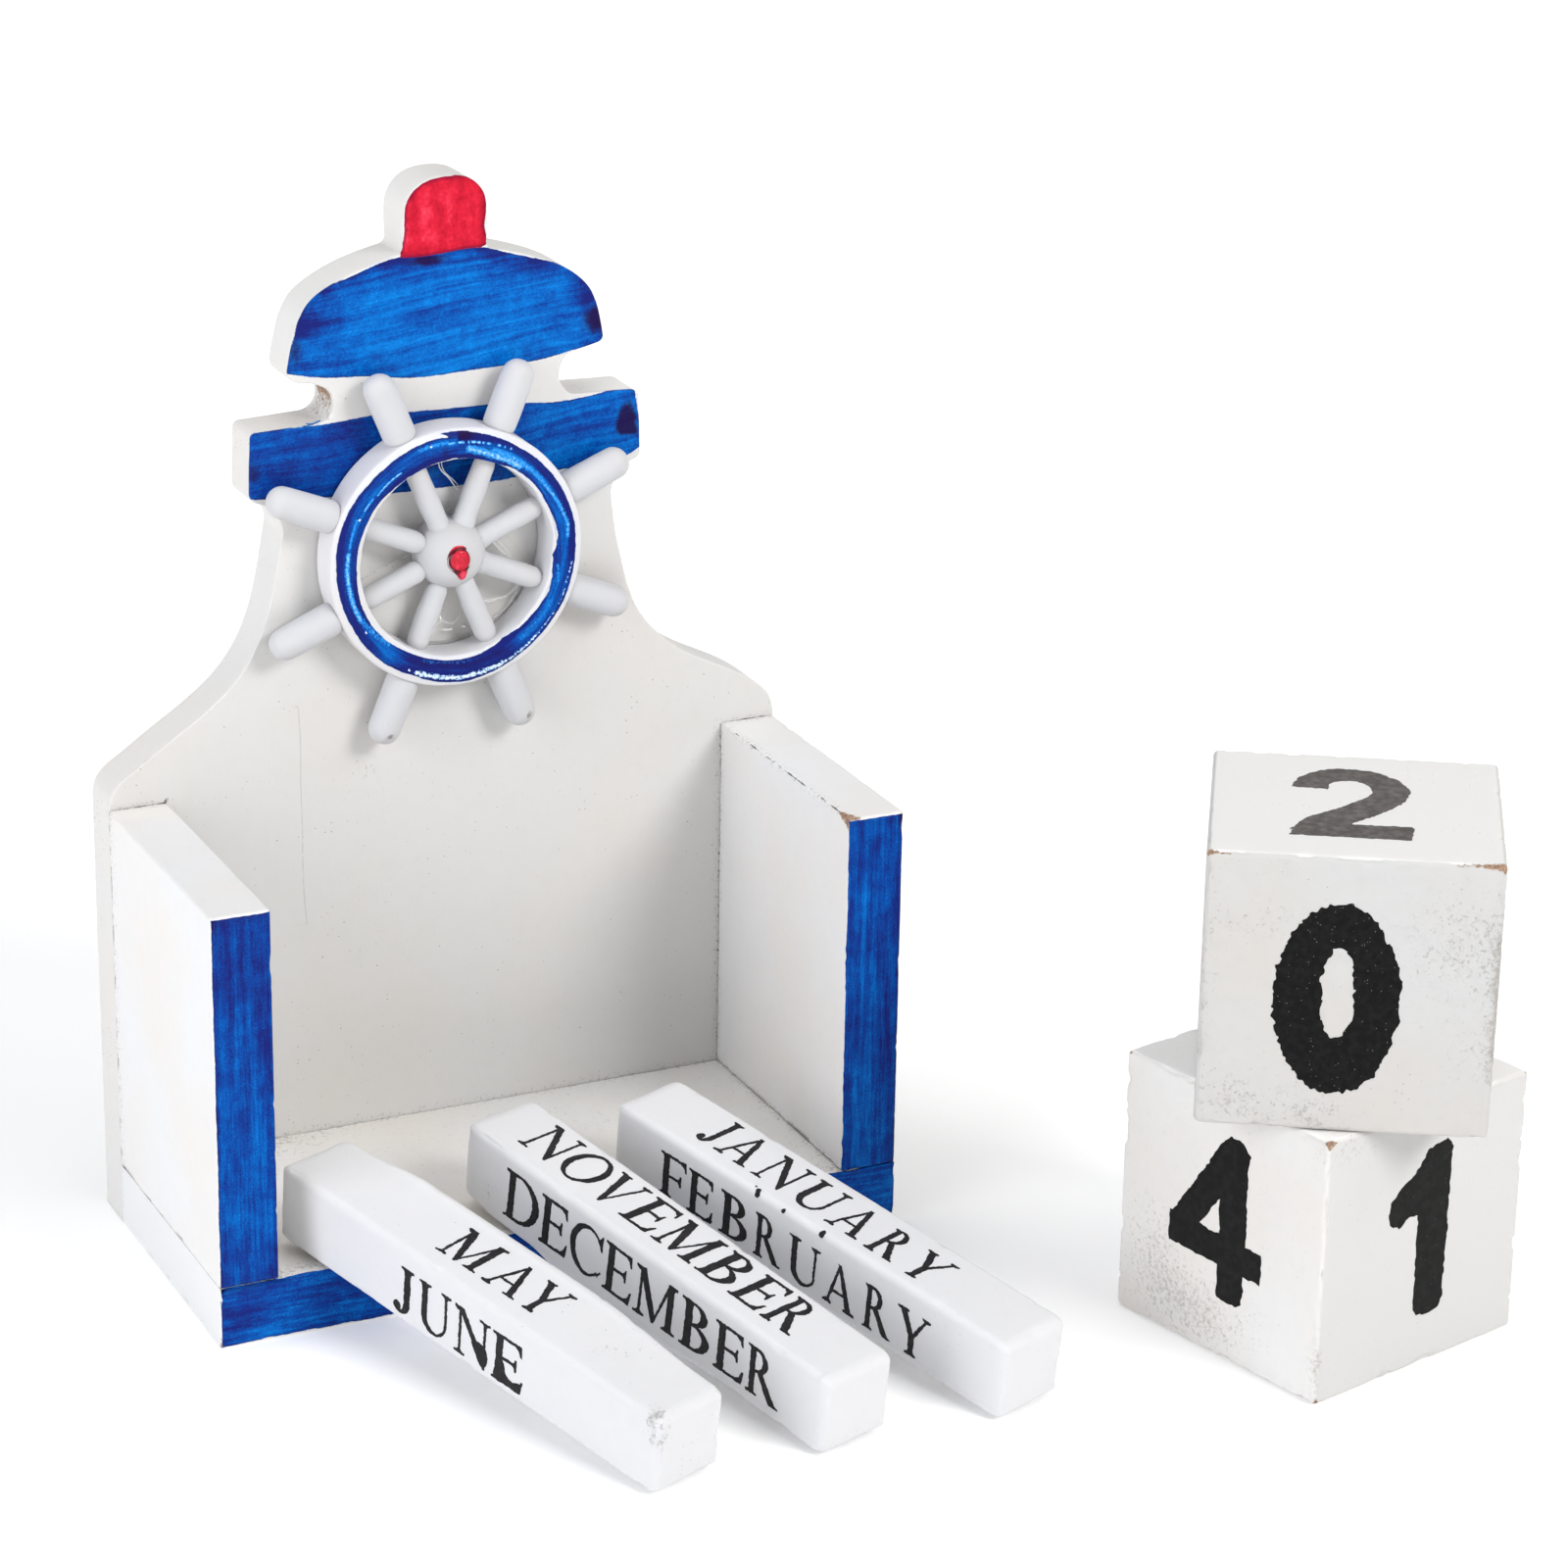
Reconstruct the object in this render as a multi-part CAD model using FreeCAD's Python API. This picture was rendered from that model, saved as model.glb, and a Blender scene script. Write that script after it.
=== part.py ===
"""Perpetual block calendar in a lighthouse-shaped holder.

An open-fronted wooden holder (backboard, base and two side panels) with a
ship's wheel glued to the backboard, three square month bars that lean out of
the open front, and two day cubes stacked on the table beside the holder.

Frame: millimetres, +Z up, +X to the right seen from the open side, +Y towards
the back. The origin is the centre of the holder's footprint on the table.
"""
import FreeCAD, Part
import math
import os

os.makedirs("parts", exist_ok=True)
V = FreeCAD.Vector

# ---------------------------------------------------------------- dimensions
HOLDER_W = 100.0        # width over the side panels and of the backboard
BAY_DEPTH = 42.1        # depth of base and side panels in front of the backboard
BACK_T = 7.7            # backboard thickness
SIDE_T = 8.4            # side panel thickness
BASE_T = 8.8            # base thickness
SIDE_TOP = 61.8         # top of the side panels above the table
PANEL_ROUND = 0.45      # softened wood edges

BAR_A = 11.7            # month bar section
BAR_L = 74.7            # month bar length
BAR_ROUND = 0.9
CUBE = 38.0             # day cube edge
CUBE_ROUND = 1.3

WHEEL_X = -1.10         # wheel centre across the backboard
WHEEL_Z = 93.65         # wheel centre above the table
WHEEL_GAP = 0.3         # film of glue between backboard and wheel
RIM_R_OUT = 18.5
RIM_R_IN = 13.9
RIM_DEPTH = 6.05
RIM_ROUND_OUT = 0.75
RIM_ROUND_IN = 0.35
HUB_R = 5.1
HUB_DEPTH = 6.5
SPOKE_R = 1.52
SPOKE_START = 3.75      # spokes are seated in the hub
HANDLE_R = 2.42
HANDLE_SEAT = 18.3      # inner end of the handles, let into the rim's outside
HANDLE_TIP = 28.4
BUTTON_R = 1.7
N_SPINDLES = 8

FIT_GAP = 0.12          # air left between a leaning bar and what it leans on

# -------------------------------------------------------- derived positions
Y_FRONT = -(BAY_DEPTH + BACK_T) / 2.0       # open front of the holder
Y_BOARD = Y_FRONT + BAY_DEPTH               # front face of the backboard
Y_REAR = Y_BOARD + BACK_T
X_IN = HOLDER_W / 2.0 - SIDE_T              # inside face of the side panels


def save(shape, name):
    shape = shape.removeSplitter() if shape.ShapeType != "Solid" else shape
    solids = shape.Solids
    if len(solids) != 1:
        raise ValueError("%s has %d solids" % (name, len(solids)))
    s = solids[0]
    if not s.isValid():
        raise ValueError(name + " is not valid")
    s.exportStep("parts/%s.step" % name)
    return s


def rounded_box(x0, y0, z0, dx, dy, dz, r):
    b = Part.makeBox(dx, dy, dz, V(x0, y0, z0))
    return b.makeFillet(r, b.Edges)


# ------------------------------------------------------------------ backboard
# Outline in the X-Z plane, right side then left side; the two sides of the
# sawn lighthouse differ a little at the slot below the dome.
def spline(pts, t0=None, t1=None):
    c = Part.BSplineCurve()
    vs = [V(x, 0, z) for x, z in pts]
    if t0 is not None and t1 is not None:
        c.interpolate(Points=vs, InitialTangent=V(t0[0], 0, t0[1]),
                      FinalTangent=V(t1[0], 0, t1[1]))
    else:
        c.interpolate(Points=vs)
    return c.toShape()


def line(a, b):
    return Part.makeLine(V(a[0], 0, a[1]), V(b[0], 0, b[1]))


def arc(a, m, b):
    return Part.Arc(V(a[0], 0, a[1]), V(m[0], 0, m[1]), V(b[0], 0, b[1])).toShape()


R = [
    ("line", (50.0, 0.0), (50.0, 61.4)),
    ("spline", (50.0, 61.4), (49.75, 63.4), (48.9, 65.5), (46.9, 67.4), (42.0, 70.3),
     (36.0, 73.4), (31.6, 76.9), (28.3, 81.2), (26.5, 86.4), (25.2, 92.2), (24.4, 98.4)),
    ("arc", (24.4, 98.4), (25.45, 101.2), (27.7, 102.8)),
    ("arc", (27.7, 102.8), (28.45, 103.25), (28.7, 104.0)),
    ("line", (28.7, 104.0), (28.5, 111.7)),
    ("arc", (28.5, 111.7), (28.15, 112.6), (27.3, 113.0)),
    ("line", (27.3, 113.0), (18.4, 113.3)),
    ("arc", (18.4, 113.3), (16.55, 115.9), (17.9, 119.1)),
    ("line", (17.9, 119.1), (22.4, 120.2)),
    ("arc", (22.4, 120.2), (22.95, 120.6), (23.1, 121.3)),
    ("spline", (23.1, 121.3), (22.5, 124.6), (21.3, 127.8), (18.7, 130.5), (14.0, 132.9), (9.6, 134.3), (6.3, 135.1)),
    ("arc", (6.3, 135.1), (5.98, 135.5), (5.9, 136.3)),
    ("spline", (5.9, 136.3), (6.0, 140.4), (5.45, 143.1), (3.6, 144.9), (0.0, 145.6)),
]
L = [
    ("line", (-50.0, 0.0), (-50.0, 61.6)),
    ("spline", (-50.0, 61.6), (-49.7, 63.5), (-48.6, 65.2), (-46.6, 66.7), (-42.4, 69.6),
     (-35.6, 74.2), (-31.7, 77.6), (-28.7, 81.8), (-26.6, 87.0), (-25.3, 92.6), (-24.3, 98.2)),
    ("arc", (-24.3, 98.2), (-25.2, 101.0), (-27.6, 102.7)),
    ("arc", (-27.6, 102.7), (-28.4, 103.15), (-28.75, 104.0)),
    ("line", (-28.75, 104.0), (-28.5, 111.8)),
    ("arc", (-28.5, 111.8), (-28.1, 112.5), (-27.3, 112.7)),
    ("line", (-27.3, 112.7), (-18.9, 113.1)),
    ("arc", (-18.9, 113.1), (-16.45, 115.1), (-18.4, 116.9)),
    ("line", (-18.4, 116.9), (-20.4, 117.4)),
    ("arc", (-20.4, 117.4), (-22.35, 118.9), (-22.95, 121.2)),
    ("spline", (-22.95, 121.2), (-22.2, 124.8), (-20.0, 129.6), (-17.0, 131.8), (-13.6, 133.4), (-9.8, 134.6), (-6.9, 135.3)),
    ("arc", (-6.9, 135.3), (-6.35, 135.7), (-6.2, 136.6)),
    ("spline", (-6.2, 136.6), (-6.3, 139.6), (-5.9, 142.2), (-4.3, 144.4), (0.0, 145.6)),
]


def edges_of(segs):
    out = []
    for s in segs:
        if s[0] == "line":
            out.append(line(s[1], s[2]))
        elif s[0] == "arc":
            out.append(arc(s[1], s[2], s[3]))
        else:
            last_top = abs(s[-1][0]) < 1e-9
            first_side = s[1][1] in (61.4, 61.6)
            if last_top:
                sx = -1.0 if s[1][0] > 0 else 1.0
                out.append(spline(s[1:], (0.02 if sx < 0 else -0.02, 1.0), (sx, 0.0)))
            elif first_side:
                sx = -1.0 if s[1][0] > 0 else 1.0
                out.append(spline(s[1:], (0.0, 1.0), (0.10 * sx, 1.0)))
            else:
                out.append(spline(s[1:]))
    return out


outline = edges_of(R) + edges_of(L) + [line((-50.0, 0.0), (50.0, 0.0))]
wire = Part.Wire(Part.__sortEdges__(outline))
board = Part.Face(wire).extrude(V(0, BACK_T, 0))
board.translate(V(0, Y_BOARD, 0))
for r in (0.35, 0.25, 0.15):
    try:
        rim_edges = [e for e in board.Edges
                     if abs(e.BoundBox.YMin - Y_REAR) < 1e-6]
        test = board.makeFillet(r, rim_edges)
        if test.isValid() and len(test.Solids) == 1:
            board = test
            break
    except Exception:
        pass
save(board, "backboard")

# -------------------------------------------------------- base and side panels
# The base runs the full width; the side panels stand on it. Joined faces stay
# flat, free edges are softened.
def softened(box, keep):
    sel = [e for e in box.Edges if keep(e.BoundBox)]
    return box.makeFillet(PANEL_ROUND, sel)


base = Part.makeBox(HOLDER_W, BAY_DEPTH, BASE_T, V(-HOLDER_W / 2, Y_FRONT, 0))
base = softened(base, lambda b: b.YMax < Y_FRONT + 1e-6 and b.XLength > 50)
save(base, "base_panel")

side = Part.makeBox(SIDE_T, BAY_DEPTH, SIDE_TOP - BASE_T, V(-HOLDER_W / 2, Y_FRONT, BASE_T))
side = softened(side, lambda b: (b.ZMin > SIDE_TOP - 1e-6) or (b.YMax < Y_FRONT + 1e-6 and b.ZLength > 20))
save(side, "left_side_panel")
side_r = side.copy()
side_r.translate(V(HOLDER_W - SIDE_T, 0, 0))
save(side_r, "right_side_panel")

# --------------------------------------------------------------- ship's wheel
# Everything on the wheel is made lying with its axis along Z at the origin,
# front face up, then stood against the backboard.
def stand(shape):
    s = shape.copy()
    s.rotate(V(0, 0, 0), V(1, 0, 0), 90)         # +Z (front of wheel) to -Y
    s.translate(V(WHEEL_X, Y_BOARD - WHEEL_GAP, WHEEL_Z))
    return s


def revolve(points):
    """Closed (r, z) outline turned about Z."""
    vs = [V(r, 0, z) for r, z in points]
    w = Part.makePolygon(vs + [vs[0]])
    return Part.Face(w).revolve(V(0, 0, 0), V(0, 0, 1), 360)


def spindle(angle):
    """Turned spoke with its round-ended handle, pointing along +X, then turned."""
    zc = RIM_DEPTH / 2.0
    spoke = Part.makeCylinder(SPOKE_R, HANDLE_SEAT + 0.5 - SPOKE_START, V(SPOKE_START, 0, zc), V(1, 0, 0))
    handle = Part.makeCylinder(HANDLE_R, HANDLE_TIP - HANDLE_SEAT, V(HANDLE_SEAT, 0, zc), V(1, 0, 0))
    end = [e for e in handle.Edges if e.BoundBox.XMin > HANDLE_TIP - 1e-6]
    handle = handle.makeFillet(HANDLE_R - 0.25, end)
    s = spoke.fuse(handle).removeSplitter()
    s.rotate(V(0, 0, 0), V(0, 0, 1), angle)
    return s


spindles = [spindle(22.5 + 45.0 * i) for i in range(N_SPINDLES)]

rim = Part.makeCylinder(RIM_R_OUT, RIM_DEPTH).cut(Part.makeCylinder(RIM_R_IN, RIM_DEPTH))
front_out = [e for e in rim.Edges if abs(e.BoundBox.ZMin - RIM_DEPTH) < 1e-6 and e.BoundBox.XMax > RIM_R_OUT - 0.1]
rim = rim.makeFillet(RIM_ROUND_OUT, front_out)
front_in = [e for e in rim.Edges if abs(e.BoundBox.ZMin - RIM_DEPTH) < 1e-6 and e.BoundBox.XMax < RIM_R_IN + 0.1]
rim = rim.makeFillet(RIM_ROUND_IN, front_in)
back_out = [e for e in rim.Edges if abs(e.BoundBox.ZMax) < 1e-6 and e.BoundBox.XMax > RIM_R_OUT - 0.1]
rim = rim.makeFillet(0.4, back_out)

# domed hub: straight flank, then an arc up to a small flat seat for the button
hub_side = Part.Wire([
    Part.makeLine(V(0, 0, 0), V(HUB_R - 0.6, 0, 0)),
    Part.makeLine(V(HUB_R - 0.6, 0, 0), V(HUB_R, 0, 0.6)),
    Part.makeLine(V(HUB_R, 0, 0.6), V(HUB_R, 0, 4.0)),
    Part.Arc(V(HUB_R, 0, 4.0), V(4.2, 0, 5.6), V(2.1, 0, HUB_DEPTH)).toShape(),
    Part.makeLine(V(2.1, 0, HUB_DEPTH), V(0, 0, HUB_DEPTH)),
    Part.makeLine(V(0, 0, HUB_DEPTH), V(0, 0, 0)),
])
hub = Part.Face(hub_side).revolve(V(0, 0, 0), V(0, 0, 1), 360)

# red centre button: a short peg with a domed head
head_z = HUB_DEPTH
peg = Part.makeCylinder(BUTTON_R - 0.45, 2.2, V(0, 0, HUB_DEPTH - 2.2))
head = Part.makeCylinder(BUTTON_R, 0.75, V(0, 0, head_z))
head_top = [e for e in head.Edges if abs(e.BoundBox.ZMin - (head_z + 0.75)) < 1e-6]
head = head.makeFillet(0.6, head_top)
button = peg.fuse(head).removeSplitter()

for i, s in enumerate(spindles):
    rim = rim.cut(s)
    hub = hub.cut(s)
hub = hub.cut(Part.makeCylinder(BUTTON_R - 0.45, 2.2, V(0, 0, HUB_DEPTH - 2.2)))

save(stand(rim), "wheel_rim")
save(stand(hub), "wheel_hub")
save(stand(button), "wheel_center_button")
for i, s in enumerate(spindles):
    save(stand(s), "wheel_spindle_%d" % (i + 1))

# ------------------------------------------------------------------- hot glue
# A squeezed-out puddle between the wheel and the backboard. It spreads down
# and to the right until it holds the back of the rim too, and carries a few
# raised drops between the spokes. (angle, radius) about the wheel's centre.
GLUE = [(90, 6.3), (60, 6.8), (35, 7.1), (12, 8.6), (-12, 12.2), (-32, 14.9), (-52, 15.4),
        (-72, 15.1), (-92, 14.9), (-107, 14.0), (-121, 10.6), (-138, 7.4), (-160, 6.2),
        (180, 6.0), (150, 6.1), (120, 6.0)]
ring = [V(r * math.cos(math.radians(t)), r * math.sin(math.radians(t)), -WHEEL_GAP) for t, r in GLUE]
curve = Part.BSplineCurve()
curve.interpolate(Points=ring, PeriodicFlag=True)
glue = Part.Face(Part.Wire([curve.toShape()])).extrude(V(0, 0, WHEEL_GAP))
for t, r, rad, up in [(-88, 10.3, 2.6, 1.15), (-58, 9.9, 2.9, 1.35), (-40, 11.2, 1.9, 0.9), (-110, 8.6, 2.0, 0.9)]:
    # spherical cap of footprint radius rad and height up, standing on the puddle
    big = (rad * rad + up * up) / (2.0 * up)
    ball = Part.makeSphere(big)
    ball.translate(V(r * math.cos(math.radians(t)), r * math.sin(math.radians(t)), up - big))
    cap = ball.common(Part.makeBox(40, 40, 6, V(-20, -20, -0.3)))
    glue = glue.fuse(cap)
glue = glue.cut(rim).cut(hub)
for s in spindles:
    glue = glue.cut(s)
save(stand(glue), "hot_glue_pad")

# ------------------------------------------------------------------ month bars
# Each bar lies in a plane that rises from the table to the front top edge of
# the base: (across, behind the edge, turn seen from above).
BARS = [
    ("month_bar_left", -33.25, 11.43, 19.55),
    ("month_bar_middle", -5.6, 13.24, 16.42),
    ("month_bar_right", 15.83, 11.6, 19.4),
]
BAR_POSE = []
for name, x_rear, v_rear, yaw in BARS:
    yr = math.radians(yaw)
    # distance down the slope from the edge to the bar's lowest corner
    reach = BAR_L * math.cos(yr) + 0.5 * BAR_A * math.sin(yr) - v_rear
    slope = math.degrees(math.asin(BASE_T / reach))
    bar = rounded_box(-BAR_A / 2, -BAR_L, 0, BAR_A, BAR_L, BAR_A, BAR_ROUND)
    bar.rotate(V(0, 0, 0), V(0, 0, 1), yaw)
    bar.translate(V(x_rear, v_rear, 0))
    bar.rotate(V(0, 0, 0), V(1, 0, 0), slope)
    bar.translate(V(0, Y_FRONT, BASE_T + FIT_GAP))
    BAR_POSE.append((name, x_rear, v_rear, yaw, slope))
    save(bar, name)

# ------------------------------------------------------------------- day cubes
def cube(cx, cy, z0, yaw):
    c = rounded_box(-CUBE / 2, -CUBE / 2, 0, CUBE, CUBE, CUBE, CUBE_ROUND)
    c.rotate(V(0, 0, 0), V(0, 0, 1), yaw)
    c.translate(V(cx, cy, z0))
    return c


save(cube(88.89, -91.69 + Y_BOARD, 0.0, 14.3), "day_cube_lower")
save(cube(87.99, -96.19 + Y_BOARD, CUBE + 0.02, -31.5), "day_cube_upper")
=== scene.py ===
import bpy
import math
import numpy as np
from mathutils import Matrix, Vector
from mathutils.geometry import delaunay_2d_cdt


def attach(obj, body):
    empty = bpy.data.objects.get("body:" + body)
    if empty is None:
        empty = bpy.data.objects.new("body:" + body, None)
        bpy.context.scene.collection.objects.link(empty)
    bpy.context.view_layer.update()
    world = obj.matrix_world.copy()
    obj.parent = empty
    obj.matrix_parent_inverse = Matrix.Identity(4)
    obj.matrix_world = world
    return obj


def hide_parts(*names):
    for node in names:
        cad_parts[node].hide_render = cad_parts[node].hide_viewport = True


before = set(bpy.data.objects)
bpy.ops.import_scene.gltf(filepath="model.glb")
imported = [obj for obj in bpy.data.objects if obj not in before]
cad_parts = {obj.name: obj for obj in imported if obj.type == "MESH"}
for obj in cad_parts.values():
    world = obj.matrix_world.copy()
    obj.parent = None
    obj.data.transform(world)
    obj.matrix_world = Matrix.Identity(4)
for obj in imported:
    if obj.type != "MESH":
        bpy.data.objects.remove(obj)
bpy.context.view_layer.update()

# Perpetual block calendar in a lighthouse-shaped holder. Lengths below are in
# millimetres and become metres when a mesh is made.
MM = 0.001

HOLDER_W, BAY_DEPTH, BACK_T, SIDE_T, BASE_T, SIDE_TOP = 100.0, 42.1, 7.7, 8.4, 8.8, 61.8
BAR_A, BAR_L = 11.7, 74.7
CUBE = 38.0
WHEEL_X, WHEEL_Z, WHEEL_GAP = -1.10, 93.65, 0.3
RIM_R_OUT, RIM_R_IN, RIM_DEPTH = 18.5, 13.9, 6.05
HUB_R, HUB_DEPTH = 5.1, 6.5
SPOKE_R, SPOKE_START = 1.52, 3.75
HANDLE_R, HANDLE_SEAT, HANDLE_TIP = 2.42, 18.3, 28.4
FIT_GAP = 0.12
Y_FRONT = -(BAY_DEPTH + BACK_T) / 2.0
Y_BOARD = Y_FRONT + BAY_DEPTH
Y_REAR = Y_BOARD + BACK_T
X_IN = HOLDER_W / 2.0 - SIDE_T


# ------------------------------------------------------------------ noise
def _hash(ix, iy, iz, seed):
    h = (ix.astype(np.uint64) * np.uint64(73856093)) ^ (iy.astype(np.uint64) * np.uint64(19349663)) \
        ^ (iz.astype(np.uint64) * np.uint64(83492791)) ^ np.uint64((seed * 2654435761) & 0xFFFFFFFF)
    h = h & np.uint64(0xFFFFFFFF)
    h = ((h ^ (h >> np.uint64(15))) * np.uint64(2246822519)) & np.uint64(0xFFFFFFFF)
    h = ((h ^ (h >> np.uint64(13))) * np.uint64(3266489917)) & np.uint64(0xFFFFFFFF)
    h = h ^ (h >> np.uint64(16))
    return h.astype(float) / 4294967295.0


def vnoise(p, seed=0):
    """Smooth value noise, 0 to 1, with cells of size 1."""
    p = np.asarray(p, float)
    if p.shape[1] == 2:
        p = np.column_stack([p, np.zeros(len(p)) + 0.37])
    i = np.floor(p).astype(np.int64)
    f = p - i
    f = f * f * f * (f * (f * 6 - 15) + 10)
    out = np.zeros(len(p))
    for dx in (0, 1):
        wx = f[:, 0] if dx else 1 - f[:, 0]
        for dy in (0, 1):
            wy = f[:, 1] if dy else 1 - f[:, 1]
            for dz in (0, 1):
                wz = f[:, 2] if dz else 1 - f[:, 2]
                out += wx * wy * wz * _hash(i[:, 0] + dx, i[:, 1] + dy, i[:, 2] + dz, seed)
    return out


def fbm(p, seed=0, octaves=4, gain=0.5):
    p = np.asarray(p, float)
    a, s, tot = 1.0, np.zeros(len(p)), 0.0
    for k in range(octaves):
        s += a * vnoise(p * (2.0 ** k) + 17.3 * k, seed + k)
        tot += a
        a *= gain
    return s / tot


def sstep(x, a, b):
    t = np.clip((np.asarray(x, float) - a) / (b - a), 0, 1)
    return t * t * (3 - 2 * t)


# ------------------------------------------------------------- mesh helpers
def make_obj(name, verts, faces, mats, body, attrs=None, matrix=None, replaces=(), smooth=True, face_mat=None, sharp_deg=None):
    me = bpy.data.meshes.new(name)
    me.from_pydata((np.asarray(verts, float) * MM).tolist(), [], [list(map(int, f)) for f in faces])
    me.validate()
    if smooth:
        me.polygons.foreach_set("use_smooth", [True] * len(me.polygons))
    for k, a in (attrs or {}).items():
        at = me.attributes.new(k, "FLOAT", "POINT")
        at.data.foreach_set("value", np.asarray(a, np.float32))
    mats = mats if isinstance(mats, (list, tuple)) else [mats]
    for m in mats:
        me.materials.append(m)
    if face_mat is not None:
        me.polygons.foreach_set("material_index", np.asarray(face_mat, np.int32))
    me.update()
    o = bpy.data.objects.new(name, me)
    bpy.context.scene.collection.objects.link(o)
    if sharp_deg is not None:
        me.set_sharp_from_angle(angle=math.radians(sharp_deg))
    if matrix is not None:
        o.matrix_world = matrix
    if replaces:
        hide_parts(*replaces)
    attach(o, body)
    return o


def rbox(lo, hi, rr, cell, n=4):
    """Box surface as one quad mesh. rr gives how far the rounding reaches in from each of the six sides.
    Returns sharp points, rounded points, outward normals and quads."""
    lo, hi = np.array(lo, float), np.array(hi, float)
    rr = np.array(rr, float)
    lines = []
    for k in range(3):
        t = np.tan(np.radians(45) * (1 - np.arange(n + 1) / n))
        s0 = lo[k] + rr[k, 0] * (1 - t)
        s1 = (hi[k] - rr[k, 1] * (1 - t))[::-1]
        a, b = lo[k] + rr[k, 0], hi[k] - rr[k, 1]
        m = max(2, int(round((b - a) / cell)))
        lines.append(np.concatenate([s0, np.linspace(a, b, m + 1)[1:-1], s1]))
    nx, ny, nz = (len(l) for l in lines)
    dims = (nx, ny, nz)
    quads = []
    for ax in range(3):
        u, v = [(1, 2), (2, 0), (0, 1)][ax]
        for side in (0, 1):
            iu, iv = np.meshgrid(np.arange(dims[u]), np.arange(dims[v]), indexing="ij")
            idx = [None] * 3
            idx[u], idx[v] = iu, iv
            idx[ax] = np.full_like(iu, 0 if side == 0 else dims[ax] - 1)
            K = (idx[0] * ny + idx[1]) * nz + idx[2]
            q = np.stack([K[:-1, :-1], K[1:, :-1], K[1:, 1:], K[:-1, 1:]], -1).reshape(-1, 4)
            if side == 0:
                q = q[:, ::-1]
            quads.append(q)
    quads = np.concatenate(quads)
    keys, inv = np.unique(quads, return_inverse=True)
    quads = inv.reshape(quads.shape)
    k = keys % nz
    j = (keys // nz) % ny
    i = keys // (ny * nz)
    P = np.column_stack([lines[0][i], lines[1][j], lines[2][k]])
    inner = np.clip(P, lo + rr[:, 0], hi - rr[:, 1])
    D = P - inner
    R = np.where(D < 0, rr[:, 0], rr[:, 1])
    dn = D / R
    ln = np.linalg.norm(dn, axis=1, keepdims=True)
    dn = dn / ln
    pos = inner + dn * R
    nrm = dn / R
    nrm /= np.linalg.norm(nrm, axis=1, keepdims=True)
    return P, pos, nrm, quads


def box_dist(P, lo, hi):
    """Distance along the surface to the nearest edge, and to the nearest corner."""
    d = np.minimum(P - np.array(lo), np.array(hi) - P)
    d = np.sort(d, axis=1)
    return d[:, 1], np.hypot(d[:, 1], d[:, 2])


def catmull(pts, step=0.5, closed=False):
    """Natural cubic spline through the points by chord length, sampled about every step."""
    pts = np.array(pts, float)
    if len(pts) == 2:
        n = max(2, int(np.linalg.norm(pts[1] - pts[0]) / step) + 1)
        return pts[0] + (pts[1] - pts[0]) * np.linspace(0, 1, n)[:, None]
    if closed:
        k = 3
        pts = np.concatenate([pts[-k:], pts, pts[:k + 1]])
    t = np.concatenate([[0], np.cumsum(np.linalg.norm(np.diff(pts, axis=0), axis=1))])
    n = len(pts)
    A = np.zeros((n, n))
    B = np.zeros((n, pts.shape[1]))
    h = np.diff(t)
    A[0, 0] = A[-1, -1] = 1
    for q in range(1, n - 1):
        A[q, q - 1], A[q, q], A[q, q + 1] = h[q - 1], 2 * (h[q - 1] + h[q]), h[q]
        B[q] = 6 * ((pts[q + 1] - pts[q]) / h[q] - (pts[q] - pts[q - 1]) / h[q - 1])
    M = np.linalg.solve(A, B)
    ta, tb = (t[3], t[n - 4]) if closed else (t[0], t[-1])
    m = max(2, int((tb - ta) / step) + 1)
    s = np.linspace(ta, tb, m)
    j = np.clip(np.searchsorted(t, s, side="right") - 1, 0, n - 2)
    a, b = (t[j + 1] - s)[:, None], (s - t[j])[:, None]
    hh = h[j][:, None]
    out = M[j] * a ** 3 / (6 * hh) + M[j + 1] * b ** 3 / (6 * hh) + (pts[j] / hh - M[j] * hh / 6) * a + (pts[j + 1] / hh - M[j + 1] * hh / 6) * b
    return out[:-1] if closed else out


def arc3(a, m, b, step=0.4):
    ax, ay = a
    bx, by = m
    cx, cy = b
    d = 2 * (ax * (by - cy) + bx * (cy - ay) + cx * (ay - by))
    ux = ((ax * ax + ay * ay) * (by - cy) + (bx * bx + by * by) * (cy - ay) + (cx * cx + cy * cy) * (ay - by)) / d
    uy = ((ax * ax + ay * ay) * (cx - bx) + (bx * bx + by * by) * (ax - cx) + (cx * cx + cy * cy) * (bx - ax)) / d
    r = math.hypot(ax - ux, ay - uy)
    t0, t1, t2 = (math.atan2(p[1] - uy, p[0] - ux) for p in (a, m, b))
    w1 = (t1 - t0) % (2 * math.pi)
    w2 = (t2 - t0) % (2 * math.pi)
    sweep = w2 if w1 < w2 else w2 - 2 * math.pi
    n = max(5, int(abs(sweep) * r / step) + 1)
    t = t0 + sweep * np.linspace(0, 1, n)
    return np.column_stack([ux + r * np.cos(t), uy + r * np.sin(t)])


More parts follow.
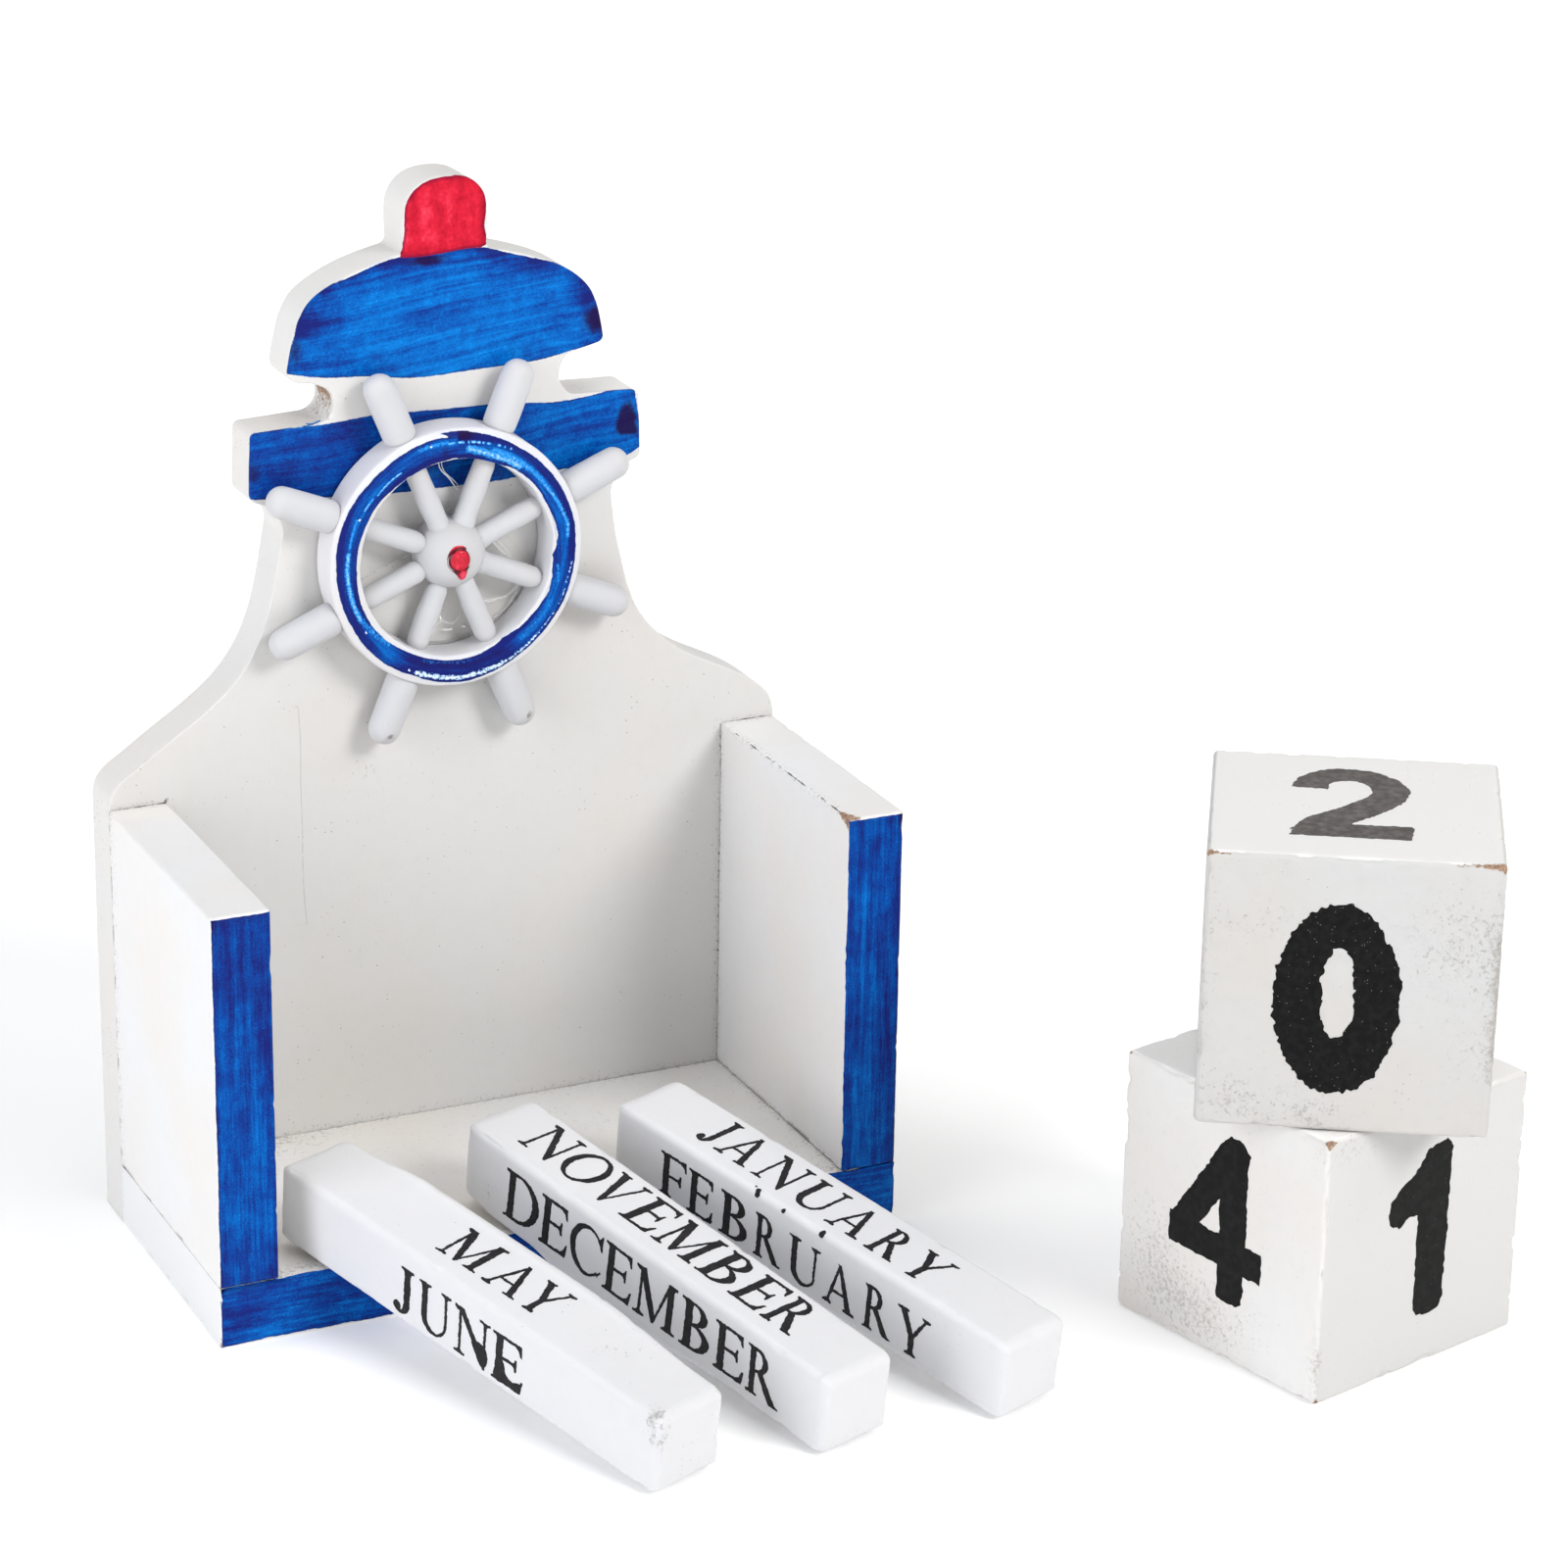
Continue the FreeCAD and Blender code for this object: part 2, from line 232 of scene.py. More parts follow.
def sd_poly(pts, poly):
    """Signed distance to a closed polygon, positive inside."""
    pts = np.asarray(pts, float)
    poly = np.asarray(poly, float)
    best = np.full(len(pts), 1e9)
    inside = np.zeros(len(pts), bool)
    x, y = pts[:, 0], pts[:, 1]
    for a, b in zip(poly, np.roll(poly, -1, axis=0)):
        d = b - a
        L2 = d @ d
        if L2 < 1e-12:
            continue
        t = np.clip(((x - a[0]) * d[0] + (y - a[1]) * d[1]) / L2, 0, 1)
        q = (x - a[0] - t * d[0]) ** 2 + (y - a[1] - t * d[1]) ** 2
        np.minimum(best, q, out=best)
        c = (a[1] > y) != (b[1] > y)
        if c.any():
            xi = a[0] + (y - a[1]) * d[0] / (d[1] if abs(d[1]) > 1e-12 else 1e-12)
            inside ^= c & (x < xi)
    s = np.sqrt(best)
    return np.where(inside, s, -s)


def seg_dist(pts, line):
    """Distance of 2-D points from an open polyline."""
    best = np.full(len(pts), 1e9)
    for a, b in zip(line[:-1], line[1:]):
        a, b = np.array(a, float), np.array(b, float)
        d = b - a
        t = np.clip(((pts - a) @ d) / (d @ d), 0, 1)
        q = np.linalg.norm(pts - a - t[:, None] * d, axis=1)
        best = np.minimum(best, q)
    return best


def outline_of(runs, step=0.35):
    """Closed outline from runs of points: each run is smooth, runs meet at corners."""
    out = []
    for r in runs:
        c = catmull(r, step)
        out.append(c[:-1] if np.linalg.norm(c[-1] - np.array(runs[(runs.index(r) + 1) % len(runs)][0])) < 1e-6 else c)
    return np.concatenate(out)


def fill_loop(loop, cell, extra=None):
    """Triangles over a simple closed loop with interior points about every cell. Returns points, tris; the loop's points come first."""
    lo, hi = loop.min(0), loop.max(0)
    xs = np.arange(lo[0] + cell * 0.6, hi[0], cell)
    ys = np.arange(lo[1] + cell * 0.6, hi[1], cell * 0.866)
    gx, gy = np.meshgrid(xs, ys)
    gx = gx + (np.arange(len(ys)) % 2)[:, None] * cell * 0.5
    g = np.column_stack([gx.ravel(), gy.ravel()])
    s = sd_poly(g, loop)
    g = g[s > cell * 0.55]
    n = len(loop)
    verts = [Vector(p) for p in np.concatenate([loop, g])]
    res = delaunay_2d_cdt(verts, [], [list(range(n))], 1, 1e-6, True)
    V, ov = res[0], res[3]
    F = [f for f, o in zip(res[2], res[5]) if len(o)]
    pts = np.array([(v.x, v.y) for v in V])
    # put the loop's points first, in order
    order = np.full(len(pts), -1)
    where = {}
    for new, olds in enumerate(ov):
        for o in olds:
            where[o] = new
    pick = [where[i] for i in range(n)]
    rest = [i for i in range(len(pts)) if i not in set(pick)]
    perm = pick + rest
    order[perm] = np.arange(len(perm))
    tris = [[int(order[i]) for i in f] for f in F]
    return pts[perm], tris


# --------------------------------------------------------------- materials
class Mat:
    """A small builder for node materials. Object coordinates are used in millimetres."""

    def __init__(self, name):
        self.m = bpy.data.materials.new(name)
        self.m.use_nodes = True
        self.t = self.m.node_tree
        self.t.nodes.clear()
        self.out = self.t.nodes.new("ShaderNodeOutputMaterial")
        self.b = self.t.nodes.new("ShaderNodeBsdfPrincipled")
        self.t.links.new(self.b.outputs[0], self.out.inputs["Surface"])
        self._pos = None

    def put(self, sock, v):
        if isinstance(v, bpy.types.NodeSocket):
            self.t.links.new(v, sock)
        elif isinstance(v, (tuple, list)) and len(v) == 3 and len(sock.default_value) == 4:
            sock.default_value = (*v, 1.0)
        else:
            sock.default_value = v

    def set(self, **kw):
        for k, v in kw.items():
            self.put(self.b.inputs[k.replace("_", " ")], v)

    def math(self, op, a, b=None, c=None, clamp=False):
        n = self.t.nodes.new("ShaderNodeMath")
        n.operation = op
        n.use_clamp = clamp
        self.put(n.inputs[0], a)
        if b is not None:
            self.put(n.inputs[1], b)
        if c is not None:
            self.put(n.inputs[2], c)
        return n.outputs[0]

    def add(self, *v):
        r = v[0]
        for x in v[1:]:
            r = self.math("ADD", r, x)
        return r

    def sub(self, a, b):
        return self.math("SUBTRACT", a, b)

    def mul(self, *v):
        r = v[0]
        for x in v[1:]:
            r = self.math("MULTIPLY", r, x)
        return r

    def smooth(self, x, a, b, lo=0.0, hi=1.0):
        n = self.t.nodes.new("ShaderNodeMapRange")
        n.interpolation_type = "SMOOTHSTEP"
        for k, v in zip(("Value", "From Min", "From Max", "To Min", "To Max"), (x, a, b, lo, hi)):
            self.put(n.inputs[k], v)
        return n.outputs["Result"]

    def mix(self, f, a, b, blend="MIX"):
        n = self.t.nodes.new("ShaderNodeMix")
        n.data_type = "RGBA"
        n.blend_type = blend
        n.clamp_factor = True
        self.put(n.inputs[0], f)
        self.put(n.inputs[6], a)
        self.put(n.inputs[7], b)
        return n.outputs[2]

    def mixf(self, f, a, b):
        n = self.t.nodes.new("ShaderNodeMix")
        n.data_type = "FLOAT"
        self.put(n.inputs[0], f)
        self.put(n.inputs[2], a)
        self.put(n.inputs[3], b)
        return n.outputs[0]

    def ramp(self, f, stops):
        n = self.t.nodes.new("ShaderNodeValToRGB")
        e = n.color_ramp.elements
        while len(e) > 1:
            e.remove(e[-1])
        e[0].position, e[0].color = stops[0][0], (*stops[0][1], 1)
        for p, c in stops[1:]:
            k = e.new(p)
            k.color = (*c, 1)
        self.put(n.inputs[0], f)
        return n.outputs[0]

    def pos(self, shift=(0, 0, 0)):
        if self._pos is None:
            tc = self.t.nodes.new("ShaderNodeTexCoord")
            s = self.t.nodes.new("ShaderNodeVectorMath")
            s.operation = "MULTIPLY_ADD"
            self.t.links.new(tc.outputs["Object"], s.inputs[0])
            s.inputs[1].default_value = (1000, 1000, 1000)
            s.inputs[2].default_value = shift
            self._pos = s.outputs[0]
        return self._pos

    def polar(self, k_around, k_out):
        """Coordinates that run round the object's Z axis and out from it, for strokes that follow a ring."""
        tc = self.t.nodes.new("ShaderNodeTexCoord")
        q = self.xyz(self.vec(tc.outputs["Object"], (1000, 1000, 1000)))
        r = self.math("SQRT", self.add(self.mul(q[0], q[0]), self.mul(q[1], q[1])))
        return self.combine(self.mul(self.math("DIVIDE", q[0], r), k_around), self.mul(self.math("DIVIDE", q[1], r), k_around), self.mul(r, k_out))

    def vec(self, v, scale=(1, 1, 1), shift=(0, 0, 0)):
        s = self.t.nodes.new("ShaderNodeVectorMath")
        s.operation = "MULTIPLY_ADD"
        self.put(s.inputs[0], v)
        s.inputs[1].default_value = scale
        s.inputs[2].default_value = shift
        return s.outputs[0]

    def xyz(self, v):
        n = self.t.nodes.new("ShaderNodeSeparateXYZ")
        self.put(n.inputs[0], v)
        return n.outputs

    def combine(self, x, y, z):
        n = self.t.nodes.new("ShaderNodeCombineXYZ")
        for i, v in enumerate((x, y, z)):
            self.put(n.inputs[i], v)
        return n.outputs[0]

    def noise(self, v, scale, detail=2.0, rough=0.5, distortion=0.0):
        n = self.t.nodes.new("ShaderNodeTexNoise")
        n.noise_dimensions = "3D"
        self.put(n.inputs["Vector"], v)
        self.put(n.inputs["Scale"], scale)
        self.put(n.inputs["Detail"], detail)
        self.put(n.inputs["Roughness"], rough)
        self.put(n.inputs["Distortion"], distortion)
        return n.outputs[0]

    def cells(self, v, scale, feature="F1", rand=1.0):
        n = self.t.nodes.new("ShaderNodeTexVoronoi")
        n.feature = feature
        self.put(n.inputs["Vector"], v)
        self.put(n.inputs["Scale"], scale)
        self.put(n.inputs["Randomness"], rand)
        return n.outputs

    def attr(self, name):
        n = self.t.nodes.new("ShaderNodeAttribute")
        n.attribute_type = "GEOMETRY"
        n.attribute_name = name
        return n.outputs["Fac"]

    def bump(self, h, strength, dist_mm, normal=None):
        n = self.t.nodes.new("ShaderNodeBump")
        n.inputs["Strength"].default_value = strength
        n.inputs["Distance"].default_value = dist_mm * MM
        self.put(n.inputs["Height"], h)
        if normal is not None:
            self.put(n.inputs["Normal"], normal)
        return n.outputs[0]


BLUE_STOPS = [(0.10, (0.008, 0.014, 0.15)), (0.36, (0.002, 0.052, 0.30)), (0.56, (0.001, 0.114, 0.458)), (0.78, (0.001, 0.190, 0.605)), (1.0, (0.014, 0.275, 0.77))]
RED_STOPS = [(0.10, (0.36, 0.004, 0.018)), (0.48, (0.60, 0.013, 0.036)), (0.75, (0.75, 0.045, 0.088)), (1.0, (0.84, 0.15, 0.23))]


def painted(name, base, seed, specks=0.5, mottled=0.5, warm=(0.93, 0.90, 0.86), blue=None, red=None,
            wear=False, joint=False, crack=False, rough=0.42, grit=0.5, ring=False, pits=0.3, dirt=None, shine=0.06, gain=3.2, tint_and_painted_light=None, tilt=0.0, back=False):
    """White satin paint over wood, with what was painted on it by hand. blue and red are the streak
    coordinates' scales in 1/mm, so that the brush's direction follows the piece."""
    k = Mat(name)
    p = k.pos((seed * 37.1, seed * 11.7, seed * 23.9))
    broad = k.noise(p, 0.035, 3, 0.55)
    fine = k.noise(p, 0.45, 4, 0.6)
    tiny = k.noise(p, 2.6, 3, 0.6)
    col = k.mix(k.smooth(broad, 0.35, 0.7), tuple(base), tuple(np.array(base) * np.array(warm) / np.array(warm).max()))
    col = k.mix(k.mul(k.smooth(fine, 0.40, 0.75), 0.10 * mottled + 0.03), col, tuple(np.array(base) * 0.80))
    height = k.add(k.mul(fine, 0.6), k.mul(tiny, 0.25 * grit), k.mul(k.noise(p, 7.0, 2, 0.5), 0.12 * grit))
    # the tint attribute: on the base's outer faces it gives the side panels' white; elsewhere it is painted light and
    # shade: upward faces lighter, the lower cube's front darker, and the board lighter inside the wheel where the
    # wheel's shade falls
    if tint_and_painted_light is not None:
        lf = k.attr("tint_and_painted_light")
        col = k.mix(k.math("MAXIMUM", lf, 0.0), col, tuple(tint_and_painted_light))
        col = k.mix(k.math("MAXIMUM", k.mul(lf, -1.0), 0.0), col, tuple(np.array(base) * 0.84))
    if back:
        # the rear face: one thin coat laid on with a wide brush, with rubbed places
        bk = k.attr("back")
        stroke = k.noise(k.vec(p, (0.035, 1.0, 0.75), (2.7, 0.4, 6.1)), 1.0, 4, 0.62)
        hair = k.noise(k.vec(p, (0.05, 1.0, 3.4), (8.3, 1.6, 2.2)), 1.0, 3, 0.6)
        col = k.mix(k.mul(bk, k.smooth(stroke, 0.50, 0.70), 0.50), col, tuple(np.array(base) * 0.82))
        col = k.mix(k.mul(bk, k.smooth(hair, 0.52, 0.68), 0.34), col, tuple(np.array(base) * np.array((0.86, 0.835, 0.80))))
        rub = k.smooth(k.noise(p, 0.16, 5, 0.72), 0.56, 0.70)
        col = k.mix(k.mul(bk, rub, 0.34), col, tuple(np.array(base) * np.array((0.78, 0.735, 0.67))))
        height = k.add(height, k.mul(bk, k.add(k.mul(stroke, 1.6), k.mul(hair, 1.3))))
    # dust nibs and pinholes in the paint, gathered in loose patches
    patch = k.smooth(k.noise(p, 0.10, 2, 0.5), 0.44, 0.66)
    sp = k.cells(p, 1.25)
    spr = k.xyz(sp["Color"])
    dot = k.mul(k.smooth(sp["Distance"], 0.16, 0.09), k.smooth(spr[0], 0.80 - 0.10 * specks, 0.90 - 0.10 * specks))
    dot = k.mul(dot, k.add(k.mul(patch, 0.85), 0.15), min(1.0, specks))
    sp2 = k.cells(k.vec(p, (1, 1, 1), (5.3, 1.9, 7.7)), 2.7)
    dot2 = k.mul(k.smooth(sp2["Distance"], 0.17, 0.10), k.smooth(k.xyz(sp2["Color"])[1], 0.84, 0.93), patch, min(1.0, specks * 0.8))
    col = k.mix(k.mul(dot, 0.78), col, (0.15, 0.12, 0.10))
    col = k.mix(k.mul(dot2, 0.52), col, (0.26, 0.24, 0.22))
    height = k.sub(height, k.mul(k.add(dot, dot2), 0.9))
    if pits > 0:
        pit = k.mul(k.smooth(k.noise(p, 1.15, 2, 0.5), 0.66, 0.74), pits)
        height = k.sub(height, pit)
        col = k.mix(k.mul(pit, 0.10), col, (0.55, 0.53, 0.50))
    if dirt is not None:
        d = k.attr("dirt")
        dn = k.add(d, k.mul(k.sub(k.noise(p, 1.4, 4, 0.65), 0.5), 0.9))
        col = k.mix(k.mul(k.smooth(dn, 0.42, 0.80), 0.60), col, dirt)
        # the same places are rough with fine grit
        fs = k.smooth(k.add(k.noise(p, 1.5, 6, 0.82), k.mul(d, 0.34)), 0.665, 0.735)
        col = k.mix(k.mul(fs, 0.42), col, tuple(np.array(dirt) * 0.8))
        height = k.sub(height, k.mul(fs, 0.9))
    r = k.add(rough, k.mul(k.sub(fine, 0.5), 0.16))
    if joint:
        j = k.attr("joint")
        width = k.add(0.025, k.mul(k.smooth(k.noise(p, 0.42, 3, 0.6), 0.38, 0.72), 0.21))
        line = k.mul(k.smooth(j, k.mul(width, 1.25), k.mul(width, 0.45)), k.smooth(k.noise(p, 1.3, 2, 0.5), 0.30, 0.48))
        col = k.mix(k.mul(line, 0.88), col, (0.055, 0.045, 0.040))
        height = k.sub(height, k.mul(line, 1.5))
        near = k.mul(k.smooth(j, 1.4, 0.1), k.smooth(k.noise(p, 1.9, 4, 0.7), 0.53, 0.66))
        col = k.mix(k.mul(near, 0.60), col, (0.16, 0.14, 0.12))
    if crack:
        cdist = k.add(k.attr("crack"), k.mul(k.sub(k.noise(p, 1.0, 3, 0.6), 0.5), 0.22))
        cl = k.smooth(k.math("ABSOLUTE", cdist), 0.11, 0.03)
        cl = k.mul(cl, k.smooth(k.noise(p, 0.6, 2, 0.5), 0.30, 0.52))
        col = k.mix(k.mul(cl, 0.34), col, (0.30, 0.27, 0.25))
        height = k.sub(height, k.mul(cl, 1.0))
    if wear:
        w = k.attr("wear")
        wn = k.add(w, k.mul(k.sub(k.noise(p, 1.7, 5, 0.68), 0.5), 0.85))
        bare = k.smooth(wn, 0.60, 0.67)
        smear = k.smooth(wn, 0.46, 0.72)
        wood = k.ramp(k.noise(k.vec(p, (1, 1, 0.22)), 2.4, 4, 0.6), [(0.30, (0.15, 0.085, 0.052)), (0.52, (0.33, 0.215, 0.145)), (0.72, (0.55, 0.42, 0.32))])
        col = k.mix(k.mul(smear, 0.30), col, (0.50, 0.42, 0.36))
        col = k.mix(bare, col, wood)
        height = k.sub(height, k.mul(bare, 1.3))
        r = k.mixf(bare, r, 0.8)
    blue_mask = None
    if blue is not None:
        sx, sy, sz = blue
        sd = k.add(k.attr("sdb"), k.mul(k.sub(k.noise(p, 0.9, 3, 0.6), 0.5), 0.30), k.mul(k.sub(k.noise(p, 4.2, 3, 0.6), 0.5), 0.09))
        blue_mask = k.smooth(sd, -0.03, 0.05)
        # a thin wash of the colour where the brush just touched the white
        wash = k.mul(k.smooth(sd, -0.22, -0.03), k.smooth(k.noise(p, 0.9, 2, 0.5), 0.38, 0.62), 0.42)
        col = k.mix(wash, col, (0.40, 0.57, 0.84))
        v1 = k.polar(1.9, 1.35)
        v2 = k.polar(4.2, 3.6)
        if not ring:
            q = k.xyz(p)
            bent = k.add(q[2], k.mul(q[0], -tilt), k.mul(k.sub(k.noise(p, 0.05, 2, 0.5), 0.5), 3.0 if tilt else 0.0))
            pb = k.combine(q[0], q[1], bent)
            v1 = k.vec(pb, (sx, sy, sz))
            v2 = k.vec(pb, (sx * 1.7, sy * 1.7, sz * 2.9), (9, 4, 2))
        s1 = k.noise(v1, 1.0, 5, 0.68, 0.30 if ring else 0.12)
        s2 = k.noise(v2, 1.0, 4, 0.68, 0.2 if ring else 0.05)
        gran = k.noise(p, 3.4, 4, 0.68)
        cloud = k.noise(p, 0.11, 2, 0.5)
        if ring:
            tone = k.add(k.mul(s1, 0.46), k.mul(s2, 0.30), k.mul(gran, 0.24))
        else:
            tone = k.add(k.mul(s1, 0.42), k.mul(s2, 0.16), k.mul(gran, 0.26), k.mul(k.noise(p, 0.50, 3, 0.6), 0.16))
        tone = k.add(k.mul(k.sub(tone, 0.5), gain), 0.5, k.mul(k.sub(cloud, 0.5), 0.45))
        tone = k.add(tone, k.attr("tone"))
        bc = k.ramp(tone, BLUE_STOPS)
        if not ring:
            # blotches where it dried darker, and tiny lighter grains
            blot = k.smooth(k.noise(k.vec(p, (1, 1, 1), (31, 17, 5)), 0.36, 4, 0.62), 0.55, 0.72)
            bc = k.mix(k.mul(blot, 0.42), bc, (0.004, 0.024, 0.23))
            grain = k.cells(k.vec(p, (1, 1, 1), (2, 6, 3)), 2.1)
            gr = k.mul(k.smooth(grain["Distance"], 0.24, 0.10), k.smooth(k.xyz(grain["Color"])[0], 0.76, 0.86), k.smooth(tone, 0.30, 0.60), 0.40)
            bc = k.mix(gr, bc, (0.020, 0.31, 0.82))
        rim = k.mul(k.smooth(sd, 0.36, 0.03), k.smooth(k.noise(p, 0.42, 3, 0.6), 0.32, 0.56))
        bc = k.mix(k.mul(rim, 0.78), bc, (0.008, 0.018, 0.115))
        pool = k.smooth(k.add(k.attr("pool"), k.mul(k.sub(k.noise(p, 0.8, 4, 0.6), 0.5), 0.6)), 0.26, 0.92)
        bc = k.mix(k.mul(pool, 0.95), bc, (0.012, 0.003, 0.046))
        # thin spots where the white shows through
        thin = k.mul(k.smooth(k.noise(k.vec(p, (1, 1, 1), (3, 8, 1)), 2.2, 3, 0.7), 0.72, 0.80), 0.45)
        bc = k.mix(thin, bc, (0.050, 0.34, 0.82))
        if ring:
            # painted highlights: light cyan, near white at the strongest, where the ring's bead catches the light
            sh = k.add(k.attr("painted_highlight"), k.mul(k.sub(k.noise(p, 2.6, 5, 0.70), 0.5), 1.5))
            bc = k.mix(k.smooth(sh, 0.24, 0.70), bc, (0.020, 0.27, 0.76))
            bc = k.mix(k.smooth(sh, 0.66, 1.04), bc, (0.36, 0.64, 0.91))
            fl = k.add(k.attr("fleck"), k.mul(k.sub(k.noise(p, 2.3, 5, 0.74), 0.5), 1.9))
            bc = k.mix(k.smooth(fl, 0.44, 0.54), bc, (0.26, 0.52, 0.84))
            bc = k.mix(k.smooth(fl, 0.56, 0.64), bc, (0.74, 0.80, 0.84))
        col = k.mix(blue_mask, col, bc)
        height = k.mixf(k.smooth(sd, -0.12, 0.45), height, k.add(0.55, k.mul(s1, 0.5), k.mul(gran, 0.35), k.mul(s2, 0.45)))
        r = k.mixf(blue_mask, r, k.add(0.24, k.mul(gran, 0.22)))
    if red is not None:
        sx, sy, sz = red
        sd = k.add(k.attr("sdr"), k.mul(k.sub(k.noise(p, 1.1, 3, 0.6), 0.5), 0.26), k.mul(k.sub(k.noise(p, 4.6, 3, 0.6), 0.5), 0.08))
        rmask = k.smooth(sd, -0.03, 0.05)
        s1 = k.noise(k.vec(p, (sx, sy, sz), (2, 2, 2)), 1.0, 4, 0.6, 0.3)
        tone = k.add(k.mul(s1, 0.52), k.mul(k.noise(p, 0.55, 2, 0.5), 0.30), k.mul(k.noise(p, 2.2, 3, 0.6), 0.18))
        # the red's tone attribute carries painted highlights as well as darker paint
        tone = k.add(k.mul(k.sub(tone, 0.5), 2.1), 0.5, k.attr("red_tone_and_highlight"))
        rim = k.smooth(sd, 0.62, 0.10)
        rc = k.ramp(tone, RED_STOPS)
        rc = k.mix(k.mul(rim, 0.74), rc, (0.17, 0.003, 0.030))
        # where the red ran over the blue it went nearly black
        over = k.smooth(k.add(k.attr("over"), k.mul(k.sub(k.noise(p, 1.3, 3, 0.6), 0.5), 0.6)), 0.40, 0.70)
        rc = k.mix(over, rc, (0.060, 0.006, 0.028))
        col = k.mix(rmask, col, rc)
        height = k.mixf(k.smooth(sd, -0.12, 0.45), height, k.add(0.8, k.mul(s1, 0.6)))
        r = k.mixf(rmask, r, k.add(0.26, k.mul(s1, 0.14)))
    k.set(Base_Color=col, Roughness=r, Normal=k.bump(height, 0.55, 0.055))
    k.b.inputs["IOR"].default_value = 1.48
    k.b.inputs["Specular IOR Level"].default_value = shine
    return k.m


def ink_material(name, dark, speck=0.3, seed=1, grey=0.0, shine=0.10):
    """Stamped black ink: matt, slightly uneven, with the paint showing through in pinpricks."""
    k = Mat(name)
    p = k.pos((seed * 13.1, seed * 7.3, seed * 3.1))
    n = k.noise(p, 0.9, 4, 0.6)
    c = k.mix(k.smooth(n, 0.35, 0.72), tuple(dark), tuple(np.array(dark) * 1.7 + 0.003 + grey))
    f = k.noise(p, 3.3, 4, 0.7)
    c = k.mix(k.smooth(f, 0.755 - 0.06 * speck, 0.80), c, (0.42, 0.42, 0.42))
    v = k.cells(p, 3.3)
    pr = k.mul(k.smooth(v["Distance"], 0.20, 0.11), k.smooth(k.xyz(v["Color"])[0], 0.93 - 0.13 * speck, 0.97 - 0.10 * speck))
    c = k.mix(k.mul(pr, min(1.0, speck * 1.1)), c, (0.50, 0.50, 0.49))
    k.set(Base_Color=c, Roughness=k.add(0.50, k.mul(n, 0.25)), Normal=k.bump(k.add(k.mul(n, 0.6), k.mul(f, 0.6)), 0.5, 0.04))
    k.b.inputs["Specular IOR Level"].default_value = shine
    return k.m


# ------------------------------------------------------------------- glyphs
# Serif capitals with cap height 1, each a list of simple polygons that overlap.
T, H = 0.155, 0.058      # thick and thin strokes


def earc(cx, cy, rx, ry, a0, a1, n=14):
    t = np.radians(np.linspace(a0, a1, n))
    return [(cx + rx * math.cos(x), cy + ry * math.sin(x)) for x in t]


def stem(x0, x1, y0=0.0, y1=1.0, tl=0.085, tr=0.085, bl=0.085, br=0.085, s=0.042, b=0.07):
    """Upright stroke with bracketed serifs; tl, tr, bl, br are how far each serif reaches."""
    out = []

    def corner(cx, cy, dx, dy, reach):
        if reach <= 0:
            return [(cx, cy)]
        a = [(cx + dx * reach, cy), (cx + dx * reach, cy + dy * s)]
        for q in np.linspace(0, 1, 6)[1:]:
            th = q * math.pi / 2
            a.append((cx + dx * reach * (1 - math.sin(th)) ** 1.0 * 0.98, cy + dy * (s + b * (1 - math.cos(th)))))
        return a
    out += corner(x0, y0, -1, 1, bl)[::-1]
    out += corner(x1, y0, 1, 1, br)
    out += corner(x1, y1, 1, -1, tr)[::-1]
    out += corner(x0, y1, -1, -1, tl)
    return out


def para(xa, ya, xb, yb, w, wb=None):
    wb = w if wb is None else wb
    return [(xa, ya), (xa + w, ya), (xb + wb, yb), (xb, yb)]


def foot(xc, y, l, r, up=1, s=0.04, b=0.05, w=0.06):
    """A flat serif: l and r from the centre, bracketed into a stroke about w wide."""
    return [(xc - l, y), (xc + r, y), (xc + r, y + up * s), (xc + w * 0.6, y + up * (s + b)), (xc - w * 0.6, y + up * (s + b)), (xc - l, y + up * s)]


def ringseg(co, ro, ci, ri, a0, a1, n=26):
    return earc(co[0], co[1], ro[0], ro[1], a0, a1, n) + earc(ci[0], ci[1], ri[0], ri[1], a1, a0, n)


def ribbon(pts, widths, n=40):
    c = catmull(pts, 0.02)
    t = np.linspace(0, 1, len(c))
    w = np.interp(t, np.linspace(0, 1, len(widths)), widths)
    d = np.gradient(c, axis=0)
    d /= np.linalg.norm(d, axis=1, keepdims=True)
    nn = np.column_stack([-d[:, 1], d[:, 0]])
    step = max(1, len(c) // n)
    idx = list(range(0, len(c), step))
    if idx[-1] != len(c) - 1:
        idx.append(len(c) - 1)
    L = c + nn * w[:, None] / 2
    Rr = c - nn * w[:, None] / 2
    quads = []
    for a, b in zip(idx[:-1], idx[1:]):
        quads.append([tuple(Rr[a]), tuple(Rr[b]), tuple(L[b]), tuple(L[a])])
    return quads


def armtop(x0, x1, drop=0.22):
    return [[(x0, 1 - H), (x0, 1), (x1, 1), (x1 + 0.02, 1 - drop), (x1 - 0.015, 1 - drop), (x1 - 0.05, 1 - H - 0.06), (x1 - 0.14, 1 - H)]]


def armbot(x0, x1, rise=0.27):
    return [[(x0, 0), (x1, 0), (x1 + 0.045, rise), (x1 + 0.01, rise), (x1 - 0.045, H + 0.07), (x1 - 0.15, H), (x0, H)]]


def armmid(x0, x1, y=0.50):
    return [[(x0, y), (x1 - 0.06, y), (x1 - 0.03, y - 0.035), (x1 - 0.012, y - 0.10), (x1 + 0.02, y - 0.10), (x1 + 0.02, y + H + 0.10),
             (x1 - 0.012, y + H + 0.10), (x1 - 0.03, y + H + 0.035), (x1 - 0.06, y + H), (x0, y + H)]]


